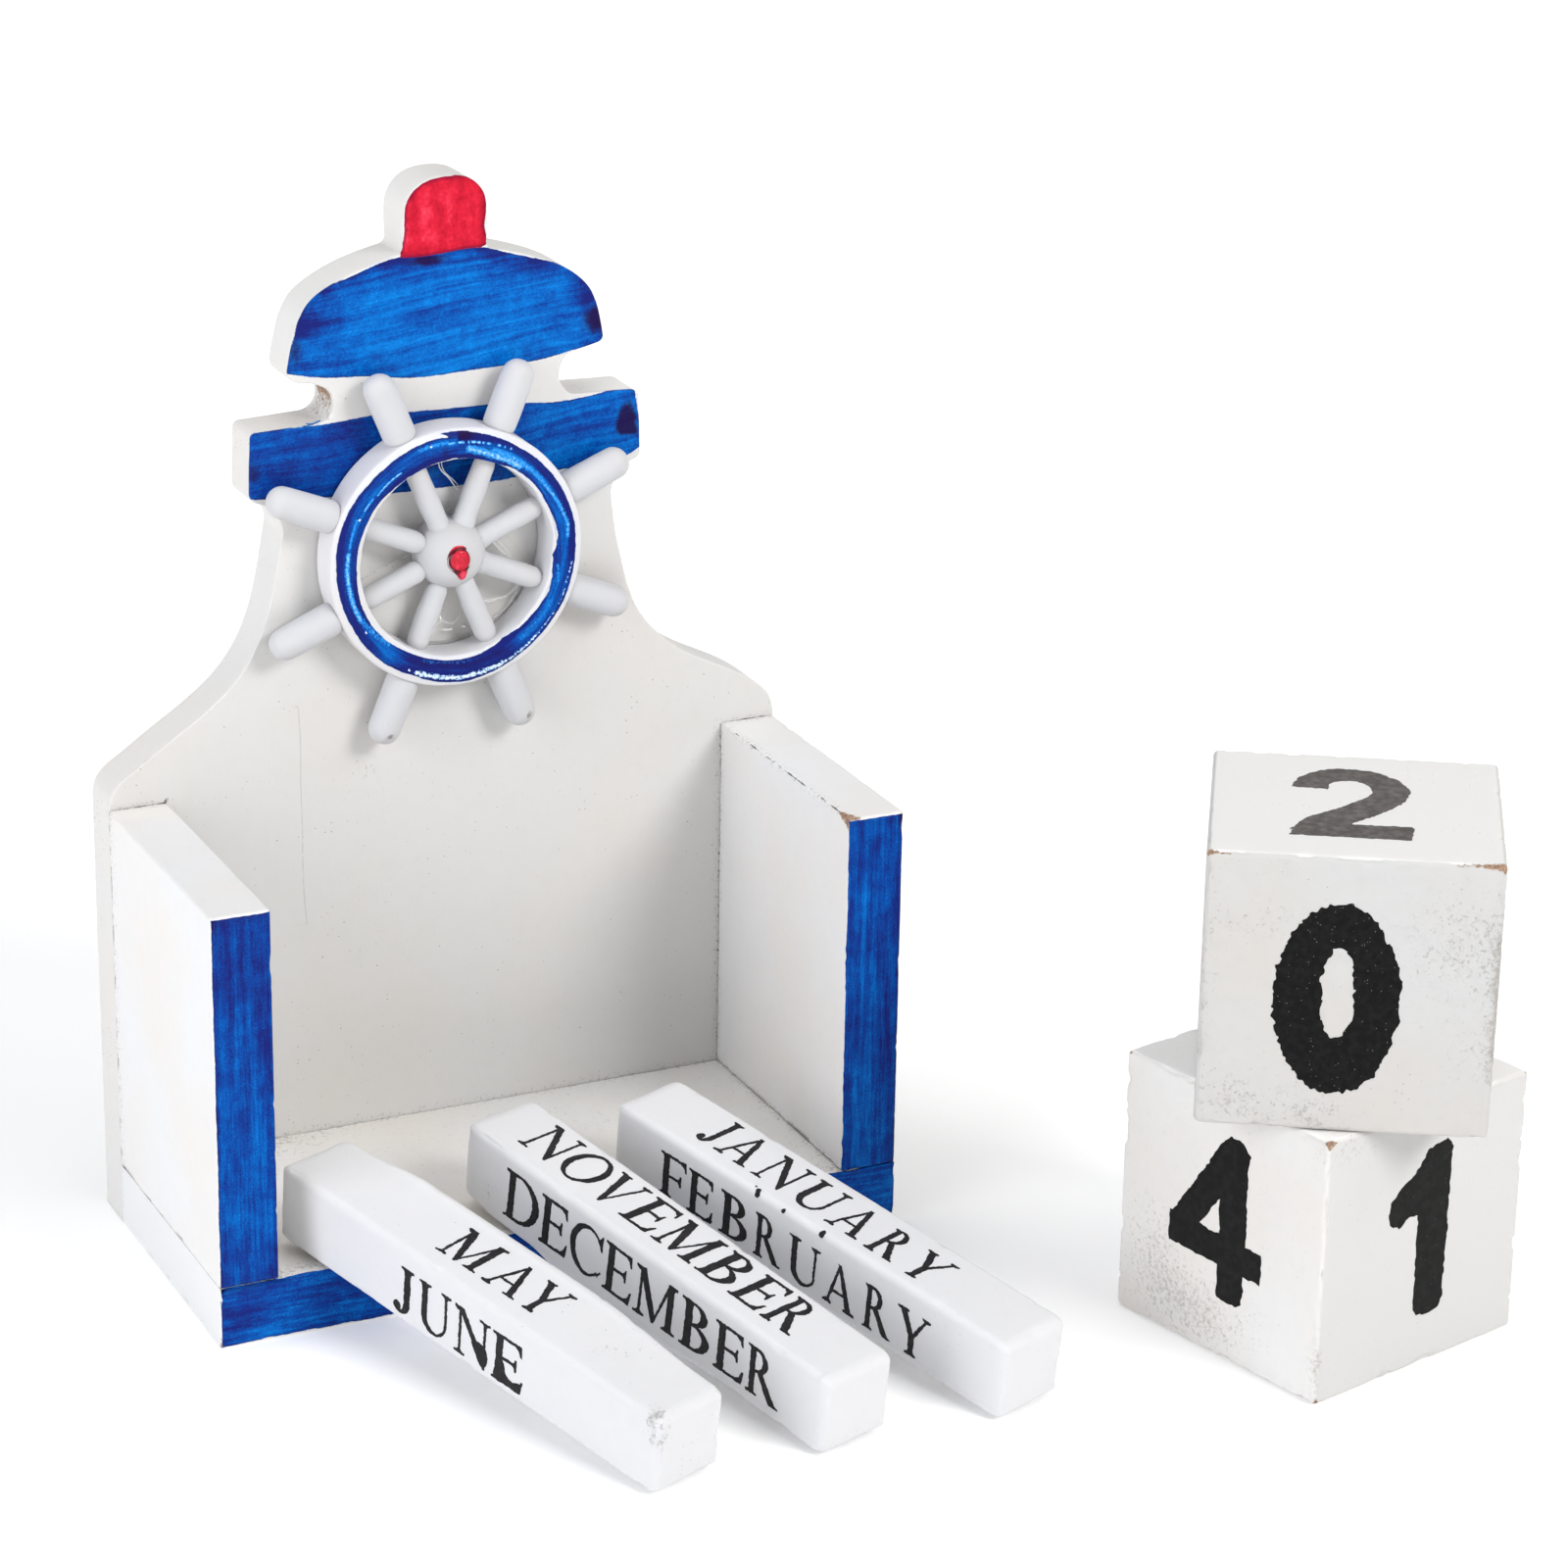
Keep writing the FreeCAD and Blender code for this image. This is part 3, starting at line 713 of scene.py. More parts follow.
def glyph(ch):
    if ch == "A":
        return [[(0.40, 1.0), (0.50, 1.0), (0.905, 0.02), (0.735, 0.02)], para(0.11, 0.02, 0.405, 0.93, 0.068, 0.075),
                [(0.22, 0.31), (0.74, 0.31), (0.74, 0.31 + H), (0.22, 0.31 + H)], foot(0.145, 0, 0.14, 0.13), foot(0.82, 0, 0.17, 0.17, b=0.03)]
    if ch == "B":
        return [stem(0.10, 0.10 + T, tr=0, br=0), ringseg((0.30, 0.765), (0.285, 0.235), (0.30, 0.765), (0.145, 0.18), -90, 90),
                ringseg((0.31, 0.272), (0.35, 0.272), (0.31, 0.275), (0.195, 0.217), -90, 90),
                [(0.2, 1 - H), (0.32, 1 - H), (0.32, 1), (0.2, 1)], [(0.2, 0.50), (0.34, 0.50), (0.34, 0.57), (0.2, 0.57)], [(0.2, 0), (0.34, 0), (0.34, H), (0.2, H)]]
    if ch == "C":
        return [ringseg((0.50, 0.50), (0.48, 0.515), (0.555, 0.50), (0.385, 0.455), 44, 318, 44),
                [(0.80, 0.85), (0.885, 0.93), (0.915, 0.99), (0.945, 0.99), (0.945, 0.66), (0.905, 0.66), (0.87, 0.76)],
                [(0.84, 0.155), (0.935, 0.24), (0.955, 0.215), (0.86, 0.105)]]
    if ch == "D":
        return [stem(0.10, 0.10 + T, tr=0, br=0), ringseg((0.34, 0.50), (0.55, 0.50), (0.34, 0.50), (0.385, 0.442), -90, 90, 30),
                [(0.2, 1 - H), (0.36, 1 - H), (0.36, 1), (0.2, 1)], [(0.2, 0), (0.36, 0), (0.36, H), (0.2, H)]]
    if ch == "E":
        return [stem(0.10, 0.10 + T, tr=0, br=0)] + armtop(0.2, 0.68) + armbot(0.2, 0.70) + armmid(0.2, 0.56)
    if ch == "F":
        return [stem(0.10, 0.10 + T, tr=0)] + armtop(0.2, 0.68) + armmid(0.2, 0.56, 0.47)
    if ch == "G":
        return [ringseg((0.50, 0.50), (0.48, 0.515), (0.555, 0.50), (0.385, 0.455), 44, 322, 44),
                [(0.80, 0.85), (0.885, 0.93), (0.915, 0.99), (0.945, 0.99), (0.945, 0.66), (0.905, 0.66), (0.87, 0.76)],
                stem(0.79, 0.79 + T, 0.04, 0.46, bl=0, br=0)]
    if ch == "H":
        return [stem(0.10, 0.10 + T), stem(0.70, 0.70 + T), [(0.2, 0.48), (0.78, 0.48), (0.78, 0.48 + H), (0.2, 0.48 + H)]]
    if ch == "I":
        return [stem(0.12, 0.12 + T)]
    if ch == "J":
        return [stem(0.26, 0.26 + T, 0.20, 1.0, bl=0, br=0), ringseg((0.16, 0.22), (0.255, 0.235), (0.15, 0.235), (0.115, 0.195), -100, 2, 16),
                earc(0.095, 0.105, 0.095, 0.095, 0, 330, 16), [(0.08, 0.015), (0.2, -0.012), (0.2, 0.06), (0.1, 0.16)]]
    if ch == "L":
        return [stem(0.10, 0.10 + T, br=0)] + armbot(0.2, 0.66)
    if ch == "M":
        return [stem(0.135, 0.195, tl=0, tr=0, bl=0.115, br=0.11), foot(0.12, 1, 0.10, 0.10, -1), [(0.085, 1.0), (0.265, 1.0), (0.60, 0.115), (0.545, 0.0), (0.51, 0.0)],
                [(0.525, 0.0), (0.565, 0.0), (0.935, 0.96), (0.87, 0.96)], stem(0.86, 0.86 + T, tl=0, tr=0.09, bl=0.09, br=0.10)]
    if ch == "N":
        return [stem(0.125, 0.185, tl=0, tr=0, bl=0.11, br=0.115), foot(0.10, 1, 0.10, 0.10, -1), [(0.075, 1.0), (0.25, 1.0), (0.875, 0.14), (0.875, -0.01), (0.83, -0.015)],
                stem(0.815, 0.875, 0.0, 1.0, tl=0.12, tr=0.11, bl=0, br=0)]
    if ch == "O":
        return [ringseg((0.5, 0.5), (0.5, 0.515), (0.5, 0.5), (0.345, 0.455), -3, 183, 36), ringseg((0.5, 0.5), (0.5, 0.515), (0.5, 0.5), (0.345, 0.455), 177, 363, 36)]
    if ch in "PR":
        g = [stem(0.10, 0.10 + T, tr=0, br=0.085), ringseg((0.30, 0.745), (0.325, 0.255), (0.30, 0.745), (0.175, 0.198), -90, 90, 24),
             [(0.2, 1 - H), (0.32, 1 - H), (0.32, 1), (0.2, 1)], [(0.2, 0.49), (0.32, 0.49), (0.32, 0.49 + H), (0.2, 0.49 + H)]]
        if ch == "R":
            g += [[(0.33, 0.50), (0.50, 0.53), (0.905, 0.05), (0.95, 0.0), (0.72, 0.0)], [(0.72, 0), (1.0, 0), (1.0, 0.035), (0.90, 0.06), (0.80, 0.10)]]
        return g
    if ch == "S":
        return ribbon([(0.60, 0.78), (0.50, 0.92), (0.34, 0.965), (0.18, 0.90), (0.13, 0.76), (0.20, 0.63), (0.36, 0.53), (0.52, 0.42), (0.585, 0.27), (0.50, 0.10), (0.33, 0.032), (0.16, 0.09), (0.07, 0.24)],
                      [0.04, 0.05, 0.055, 0.09, 0.13, 0.15, 0.16, 0.15, 0.13, 0.09, 0.055, 0.05, 0.04]) + \
            [[(0.575, 0.99), (0.61, 0.99), (0.63, 0.69), (0.59, 0.69), (0.52, 0.88)], [(0.035, 0.01), (0.07, 0.01), (0.15, 0.12), (0.075, 0.33), (0.03, 0.33)]]
    if ch == "T":
        return [stem(0.36, 0.36 + T, tl=0, tr=0), [(0.04, 1 - H), (0.84, 1 - H), (0.84, 1), (0.04, 1)],
                [(0.04, 1.0), (0.01, 0.74), (0.045, 0.74), (0.10, 0.88), (0.18, 1 - H), (0.18, 1.0)], [(0.70, 1.0), (0.70, 1 - H), (0.78, 0.88), (0.83, 0.74), (0.865, 0.74), (0.84, 1.0)]]
    if ch == "U":
        o = earc(0.455, 0.33, 0.355, 0.345, 180, 360, 26)
        i = earc(0.50, 0.33, 0.25, 0.278, 360, 180, 26)
        return [stem(0.10, 0.25, 0.32, 1.0, tl=0.09, tr=0.09, bl=0, br=0), stem(0.75, 0.81, 0.32, 1.0, tl=0.11, tr=0.10, bl=0, br=0), o + i]
    if ch == "V":
        return [[(0.085, 0.98), (0.27, 0.98), (0.545, 0.13), (0.515, -0.02), (0.475, -0.02)], [(0.49, -0.02), (0.53, -0.02), (0.855, 0.98), (0.785, 0.98)],
                foot(0.17, 1, 0.16, 0.16, -1, b=0.03), foot(0.83, 1, 0.13, 0.13, -1, b=0.03)]
    if ch == "Y":
        return [[(0.075, 0.98), (0.265, 0.98), (0.54, 0.43), (0.385, 0.43)], [(0.49, 0.50), (0.545, 0.43), (0.875, 0.98), (0.805, 0.98)],
                stem(0.385, 0.54, 0.0, 0.47, tl=0, tr=0), foot(0.165, 1, 0.155, 0.16, -1, b=0.03), foot(0.84, 1, 0.12, 0.12, -1, b=0.03)]
    raise ValueError(ch)


def digit(ch):
    """Day numerals on the 38 mm face, in millimetres from its lower left corner."""
    if ch == "0":
        return [ringseg((17.5, 18.5), (8.1, 13.1), (17.55, 19.4), (2.15, 6.3), -4, 184, 50), ringseg((17.5, 18.5), (8.1, 13.1), (17.55, 19.4), (2.15, 6.3), 176, 364, 50)]
    if ch == "1":
        return [[(17.8, 22.4), (16.2, 22.6), (14.0, 21.7), (12.5, 22.9), (12.1, 24.4), (12.6, 26.0), (14.5, 27.5), (16.8, 28.8), (18.1, 30.6), (19.0, 31.8), (20.6, 32.4), (22.6, 32.2), (23.7, 31.0),
                 (23.5, 9.0), (22.9, 7.9), (21.0, 7.4), (18.8, 7.6), (17.9, 8.8)]]
    if ch == "2":
        q = ribbon([(12.95, 24.75), (13.5, 27.4), (15.4, 29.5), (18.1, 30.25), (21.0, 29.4), (22.9, 27.2), (23.45, 24.3), (22.3, 20.9), (19.9, 17.7), (16.9, 14.6), (14.2, 11.4), (13.0, 8.6)],
                   [4.7, 4.5, 4.4, 4.5, 4.7, 4.9, 4.9, 4.9, 5.0, 5.1, 5.2, 5.2], 60)
        return q + [[(10.4, 7.5), (26.0, 7.4), (26.3, 12.2), (17.0, 12.2), (12.2, 11.4)], [(10.45, 7.5), (13.6, 7.5), (13.9, 11.6), (10.95, 9.9)]]
    if ch == "3":
        return ribbon([(12.2, 27.3), (14.8, 29.7), (18.0, 30.3), (21.3, 29.2), (22.5, 26.4), (21.3, 23.4), (18.2, 21.6), (16.0, 21.2)], [4.6, 4.5, 4.4, 4.6, 4.8, 4.7, 4.3, 4.2], 50) + \
            ribbon([(16.0, 20.8), (19.2, 20.3), (22.3, 18.3), (23.5, 14.9), (22.2, 11.2), (18.6, 9.1), (14.6, 9.4), (11.6, 11.8)], [4.2, 4.4, 4.7, 4.9, 4.9, 4.7, 4.5, 4.5], 50)
    if ch == "4":
        return [[(19.0, 8.9), (20.2, 8.5), (22.6, 8.5), (23.8, 9.4), (23.9, 31.2), (22.6, 32.3), (20.4, 32.4), (19.2, 31.6), (18.9, 23.0)],
                [(9.8, 17.4), (15.1, 17.4), (15.3, 18.1), (19.6, 24.2), (19.9, 32.1), (18.6, 30.9)], [(9.7, 13.6), (26.8, 13.2), (26.9, 17.7), (9.8, 18.1)]]
    if ch == "5":
        return [[(11.6, 20.2), (15.8, 20.4), (16.6, 27.9), (25.0, 27.9), (25.0, 32.2), (13.0, 32.2)]] + \
            ribbon([(12.6, 20.9), (15.5, 22.2), (19.6, 22.0), (23.2, 19.4), (23.9, 15.4), (22.2, 11.4), (18.3, 9.3), (14.2, 9.7), (11.3, 12.3)], [4.0, 4.4, 4.6, 4.9, 5.0, 4.9, 4.7, 4.5, 4.5], 56)
    if ch == "6":
        return ribbon([(21.6, 30.6), (16.4, 27.6), (12.9, 22.2), (12.2, 15.8), (14.4, 10.9), (18.4, 9.4), (22.4, 11.4), (23.6, 15.6), (22.0, 19.6), (18.2, 21.2), (14.6, 19.6), (12.6, 16.4)],
                      [4.4, 4.8, 5.0, 5.0, 4.8, 4.6, 4.8, 5.0, 4.8, 4.4, 4.3, 4.3], 76)
    if ch == "7":
        return [[(10.4, 27.6), (26.0, 27.5), (26.1, 32.2), (10.4, 32.2)]] + ribbon([(23.4, 29.6), (20.3, 23.6), (17.6, 16.6), (16.3, 7.6)], [5.0, 5.0, 5.0, 5.2], 30)
    if ch == "8":
        def both(cy, ry, rx):
            return [ringseg((18.0, cy), (rx, ry), (18.0, cy), (rx - 4.7, ry - 4.2), -4, 184, 40), ringseg((18.0, cy), (rx, ry), (18.0, cy), (rx - 4.7, ry - 4.2), 176, 364, 40)]
        return both(25.6, 6.8, 7.3) + both(14.4, 7.1, 8.0)
    if ch == "9":
        return [[(36.0 - x, 39.9 - y) for x, y in q] for q in digit("6")]
    raise ValueError(ch)


def dense(poly, step):
    out = []
    p = [np.array(q, float) for q in poly]
    for a, b in zip(p, p[1:] + p[:1]):
        L = np.linalg.norm(b - a)
        n = max(1, int(math.ceil(L / step)))
        for i in range(n):
            out.append(a + (b - a) * i / n)
    return np.array(out)


def fill_once(polys, step, warp=None, cell=None):
    """Triangles over the union of simple polygons (outline points about every step, moved by warp), and its boundary edges."""
    V, F = [], []
    for q in polys:
        d = dense(q, step)
        area = 0.5 * np.sum(d[:, 0] * np.roll(d[:, 1], -1) - np.roll(d[:, 0], -1) * d[:, 1])
        if area < 0:
            d = d[::-1]
        if warp is not None:
            d = warp(d)
        F.append(list(range(len(V), len(V) + len(d))))
        V += [Vector((float(x), float(y))) for x, y in d]
    if cell:
        a = np.array([(v.x, v.y) for v in V])
        lo, hi = a.min(0), a.max(0)
        gx, gy = np.meshgrid(np.arange(lo[0] + cell / 2, hi[0], cell), np.arange(lo[1] + cell / 2, hi[1], cell))
        V += [Vector((float(x), float(y))) for x, y in zip(gx.ravel(), gy.ravel())]
    res = delaunay_2d_cdt(V, [], F, 1, 1e-5, True)
    pv = np.array([(v.x, v.y) for v in res[0]])
    tris = [tuple(f) for f, o in zip(res[2], res[5]) if len(o)]
    tris = [t for t in tris if abs(np.cross(pv[t[1]] - pv[t[0]], pv[t[2]] - pv[t[0]])) > 1e-9]
    used = sorted({i for t in tris for i in t})
    m = {o: n for n, o in enumerate(used)}
    pv = pv[used]
    tris = [tuple(m[i] for i in t) for t in tris]
    seen = {}
    for t in tris:
        for a, b in ((t[0], t[1]), (t[1], t[2]), (t[2], t[0])):
            seen[(a, b)] = seen.get((a, b), 0) + 1
    edges = [(a, b) for (a, b) in seen if (b, a) not in seen]
    return pv, tris, edges


def fill_area(pv, tris):
    t = pv[np.array(tris)]
    return 0.5 * float(np.abs(np.cross(t[:, 1] - t[:, 0], t[:, 2] - t[:, 0])).sum())


def union_fill(polys, step, warp=None, cell=None):
    """fill_once with as much of the warp as leaves the glyph's area as it was: a stronger one would fold
    its outline over itself."""
    plain = fill_once(polys, step, None, cell)
    if warp is None:
        return plain
    a0 = fill_area(plain[0], plain[1])
    for k in (1.0, 0.8, 0.6, 0.45, 0.3, 0.15):
        got = fill_once(polys, step, lambda d, k=k: d + k * (warp(d) - d), cell)
        if len(got[1]) and abs(fill_area(got[0], got[1]) / a0 - 1) < 0.10:
            return got
    return plain


class Ink:
    """Collects flat glyph shapes on a body's faces and makes one thin closed mesh of them."""

    def __init__(self):
        self.v, self.f = [], []

    def put(self, pv, tris, edges, origin, right, up, normal, surface, over=0.028, under=0.06):
        origin, right, up, normal = (np.array(x, float) for x in (origin, right, up, normal))
        base = origin + pv[:, :1] * right + pv[:, 1:] * up
        dep = surface(base, np.repeat(normal[None], len(base), 0))
        top = base - normal * (dep - over)[:, None]
        bot = base - normal * (dep + under)[:, None]
        n0 = len(self.v)
        self.v += list(top) + list(bot)
        k = len(pv)
        flip = np.dot(np.cross(right, up), normal) < 0
        for t in tris:
            a = tuple(i + n0 for i in t)
            b = tuple(i + n0 + k for i in t[::-1])
            self.f += [a[::-1], b[::-1]] if flip else [a, b]
        for a, b in edges:
            q = (n0 + a, n0 + a + k, n0 + b + k, n0 + b)
            self.f.append(q[::-1] if flip else q)


# ---------------------------------------------------------- the white pieces
W_BOARD = (0.656, 0.650, 0.640)
W_PANEL = (0.718, 0.718, 0.723)
W_BASE = (0.785, 0.777, 0.765)
W_BAR = (0.664, 0.664, 0.676)
W_CUBE = (0.698, 0.690, 0.678)
# the upper cube's white: the cubes' paint made darker, painted shade
W_CUBE_UP_SHADED = (0.528, 0.524, 0.517)
W_WHEEL = (0.556, 0.561, 0.584)
W_HUB = (0.540, 0.545, 0.566)
# the rim's white: the wheel's paint made lighter and bluer, painted light
W_RIM_LIT = (0.660, 0.664, 0.692)

# the board's tint colour is painted light: its upward cut face at the band's right end and its face inside the wheel
# are made lighter
m_board = painted("board_paint", W_BOARD, 1, back=True, specks=0.95, mottled=0.5, warm=(0.95, 0.93, 0.905), blue=(0.042, 0.9, 0.86), red=(0.42, 0.5, 0.09), joint=True, crack=True, wear=True, rough=0.46,
                  dirt=(0.20, 0.17, 0.15), tilt=0.10, gain=2.7, tint_and_painted_light=(0.80, 0.785, 0.765))
m_side = painted("side_panel_paint", W_PANEL, 2, specks=0.35, mottled=0.35, blue=(1.25, 1.0, 0.060), joint=True, wear=True, rough=0.46, gain=2.8)
m_base = painted("base_panel_paint", W_BASE, 3, specks=0.8, mottled=0.6, blue=(0.10, 1.0, 1.0), joint=True, wear=True, rough=0.48, dirt=(0.24, 0.21, 0.19), gain=2.8, tint_and_painted_light=(0.716, 0.716, 0.720))
m_bars = [painted("bar_paint_%d" % i, W_BAR, 4 + i, specks=(0.75, 0.40, 0.30)[i], mottled=0.35, warm=(0.95, 0.948, 0.945), wear=True, rough=0.46, grit=0.35, pits=0.2, dirt=(0.22, 0.20, 0.19)) for i in range(3)]
# the cubes' tint colours: painted light on their upward faces; the lower cube's front painted darker, painted shade
m_cube_lo = painted("cube_paint_lower", W_CUBE, 8, specks=0.40, mottled=0.8, wear=True, rough=0.50, grit=1.3, pits=1.0, dirt=(0.40, 0.36, 0.31), tint_and_painted_light=(0.84, 0.83, 0.81))
m_cube_up_shaded = painted("cube_paint_upper_shaded", W_CUBE_UP_SHADED, 9, specks=0.65, mottled=0.9, wear=True, rough=0.50, grit=1.3, pits=1.0, dirt=(0.32, 0.29, 0.25), tint_and_painted_light=(0.725, 0.716, 0.702))
m_rim = painted("wheel_rim_paint", W_RIM_LIT, 11, specks=0.12, mottled=0.3, blue=(0.5, 0.5, 0.5), rough=0.40, grit=0.2, pits=0.0, ring=True, shine=0.07, gain=2.6)
m_spin = painted("wheel_spindle_paint", W_WHEEL, 12, specks=0.12, mottled=0.3, rough=0.42, grit=0.2, pits=0.0, dirt=(0.22, 0.17, 0.16))
m_hub = painted("wheel_hub_paint", W_HUB, 13, specks=0.08, mottled=0.3, rough=0.42, grit=0.2, pits=0.0, dirt=(0.20, 0.18, 0.18))

ink_bar = ink_material("month_ink", (0.014, 0.013, 0.014), speck=0.12, seed=1)
ink_cube = ink_material("day_ink", (0.0040, 0.0040, 0.0040), speck=0.50, seed=2)
ink_cube_lo = ink_material("day_ink_lower", (0.0065, 0.0065, 0.0062), speck=0.25, seed=3)
ink_cube_top = ink_material("day_ink_worn", (0.088, 0.081, 0.077), speck=0.10, seed=4)


# ---------------------------------------------------------------- backboard
R = [
    ("line", (50.0, 0.0), (50.0, 61.4)),
    ("spline", (50.0, 61.4), (49.75, 63.4), (48.9, 65.5), (46.9, 67.4), (42.0, 70.3),
     (36.0, 73.4), (31.6, 76.9), (28.3, 81.2), (26.5, 86.4), (25.2, 92.2), (24.4, 98.4)),
    ("arc", (24.4, 98.4), (25.45, 101.2), (27.7, 102.8)),
    ("arc", (27.7, 102.8), (28.45, 103.25), (28.7, 104.0)),
    ("line", (28.7, 104.0), (28.5, 111.7)),
    ("arc", (28.5, 111.7), (28.15, 112.6), (27.3, 113.0)),
    ("line", (27.3, 113.0), (18.4, 113.3)),
    ("arc", (18.4, 113.3), (16.55, 115.9), (17.9, 119.1)),
    ("line", (17.9, 119.1), (22.4, 120.2)),
    ("arc", (22.4, 120.2), (22.95, 120.6), (23.1, 121.3)),
    ("spline", (23.1, 121.3), (22.5, 124.6), (21.3, 127.8), (18.7, 130.5), (14.0, 132.9), (9.6, 134.3), (6.3, 135.1)),
    ("arc", (6.3, 135.1), (5.98, 135.5), (5.9, 136.3)),
    ("spline", (5.9, 136.3), (6.0, 140.4), (5.45, 143.1), (3.6, 144.9), (0.0, 145.6)),
]
L = [
    ("line", (-50.0, 0.0), (-50.0, 61.6)),
    ("spline", (-50.0, 61.6), (-49.7, 63.5), (-48.6, 65.2), (-46.6, 66.7), (-42.4, 69.6),
     (-35.6, 74.2), (-31.7, 77.6), (-28.7, 81.8), (-26.6, 87.0), (-25.3, 92.6), (-24.3, 98.2)),
    ("arc", (-24.3, 98.2), (-25.2, 101.0), (-27.6, 102.7)),
    ("arc", (-27.6, 102.7), (-28.4, 103.15), (-28.75, 104.0)),
    ("line", (-28.75, 104.0), (-28.5, 111.8)),
    ("arc", (-28.5, 111.8), (-28.1, 112.5), (-27.3, 112.7)),
    ("line", (-27.3, 112.7), (-18.9, 113.1)),
    ("arc", (-18.9, 113.1), (-16.55, 115.6), (-18.2, 118.1)),
    ("spline", (-18.2, 118.1), (-19.2, 118.55), (-20.6, 118.8), (-21.9, 119.1)),
    ("arc", (-21.9, 119.1), (-22.75, 119.8), (-22.95, 121.2)),
    ("spline", (-22.95, 121.2), (-22.2, 124.8), (-20.0, 129.6), (-17.0, 131.8), (-13.6, 133.4), (-9.8, 134.6), (-6.9, 135.3)),
    ("arc", (-6.9, 135.3), (-6.35, 135.7), (-6.2, 136.6)),
    ("spline", (-6.2, 136.6), (-6.3, 139.6), (-5.9, 142.2), (-4.3, 144.4), (0.0, 145.6)),
]


def side_points(segs, step):
    out = []
    for s in segs:
        if s[0] == "arc":
            c = arc3(s[1], s[2], s[3], step * 0.6)
        else:
            pts = list(s[1:])
            if s[0] == "spline" and abs(pts[-1][0]) < 1e-9:     # level at the very top
                sx = 1 if pts[0][0] > 0 else -1
                c = catmull(pts + [(-pts[-2][0], pts[-2][1]), (-pts[-3][0], pts[-3][1])], step)
                c = c[:int(np.argmin(np.abs(c[:, 0]) + (c[:, 1] < 140) * 99)) + 1]
                c[-1] = pts[-1]
            else:
                c = catmull(pts, step)
        out.append(c if not out else c[1:])
    return np.concatenate(out)


STEP = 0.55
right_side = side_points(R, STEP)
left_side = side_points(L, STEP)[::-1]
bottom = np.column_stack([np.linspace(-50, 50, int(100 / STEP) + 1), np.zeros(int(100 / STEP) + 1)])
loop = np.concatenate([right_side[:-1], left_side[:-1], bottom[:-1]])
# drop near duplicates
keep = [0]
for q in range(1, len(loop)):
    if np.linalg.norm(loop[q] - loop[keep[-1]]) > 0.12:
        keep.append(q)
loop = loop[keep]
nL = len(loop)
prv, nxt = np.roll(loop, 1, 0), np.roll(loop, -1, 0)
ta = (loop - prv) / np.linalg.norm(loop - prv, axis=1, keepdims=True)
tb = (nxt - loop) / np.linalg.norm(nxt - loop, axis=1, keepdims=True)
na, nb = np.column_stack([ta[:, 1], -ta[:, 0]]), np.column_stack([tb[:, 1], -tb[:, 0]])
nm = na + nb
nm /= np.linalg.norm(nm, axis=1, keepdims=True)
miter = 1.0 / np.clip(np.sum(nm * na, 1), 0.6, 1)
out_n = nm * miter[:, None]


def board_front_depth(P, N):
    """How far the painted front stands back from the nominal face."""
    p = P[:, [0, 2, 1]] if P.shape[1] == 3 else P
    q = np.column_stack([p[:, 0], p[:, 1], np.zeros(len(p))])
    return 0.02 + 0.05 * fbm(q / 16.0, 5, 3) + 0.018 * fbm(q / 2.6, 9, 2)


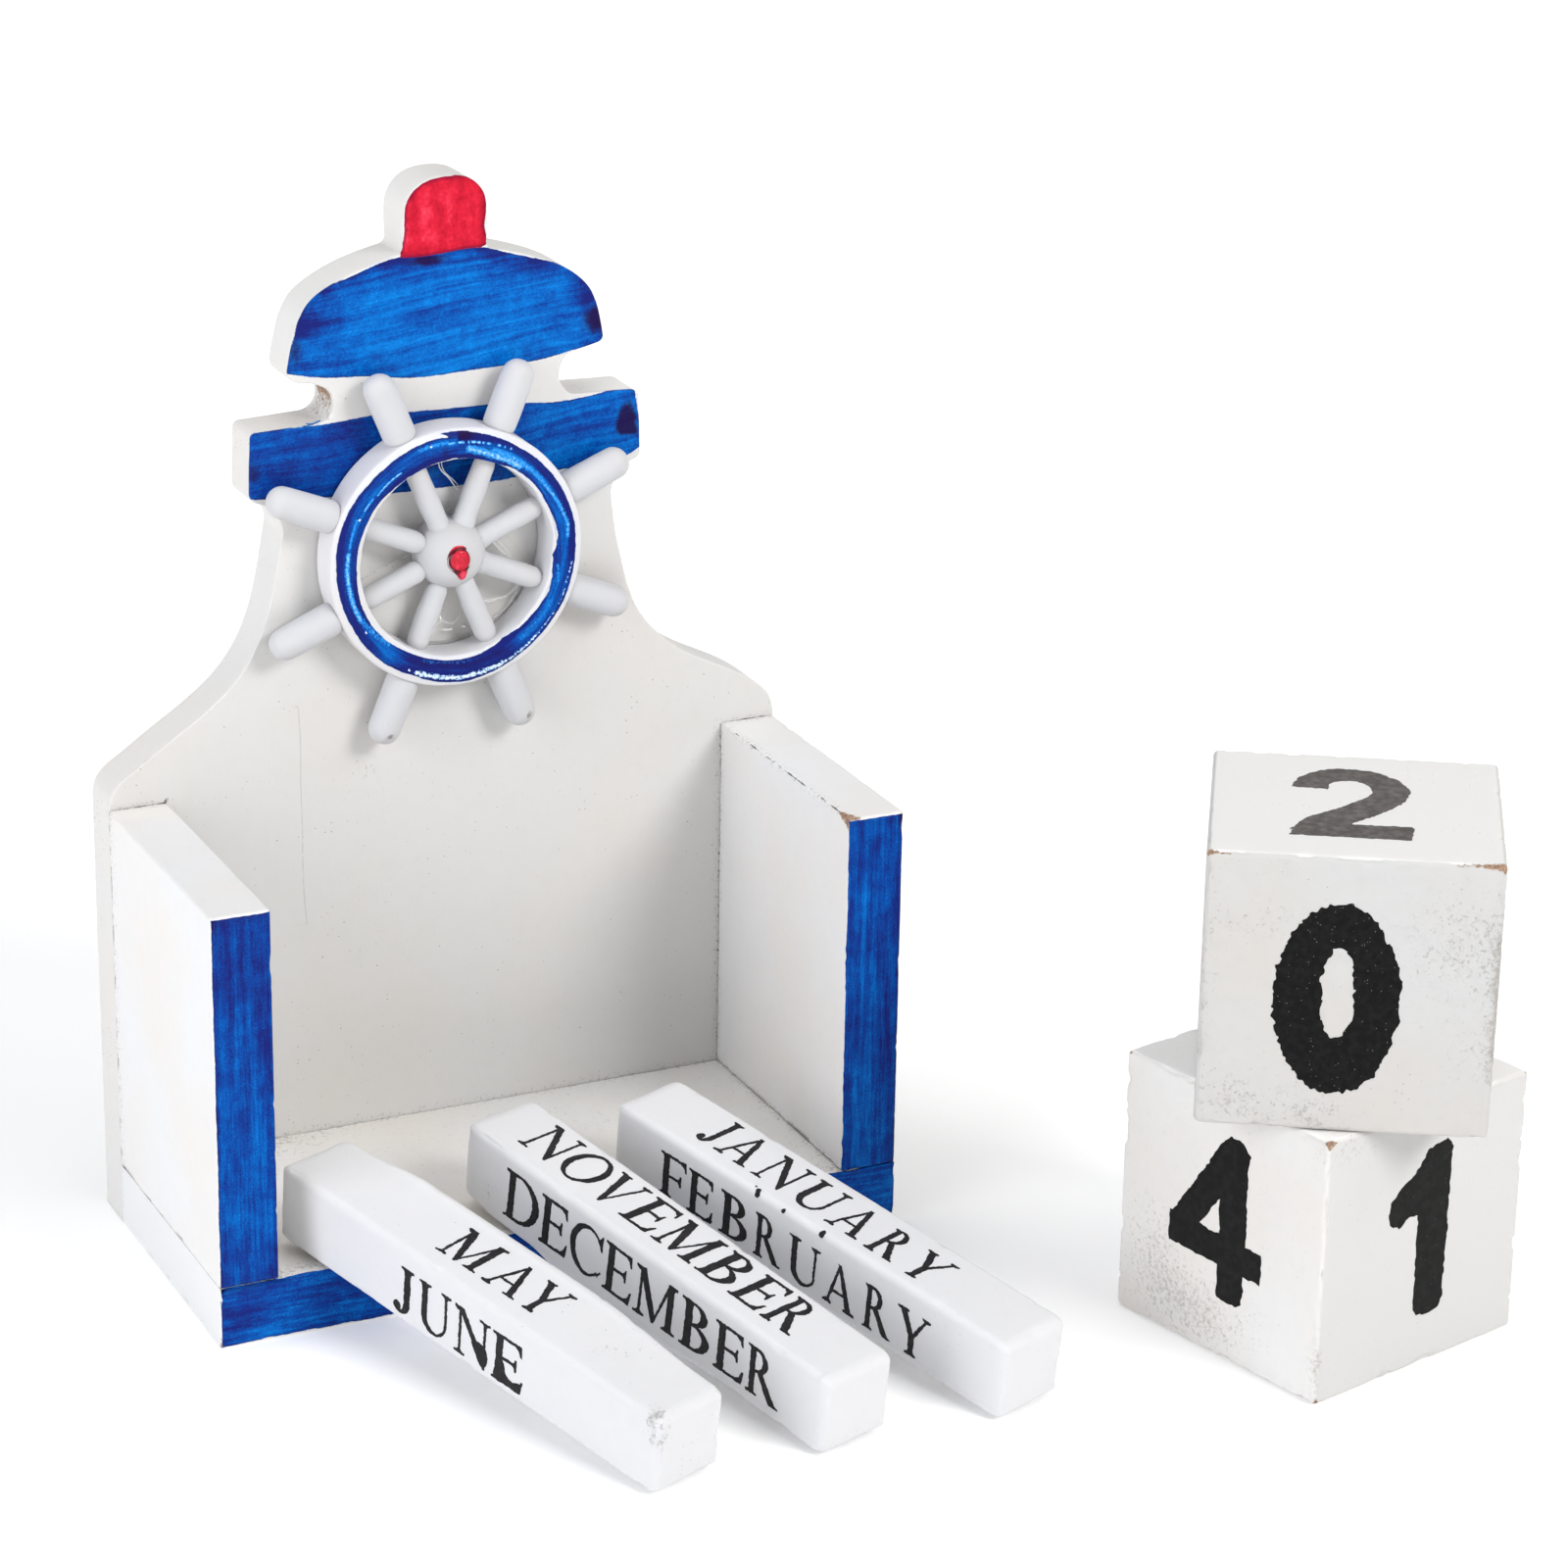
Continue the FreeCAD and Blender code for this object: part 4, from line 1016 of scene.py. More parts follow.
def build_board():
    arc_len = np.concatenate([[0], np.cumsum(np.linalg.norm(np.diff(loop, axis=0), axis=1))])[:nL]
    wob = vnoise(np.column_stack([loop / 4.0, np.zeros(nL)]), 3)
    wob2 = vnoise(np.column_stack([loop / 1.1, np.zeros(nL) + 5]), 4)
    rf = 0.20 + 0.18 * wob + 0.06 * wob2                # front edge rounding, hand sanded
    # knocks along the sawn edge, stronger round the two slots
    slot_near = np.exp(-(np.hypot(loop[:, 0] + 18, loop[:, 1] - 115.3) / 4.0) ** 2) + 0.6 * np.exp(-(np.hypot(loop[:, 0] - 18, loop[:, 1] - 116) / 4.0) ** 2)
    knock = sstep(vnoise(np.column_stack([loop / 1.7, np.zeros(nL) + 9]), 6), 0.74, 0.92) * (0.25 + 0.9 * slot_near)
    rf = rf + 0.45 * knock
    rf[(loop[:, 1] < 0.01)] = 0.3
    rings = []
    for ph in np.radians([0, 22.5, 45, 67.5, 90]):
        rings.append((rf * (1 - math.sin(ph)), rf * (1 - math.cos(ph))))
    for d in np.linspace(1.3, BACK_T - 0.9, 9):
        rings.append((np.zeros(nL), np.full(nL, d)))
    for ph in np.radians([90, 60, 30, 0]):
        rings.append((np.full(nL, 0.35 * (1 - math.sin(ph))), BACK_T - 0.35 * (1 - math.cos(ph))))
    V, ringid = [], []
    for k, (ins, dep) in enumerate(rings):
        q = loop - out_n * ins[:, None]
        Y = np.broadcast_to(dep, (nL,)) + Y_BOARD
        V.append(np.column_stack([q[:, 0], Y, q[:, 1]]))
    nr = len(rings)
    V = np.concatenate(V)
    # the band between the faces: shallow saw waviness, a little torn grain near the slots
    idx = np.arange(len(V)) % nL
    ring_no = np.arange(len(V)) // nL
    P = V.copy()
    dent = 0.03 + 0.07 * fbm(P / np.array([5.0, 9.0, 5.0]), 21, 3) + 0.22 * slot_near[idx] * sstep(fbm(P / np.array([1.3, 2.6, 1.3]), 31, 3), 0.50, 0.72)
    body = (ring_no >= 3) & (ring_no <= nr - 3)
    flat = loop[idx][:, 1] < 0.05                       # the underside stays flat
    push = np.where(body & ~flat, dent, 0.0)
    V[:, 0] -= nm[idx][:, 0] * push
    V[:, 2] -= nm[idx][:, 1] * push
    faces = []
    for k in range(nr - 1):
        for i in range(nL):
            j = (i + 1) % nL
            faces.append((k * nL + i, (k + 1) * nL + i, (k + 1) * nL + j, k * nL + j))
    # faces at front and back share the first and last ring
    def cap(ring, y, front):
        nonlocal V
        lp = V[ring * nL:(ring + 1) * nL][:, [0, 2]]
        pts, tris = fill_loop(lp, 0.80 if front else 2.2)
        base = len(V)
        inner = pts[nL:]
        V = np.concatenate([V, np.column_stack([inner[:, 0], np.full(len(inner), y), inner[:, 1]])])
        g = [ring * nL + i if i < nL else base + i - nL for i in range(len(pts))]
        for t in tris:
            a = tuple(g[i] for i in t)
            faces.append(a if front else a[::-1])
        return base
    b0 = cap(0, Y_BOARD, True)
    b1 = cap(nr - 1, Y_REAR, False)
    frontmask = np.zeros(len(V), bool)
    frontmask[:nL] = True
    frontmask[b0:b1] = True
    dfront = board_front_depth(V[:, [0, 1, 2]], None)
    V[frontmask, 1] += dfront[frontmask]
    for k in (1, 2):
        s = slice(k * nL, (k + 1) * nL)
        V[s, 1] += dfront[s] * (0.7, 0.3)[k - 1]
    backmask = np.zeros(len(V), bool)
    backmask[(nr - 1) * nL:nr * nL] = True
    backmask[b1:] = True
    V[backmask, 1] -= 0.02 + 0.10 * fbm(V[backmask][:, [0, 2, 1]] / np.array([24.0, 3.5, 9.0]), 44, 3)
    # attributes
    XZ = V[:, [0, 2]]
    front_y = V[:, 1] - Y_BOARD

    def uv(pts, du, dv):
        return [(u + du, v + dv) for u, v in pts]
    dome = uv([(29, 60.4), (29.2, 62.5), (29.9, 65), (30.7, 67.5), (32, 69.8), (33.5, 71.3), (36, 72.3), (40, 73.6), (44.5, 74.9), (50, 75), (58, 75.1), (60.5, 74.3), (66, 72.7), (69.5, 71.4), (72, 69.5), (73.8, 66.5), (74.8, 63), (75.2, 60.3)], -52, 60)
    dome_low = uv([(75.2, 60.3), (73, 59.9), (70.5, 59.5), (67, 58.8), (62, 58.4), (55, 58.2), (50, 58), (46, 58.1), (42, 58.7), (38, 59.1), (34, 59.4), (31, 60.0), (29, 60.4)], -52, 60)
    dome_poly = outline_of([dome, dome_low], 0.5)
    band = [uv(q, -52, 60) for q in (
        [(23.5, 52.9), (30, 52.9), (36, 53), (40.5, 53.4), (47, 53.3), (57, 53.1), (62, 52.9), (66, 52.5), (72, 52.6), (78, 53.1), (79.8, 52.9)],
        [(79.8, 52.9), (80.3, 50), (80.7, 46), (80.7, 44.6)],
        [(80.7, 44.6), (79, 43.6), (70, 42.6), (60, 42.1), (50, 42), (44, 42), (38, 42.2), (30, 43), (25, 43.3), (23, 43.6)],
        [(23, 43.6), (22.8, 45), (23.4, 50), (23.5, 52.9)])]
    band_poly = outline_of(band, 0.5)
    drip1 = np.array([(-19.95, 113.30), (-19.55, 113.18), (-19.1, 113.20), (-18.82, 113.36), (-19.0, 113.58), (-19.45, 113.68), (-19.85, 113.58)])
    drip2 = np.array([(-22.8, 113.16), (-21.5, 112.95), (-20.3, 112.78), (-19.8, 112.70), (-19.9, 112.86), (-21.0, 113.06), (-22.1, 113.28), (-22.8, 113.36)])
    lantern = outline_of([uv(q, -52, 60) for q in (
        [(45.3, 74.9), (45.6, 76), (45.95, 78), (46, 80), (46.3, 82.3), (47.5, 84), (49.5, 85.1), (53, 85.5), (56, 85.0), (57.5, 83.3), (57.8, 80), (57.7, 77.3), (58.0, 75.9), (57.4, 75.2)],
        [(57.4, 75.2), (55, 75.25), (52, 75.0), (48.5, 74.75), (45.3, 74.9)])], 0.4)
    far = front_y > 1.6
    def paint_sd(polys, smudge=0.0):
        s = np.full(len(V), -5.0)
        near = ~far
        q = XZ[near]
        v = np.max([sd_poly(q, p) for p in polys], axis=0)
        s[near] = np.minimum(v, 1.0 - front_y[near] * 1.6)
        return np.clip(s, -5, 5)
    sdb = paint_sd([dome_poly, band_poly, drip1, drip2])
    sdr = paint_sd([lantern])
    pool = np.zeros(len(V))
    for cx, cz, rx, rz, a in ((22.0, 123.6, 2.4, 2.3, 1.10), (-20.5, 129.0, 2.0, 1.6, 0.50), (-21.8, 123.4, 1.3, 3.2, 0.72), (-16.2, 130.6, 2.6, 0.9, 0.55), (-2.9, 134.15, 3.4, 0.62, 1.30), (-28.0, 107.2, 1.5, 2.4, 0.72),
                              (-12.5, 129.0, 2.5, 0.9, 0.35), (-28.0, 104.9, 1.5, 0.9, 0.35), (19.0, 131.0, 2.0, 1.0, 0.25)):
        pool = np.maximum(pool, a * np.exp(-(((XZ[:, 0] - cx) / max(rx, 1e-3)) ** 2 + ((XZ[:, 1] - cz) / max(rz, 1e-3)) ** 2)))
    front_v = front_y < 1.5
    run = np.array([(26.0, 112.3), (27.9, 112.0), (28.5, 108.6), (28.7, 106.2), (27.2, 106.1), (25.6, 106.3), (24.5, 106.9), (24.9, 109.4)])
    pool[front_v] = np.maximum(pool[front_v], 1.20 * sstep(sd_poly(XZ[front_v], run), -0.45, 1.15) * (0.55 + 0.45 * sstep(XZ[front_v, 1], 111.6, 109.4)))
    edge_dome = np.full(len(V), 9.0)
    edge_dome[front_v] = np.maximum(0.0, sd_poly(XZ[front_v], dome_poly))
    patchy = 0.35 + 0.65 * sstep(fbm(np.column_stack([XZ / 2.6, np.zeros(len(V))]), 63, 3), 0.40, 0.66)
    in_band = sstep(XZ[:, 1], 115.8, 114.5)
    in_dome = 1 - in_band
    tone = in_dome * (0.08 - 0.08 * sstep(XZ[:, 1], 128, 134)) + in_band * (-0.17 + 0.13 * sstep(XZ[:, 0], 0, 20) + 0.03 * np.sin(XZ[:, 0] * 0.55))
    upper = sstep(XZ[:, 1], 118.5, 121.5)
    tone = tone - 0.44 * patchy * upper * np.exp(-(edge_dome / 1.9) ** 2)
    tone = tone - patchy * upper * (0.40 * np.exp(-((XZ[:, 0] + 19.0) / 4.2) ** 2 - ((XZ[:, 1] - 127.6) / 3.2) ** 2) + 0.30 * np.exp(-((XZ[:, 0] - 20.5) / 2.6) ** 2 - ((XZ[:, 1] - 126.8) / 2.4) ** 2))
    tone = tone + 0.55 * (np.abs(XZ[:, 0] + 21.0) < 2.6) * sstep(XZ[:, 1], 112.6, 112.9) * in_band
    # the lantern's red tone: painted highlights as two lighter upright bands, darker towards its right side and top,
    # and a little darker overall
    red_tone_and_highlight = 0.30 * np.exp(-((XZ[:, 0] + 2.9) / 0.85) ** 2) * sstep(XZ[:, 1], 136.0, 137.5) + 0.16 * np.exp(-((XZ[:, 0] - 0.6) / 0.7) ** 2) * sstep(XZ[:, 1], 144.5, 142.0) - 0.16 * sstep(XZ[:, 0], 3.4, 5.4)
    red_tone_and_highlight = red_tone_and_highlight - 0.18 * sstep(XZ[:, 1], 143.6, 145.2) - 0.10
    over = sstep(XZ[:, 1], 135.2, 134.2) * sstep(-np.abs(XZ[:, 0] + 2.2), -5.2, -3.6)
    # joints: base, side panels and their foot line on the front; nothing elsewhere
    inside = (np.abs(XZ[:, 0]) < X_IN + 3) & (XZ[:, 1] < SIDE_TOP + 4) & (front_y < 1)
    joint = np.full(len(V), 9.0)
    jz = np.abs(XZ[:, 1] - BASE_T)
    jx = np.abs(np.abs(XZ[:, 0]) - X_IN)
    joint[inside] = np.minimum(jz, jx)[inside]
    tp = (np.abs(XZ[:, 0]) > X_IN) & (front_y < 1)
    joint[tp] = np.minimum(joint[tp], np.abs(XZ[tp, 1] - SIDE_TOP))
    joint[(front_y > 0.5)] = np.where(np.abs(XZ[front_y > 0.5, 0]) > 49, front_y[front_y > 0.5] * 0.9, 9.0)
    joint[(XZ[:, 1] > SIDE_TOP + 1)] = 9.0
    crack_line = [(-22.5, 73.5), (-22.25, 69.0), (-22.3, 62.0), (-22.22, 56.0), (-22.26, 49.0), (-22.1, 44.0), (-21.8, 40.5)]
    crack = np.full(len(V), 9.0)
    nb_ = (front_y < 1) & (np.abs(XZ[:, 0] + 22.2) < 4) & (XZ[:, 1] > 38) & (XZ[:, 1] < 76)
    if nb_.any():
        pl = catmull(crack_line, 1.0)
        d = seg_dist(XZ[nb_], pl)
        # signed side, so that the line is where it passes zero
        xs = np.interp(XZ[nb_, 1], pl[::-1, 1], pl[::-1, 0])
        crack[nb_] = np.where((XZ[nb_, 1] > 40.5) & (XZ[nb_, 1] < 73.5), XZ[nb_, 0] - xs, np.maximum(d, 0.3))
    edge_side = (front_y > 0.3) & (front_y < BACK_T - 0.3)
    wear = np.zeros(len(V))
    wl = np.zeros(nL)
    for cx, cz, s, a in ((-18.0, 115.4, 2.4, 0.46), (17.4, 115.2, 1.6, 0.26), (-46.5, 66.4, 0.9, 0.46), (-35.3, 74.2, 0.9, 0.50), (-29.9, 79.2, 0.9, 0.48), (-27.4, 83.8, 1.3, 0.36), (-25.6, 91.2, 1.2, 0.50), (-25.0, 95.6, 0.8, 0.40),
                        (36, 73.4, 9, 0.14), (44, 69.2, 5, 0.16), (-50, 40, 8, 0.05)):
        wl = np.maximum(wl, a * np.exp(-(np.hypot(loop[:, 0] - cx, loop[:, 1] - cz) / s) ** 2))
    rim_v = np.arange(nr * nL)
    wear[:nr * nL] = wl[rim_v % nL] * np.where((rim_v // nL) < 3, 1.0, np.where(np.abs(loop[rim_v % nL][:, 1] - 115.4) < 4, 0.75, 0.35))
    cut = (np.arange(len(V)) < nr * nL) & (front_y > 0.5)
    torn = np.where(cut, 0.80, 0.42) * np.exp(-((XZ[:, 0] + 17.2) / 1.8) ** 2 - ((XZ[:, 1] - 116.2) / 2.6) ** 2) * (front_y < 6.5)
    torn = torn + np.where(cut, 0.30, 0.40) * np.exp(-((XZ[:, 0] + 20.5) / 2.4) ** 2 - ((XZ[:, 1] - 115.4) / 2.2) ** 2) * (front_y < 6.5)
    torn = torn + np.where(cut, 0.44, 0.0) * np.exp(-((XZ[:, 0] + 19.5) / 2.6) ** 2 - ((XZ[:, 1] - 113.2) / 0.8) ** 2) * (front_y < 6.5)
    wear = np.maximum(wear, torn)
    # a drop of blue on the cut edge above the band, and painted light: the upward cut face at the band's right end made
    # brighter
    drop = cut & (np.hypot((XZ[:, 0] + 19.1) / 0.95, (front_y - 1.1) / 0.80) < 1.0) & (np.abs(XZ[:, 1] - 113.1) < 0.8)
    sdb = np.where(drop, 0.40, sdb)
    tone = np.where(drop, 0.50, tone)
    tint_and_painted_light = np.where(cut & (XZ[:, 0] > 18.0) & (XZ[:, 1] > 112.2) & (XZ[:, 1] < 114.5), 0.85, 0.0)
    # painted light: the board lighter inside the wheel, where the wheel's shade falls on it
    tint_and_painted_light = np.maximum(tint_and_painted_light, 0.55 * (front_y < 1.0) * sstep(np.hypot(XZ[:, 0] + 1.1, XZ[:, 1] - 93.65), 17.5, 14.5))
    dirt = 0.25 * np.exp(-(np.hypot(XZ[:, 0] + 16.5, XZ[:, 1] - 115) / 2.5) ** 2) + np.where(front_y < 1, 0.22 * np.exp(-(np.hypot(XZ[:, 0] + 13, XZ[:, 1] - 61) / 9) ** 2), 0)
    dirt = dirt + 0.42 * np.exp(-(np.hypot(XZ[:, 0] - 17.3, XZ[:, 1] - 114.9) / 0.9) ** 2) * (front_y < 1.5) + np.where(edge_side & (slot_near[np.arange(len(V)) % nL] > 0.2) & (np.arange(len(V)) < nr * nL), 0.22, 0)
    back = 1.0 * (front_y > BACK_T - 0.05)
    return make_obj("backboard_painted", V, faces, m_board, "holder",
                    attrs={"back": back, "sdb": sdb, "sdr": sdr, "pool": pool, "tone": tone, "red_tone_and_highlight": red_tone_and_highlight, "tint_and_painted_light": tint_and_painted_light, "over": over, "joint": joint, "crack": crack, "wear": wear, "dirt": dirt},
                    replaces=("backboard",))


build_board()


# --------------------------------------------------- base and side panels
def panel(name, lo, hi, rr, cell, mat, node, attrs_fn, seed):
    P, pos, nrm, quads = rbox(lo, hi, rr, cell, 3)
    e1, c1 = box_dist(P, lo, hi)
    dep = 0.015 + 0.06 * fbm(P / np.array([14.0, 22.0, 22.0]), seed, 3)
    fade = sstep(P[:, 1], Y_BOARD, Y_BOARD - 0.5)       # the joined face stays in its plane
    if name.startswith("base"):
        fade = fade * sstep(P[:, 2], 0.0, 0.3)
    # knocks on the free edges
    kn = sstep(fbm(P / 1.9, seed + 3, 3), 0.60, 0.80) * np.exp(-(e1 / 0.7) ** 2)
    pos = pos - nrm * ((dep + (0.35 if name.startswith("base") else 0.16) * kn) * fade)[:, None]
    return make_obj(name, pos, quads, mat, "holder", attrs=attrs_fn(P, pos, e1, c1, kn), replaces=(node,))


def side_attrs(side):
    outer = -HOLDER_W / 2 if side < 0 else HOLDER_W / 2

    def fn(P, pos, e1, c1, kn):
        x, y, z = P.T
        dy = y - Y_FRONT
        dx_out = np.abs(x - outer)                       # from the outside face
        # blue on the front edge: stops just short of the outside corner and creeps a little round the inside one
        wx = vnoise(np.column_stack([z / 3.1, np.zeros(len(z)), np.full(len(z), side * 3.3)]), 7) - 0.5
        wx2 = vnoise(np.column_stack([z / 0.9, np.zeros(len(z)), np.full(len(z), side * 5.3)]), 8) - 0.5
        lim_out = 0.10 + 0.22 * wx
        lim_in = 0.18 + 0.34 * wx + 0.26 * wx2
        inner_face = dx_out > SIDE_T - 1e-3
        outer_face = dx_out < 1e-3
        sx_out = dx_out - lim_out
        wrap = np.where(inner_face, lim_in + 0.35 - dy, 9)
        front = dy < 1e-3
        s = np.where(front, np.minimum(sx_out, SIDE_TOP - z - 0.35 - 0.2 * wx2), np.where(inner_face, lim_in - dy, np.where(outer_face, -0.3 - dy, -dy - 0.1)))
        s = np.where(front & (SIDE_T - dx_out < 0.4), np.minimum(s, 0.55 + 0.5 * wx), s)
        s = np.clip(s, -3, 3)
        tone = np.full(len(z), -0.15) + 0.06 * np.sin(z * 0.10 + 1.2 * side) + 0.10 * np.exp(-((dx_out - 5.4) / 1.5) ** 2)
        tone = tone - (0.01 if side > 0 else 0.07)
        pool = np.zeros(len(z))
        pool += 0.42 * np.exp(-(((z - SIDE_TOP + 0.9) / 1.5) ** 2)) * front
        pool += 0.55 * np.exp(-((dx_out - 0.2) / 0.55) ** 2) * front
        if side < 0:
            pool += 0.9 * np.exp(-((z - 13.2) / 0.8) ** 2 - ((SIDE_T - dx_out) / 0.6) ** 2) * (dy < 1.0)
        joint = np.minimum(np.abs(Y_BOARD - y), np.where(z < BASE_T + 4, z - BASE_T, 9))
        joint = np.where(front, (z - BASE_T) + 0.02, joint)
        joint = np.where(outer_face & (dy > 0.5), np.abs(Y_BOARD - y) * 0.45, joint)       # painted over along the foot
        wear = 0.20 * kn + 0.10 * np.exp(-(e1 / 0.5) ** 2)
        if side > 0:
            top_in = np.hypot(np.maximum(0, SIDE_T - dx_out - 0.15), SIDE_TOP - z) + 0.045
            joint = np.where((dy > 1.5) & (y < Y_BOARD - 2), np.minimum(joint, top_in), joint)
            cn = np.sqrt((dx_out - SIDE_T) ** 2 + dy ** 2 * 0.6 + (SIDE_TOP - z) ** 2 * 0.9)
            wear += 0.85 * np.exp(-(cn / 2.5) ** 2)
            wear += 0.36 * np.exp(-((dx_out - SIDE_T) ** 2 + (SIDE_TOP - z) ** 2) / 0.3) * sstep(dy, 9, 2)
        else:
            cn = np.sqrt((dx_out - 0.6) ** 2 + dy ** 2 + (SIDE_TOP - z) ** 2)
            wear += 0.48 * np.exp(-(cn / 1.1) ** 2)
            wear += 0.30 * np.exp(-((SIDE_T - dx_out) ** 2 + dy ** 2 + (SIDE_TOP - z) ** 2) / 0.8)
        return {"sdb": s, "tone": tone, "pool": pool, "joint": joint, "wear": wear}
    return fn


def base_attrs(P, pos, e1, c1, kn):
    x, y, z = P.T
    dy = y - Y_FRONT
    w = vnoise(np.column_stack([x / 2.7, np.zeros(len(x)), np.zeros(len(x))]), 17) - 0.5
    front = dy < 1e-3
    top = z > BASE_T - 1e-3
    s = np.where(front, np.minimum(np.minimum(z - 0.25 - 0.3 * w, 50 - np.abs(x) - 0.12), 3), np.where(top, 0.25 + 0.5 * w - dy, -dy - 0.15))
    s = np.clip(s, -3, 3)
    tone = np.full(len(x), -0.12) + 0.04 * np.sin(x * 0.4)
    pool = 0.45 * np.exp(-((z - BASE_T + 0.4) / 0.5) ** 2) * front * (np.abs(x) > X_IN - 1) + 0.30 * np.exp(-((z - 2.0) / 1.4) ** 2) * front
    joint = np.where(front, np.where(np.abs(x) > X_IN - 0.1, BASE_T - z + 0.02, 9), np.minimum(np.abs(Y_BOARD - y), 9))
    joint = np.where(top & ~front, np.minimum(joint, np.abs(np.abs(x) - X_IN)), joint)
    out_face = np.abs(x) > 50 - 1e-3
    joint = np.where(out_face, np.minimum(Y_BOARD - y, 9) + 0.03, joint)
    wear = 0.22 * kn + 0.36 * np.exp(-(((x + 50) ** 2 + dy ** 2) / 0.5)) * sstep(z, 9, 0.5)
    wear += 0.42 * np.exp(-(((x + 50) ** 2 + dy ** 2 + z ** 2) / 3.0))
    dirt = 0.30 * np.exp(-((Y_BOARD - y) / 5.0) ** 2) * top * sstep(-x, 8, 30) + 0.24 * top * sstep(dy, 6, 1) + 0.20 * top
    return {"sdb": s, "tone": tone, "pool": pool, "joint": joint, "wear": wear, "dirt": dirt, "tint_and_painted_light": 1.0 * out_face}


fr, jn = 0.45, 0.13
panel("base_panel_painted", (-50, Y_FRONT, 0), (50, Y_BOARD, BASE_T), ((0.16, 0.16), (fr, jn), (0.30, jn)), 0.85, m_base, "base_panel", base_attrs, 61)
panel("left_side_panel_painted", (-50, Y_FRONT, BASE_T), (-50 + SIDE_T, Y_BOARD, SIDE_TOP), ((fr, fr), (fr, jn), (jn, fr)), 0.70, m_side, "left_side_panel", side_attrs(-1), 71)
panel("right_side_panel_painted", (50 - SIDE_T, Y_FRONT, BASE_T), (50, Y_BOARD, SIDE_TOP), ((fr, fr), (fr, jn), (jn, fr)), 0.70, m_side, "right_side_panel", side_attrs(1), 81)


# --------------------------------------------------------------- the wheel
WM = Matrix.Translation(Vector((WHEEL_X, Y_BOARD - WHEEL_GAP, WHEEL_Z)) * MM) @ Matrix.Rotation(math.radians(90), 4, "X")


def lathe(profile, n, closed=False, seam=0.0):
    """profile is (r, z) points; turned about Z with n steps. Returns verts, quads, ring index, angle."""
    prof = np.array(profile, float)
    m = len(prof)
    th = np.linspace(0, 2 * math.pi, n, endpoint=False) + seam
    V = np.zeros((m, n, 3))
    V[..., 0] = prof[:, 0][:, None] * np.cos(th)
    V[..., 1] = prof[:, 0][:, None] * np.sin(th)
    V[..., 2] = prof[:, 1][:, None]
    F = []
    for i in range(m if closed else m - 1):
        a = i * n
        b = ((i + 1) % m) * n
        for j in range(n):
            k = (j + 1) % n
            F.append((a + j, a + k, b + k, b + j))
    return V.reshape(-1, 3), F, np.repeat(np.arange(m), n), np.tile(th, m)


def rim_profile():
    pts = []
    zb, zt = 0.0, RIM_DEPTH
    ro, ri = RIM_R_OUT, RIM_R_IN

    def rnd(cx, cz, r, a0, a1, n):
        for t in np.radians(np.linspace(a0, a1, n)):
            pts.append((cx + r * math.cos(t), cz + r * math.sin(t)))

    def face(r):                                        # the front is a low bead with its crest near r = 16
        return zt - 0.03 - 0.44 * (abs(r - 16.1) / 2.2) ** 2.0
    rnd(ro - 0.4, zb + 0.4, 0.4, -90, 0, 5)
    for z in np.linspace(0.8, zt - 1.25, 8)[1:-1]:
        pts.append((ro, z))
    rnd(ro - 0.50, face(ro - 0.50) - 0.50, 0.50, 0, 78, 7)
    for r in np.linspace(ro - 0.45, ri + 0.30, 28)[1:-1]:
        pts.append((r, face(r)))
    rnd(ri + 0.32, face(ri + 0.32) - 0.32, 0.32, 100, 180, 6)
    for z in np.linspace(zt - 0.95, 0.3, 8)[1:-1]:
        pts.append((ri, z))
    pts.append((ri + 0.1, zb + 0.05))
    pts.append((ri + 0.4, zb))
    for r in np.linspace(ri + 0.4, ro - 0.4, 6)[1:-1]:
        pts.append((r, zb))
    return pts


# where the ring of colour begins and ends across the rim's face: (degrees, radius)
RING_IN = [(92, 14.15), (102, 14.0), (116, 13.95), (131, 14.2), (144, 14.6), (157, 14.65), (170, 14.75), (182, 14.7), (196, 14.9), (212, 15.0), (226, 14.85),
           (243, 14.5), (260, 14.5), (274, 14.6), (283, 14.45), (298, 13.9), (313, 14.3), (326, 14.55), (335, 14.85), (348, 14.2), (355, 14.0), (366, 14.9),
           (374, 14.75), (385, 14.45), (398, 14.5), (414, 14.4), (430, 13.5), (445, 14.0)]
RING_OUT = [(93, 17.35), (100, 17.6), (110, 17.6), (124, 17.55), (138, 17.6), (151, 17.9), (164, 17.95), (177, 17.7), (193, 17.55), (207, 17.45), (221, 17.55),
            (234, 17.55), (248, 17.4), (261, 17.8), (275, 18.05), (286, 17.85), (299, 17.55), (315, 17.5), (331, 17.6), (343, 17.5), (360, 17.45),
            (370, 17.55), (382, 17.5), (393, 17.45), (405, 17.4), (418, 17.4), (432, 17.6), (444, 17.9), (448, 17.95)]
# painted highlights on the ring: lighter cyan and white streaks where its bead catches the light: (strength, half
# width, points)
PAINTED_HIGHLIGHTS = [
    (1.00, 0.15, [(122, 15.5), (130, 15.6), (138, 15.55)]),
    (0.95, 0.14, [(141, 15.8), (148, 15.9)]),
    (0.66, 0.26, [(154, 16.3), (161, 16.2), (168, 16.1)]),
    (0.84, 0.40, [(171, 16.1), (180, 16.15), (189, 16.05), (198, 16.05), (206, 15.95)]),
    (0.52, 0.55, [(206, 15.9), (215, 15.5), (227, 15.0)]),
    (0.30, 0.35, [(249, 15.0), (262, 14.95), (276, 15.0)]),
    (0.60, 0.34, [(109, 16.9), (101, 16.8), (95, 16.7)]),
    (0.86, 0.62, [(443.5, 15.55), (437, 15.25), (425, 15.05), (413, 15.2)]),
    (0.66, 0.50, [(430, 15.8), (421, 15.7), (411, 15.7), (394, 15.7)]),
    (0.74, 0.34, [(394, 15.7), (382, 16.1), (370, 16.5), (365, 16.2)]),
    (0.56, 0.28, [(349, 15.0), (341, 15.6)]),
    (0.40, 0.60, [(330, 15.9), (318, 15.6), (306, 15.6)]),
]
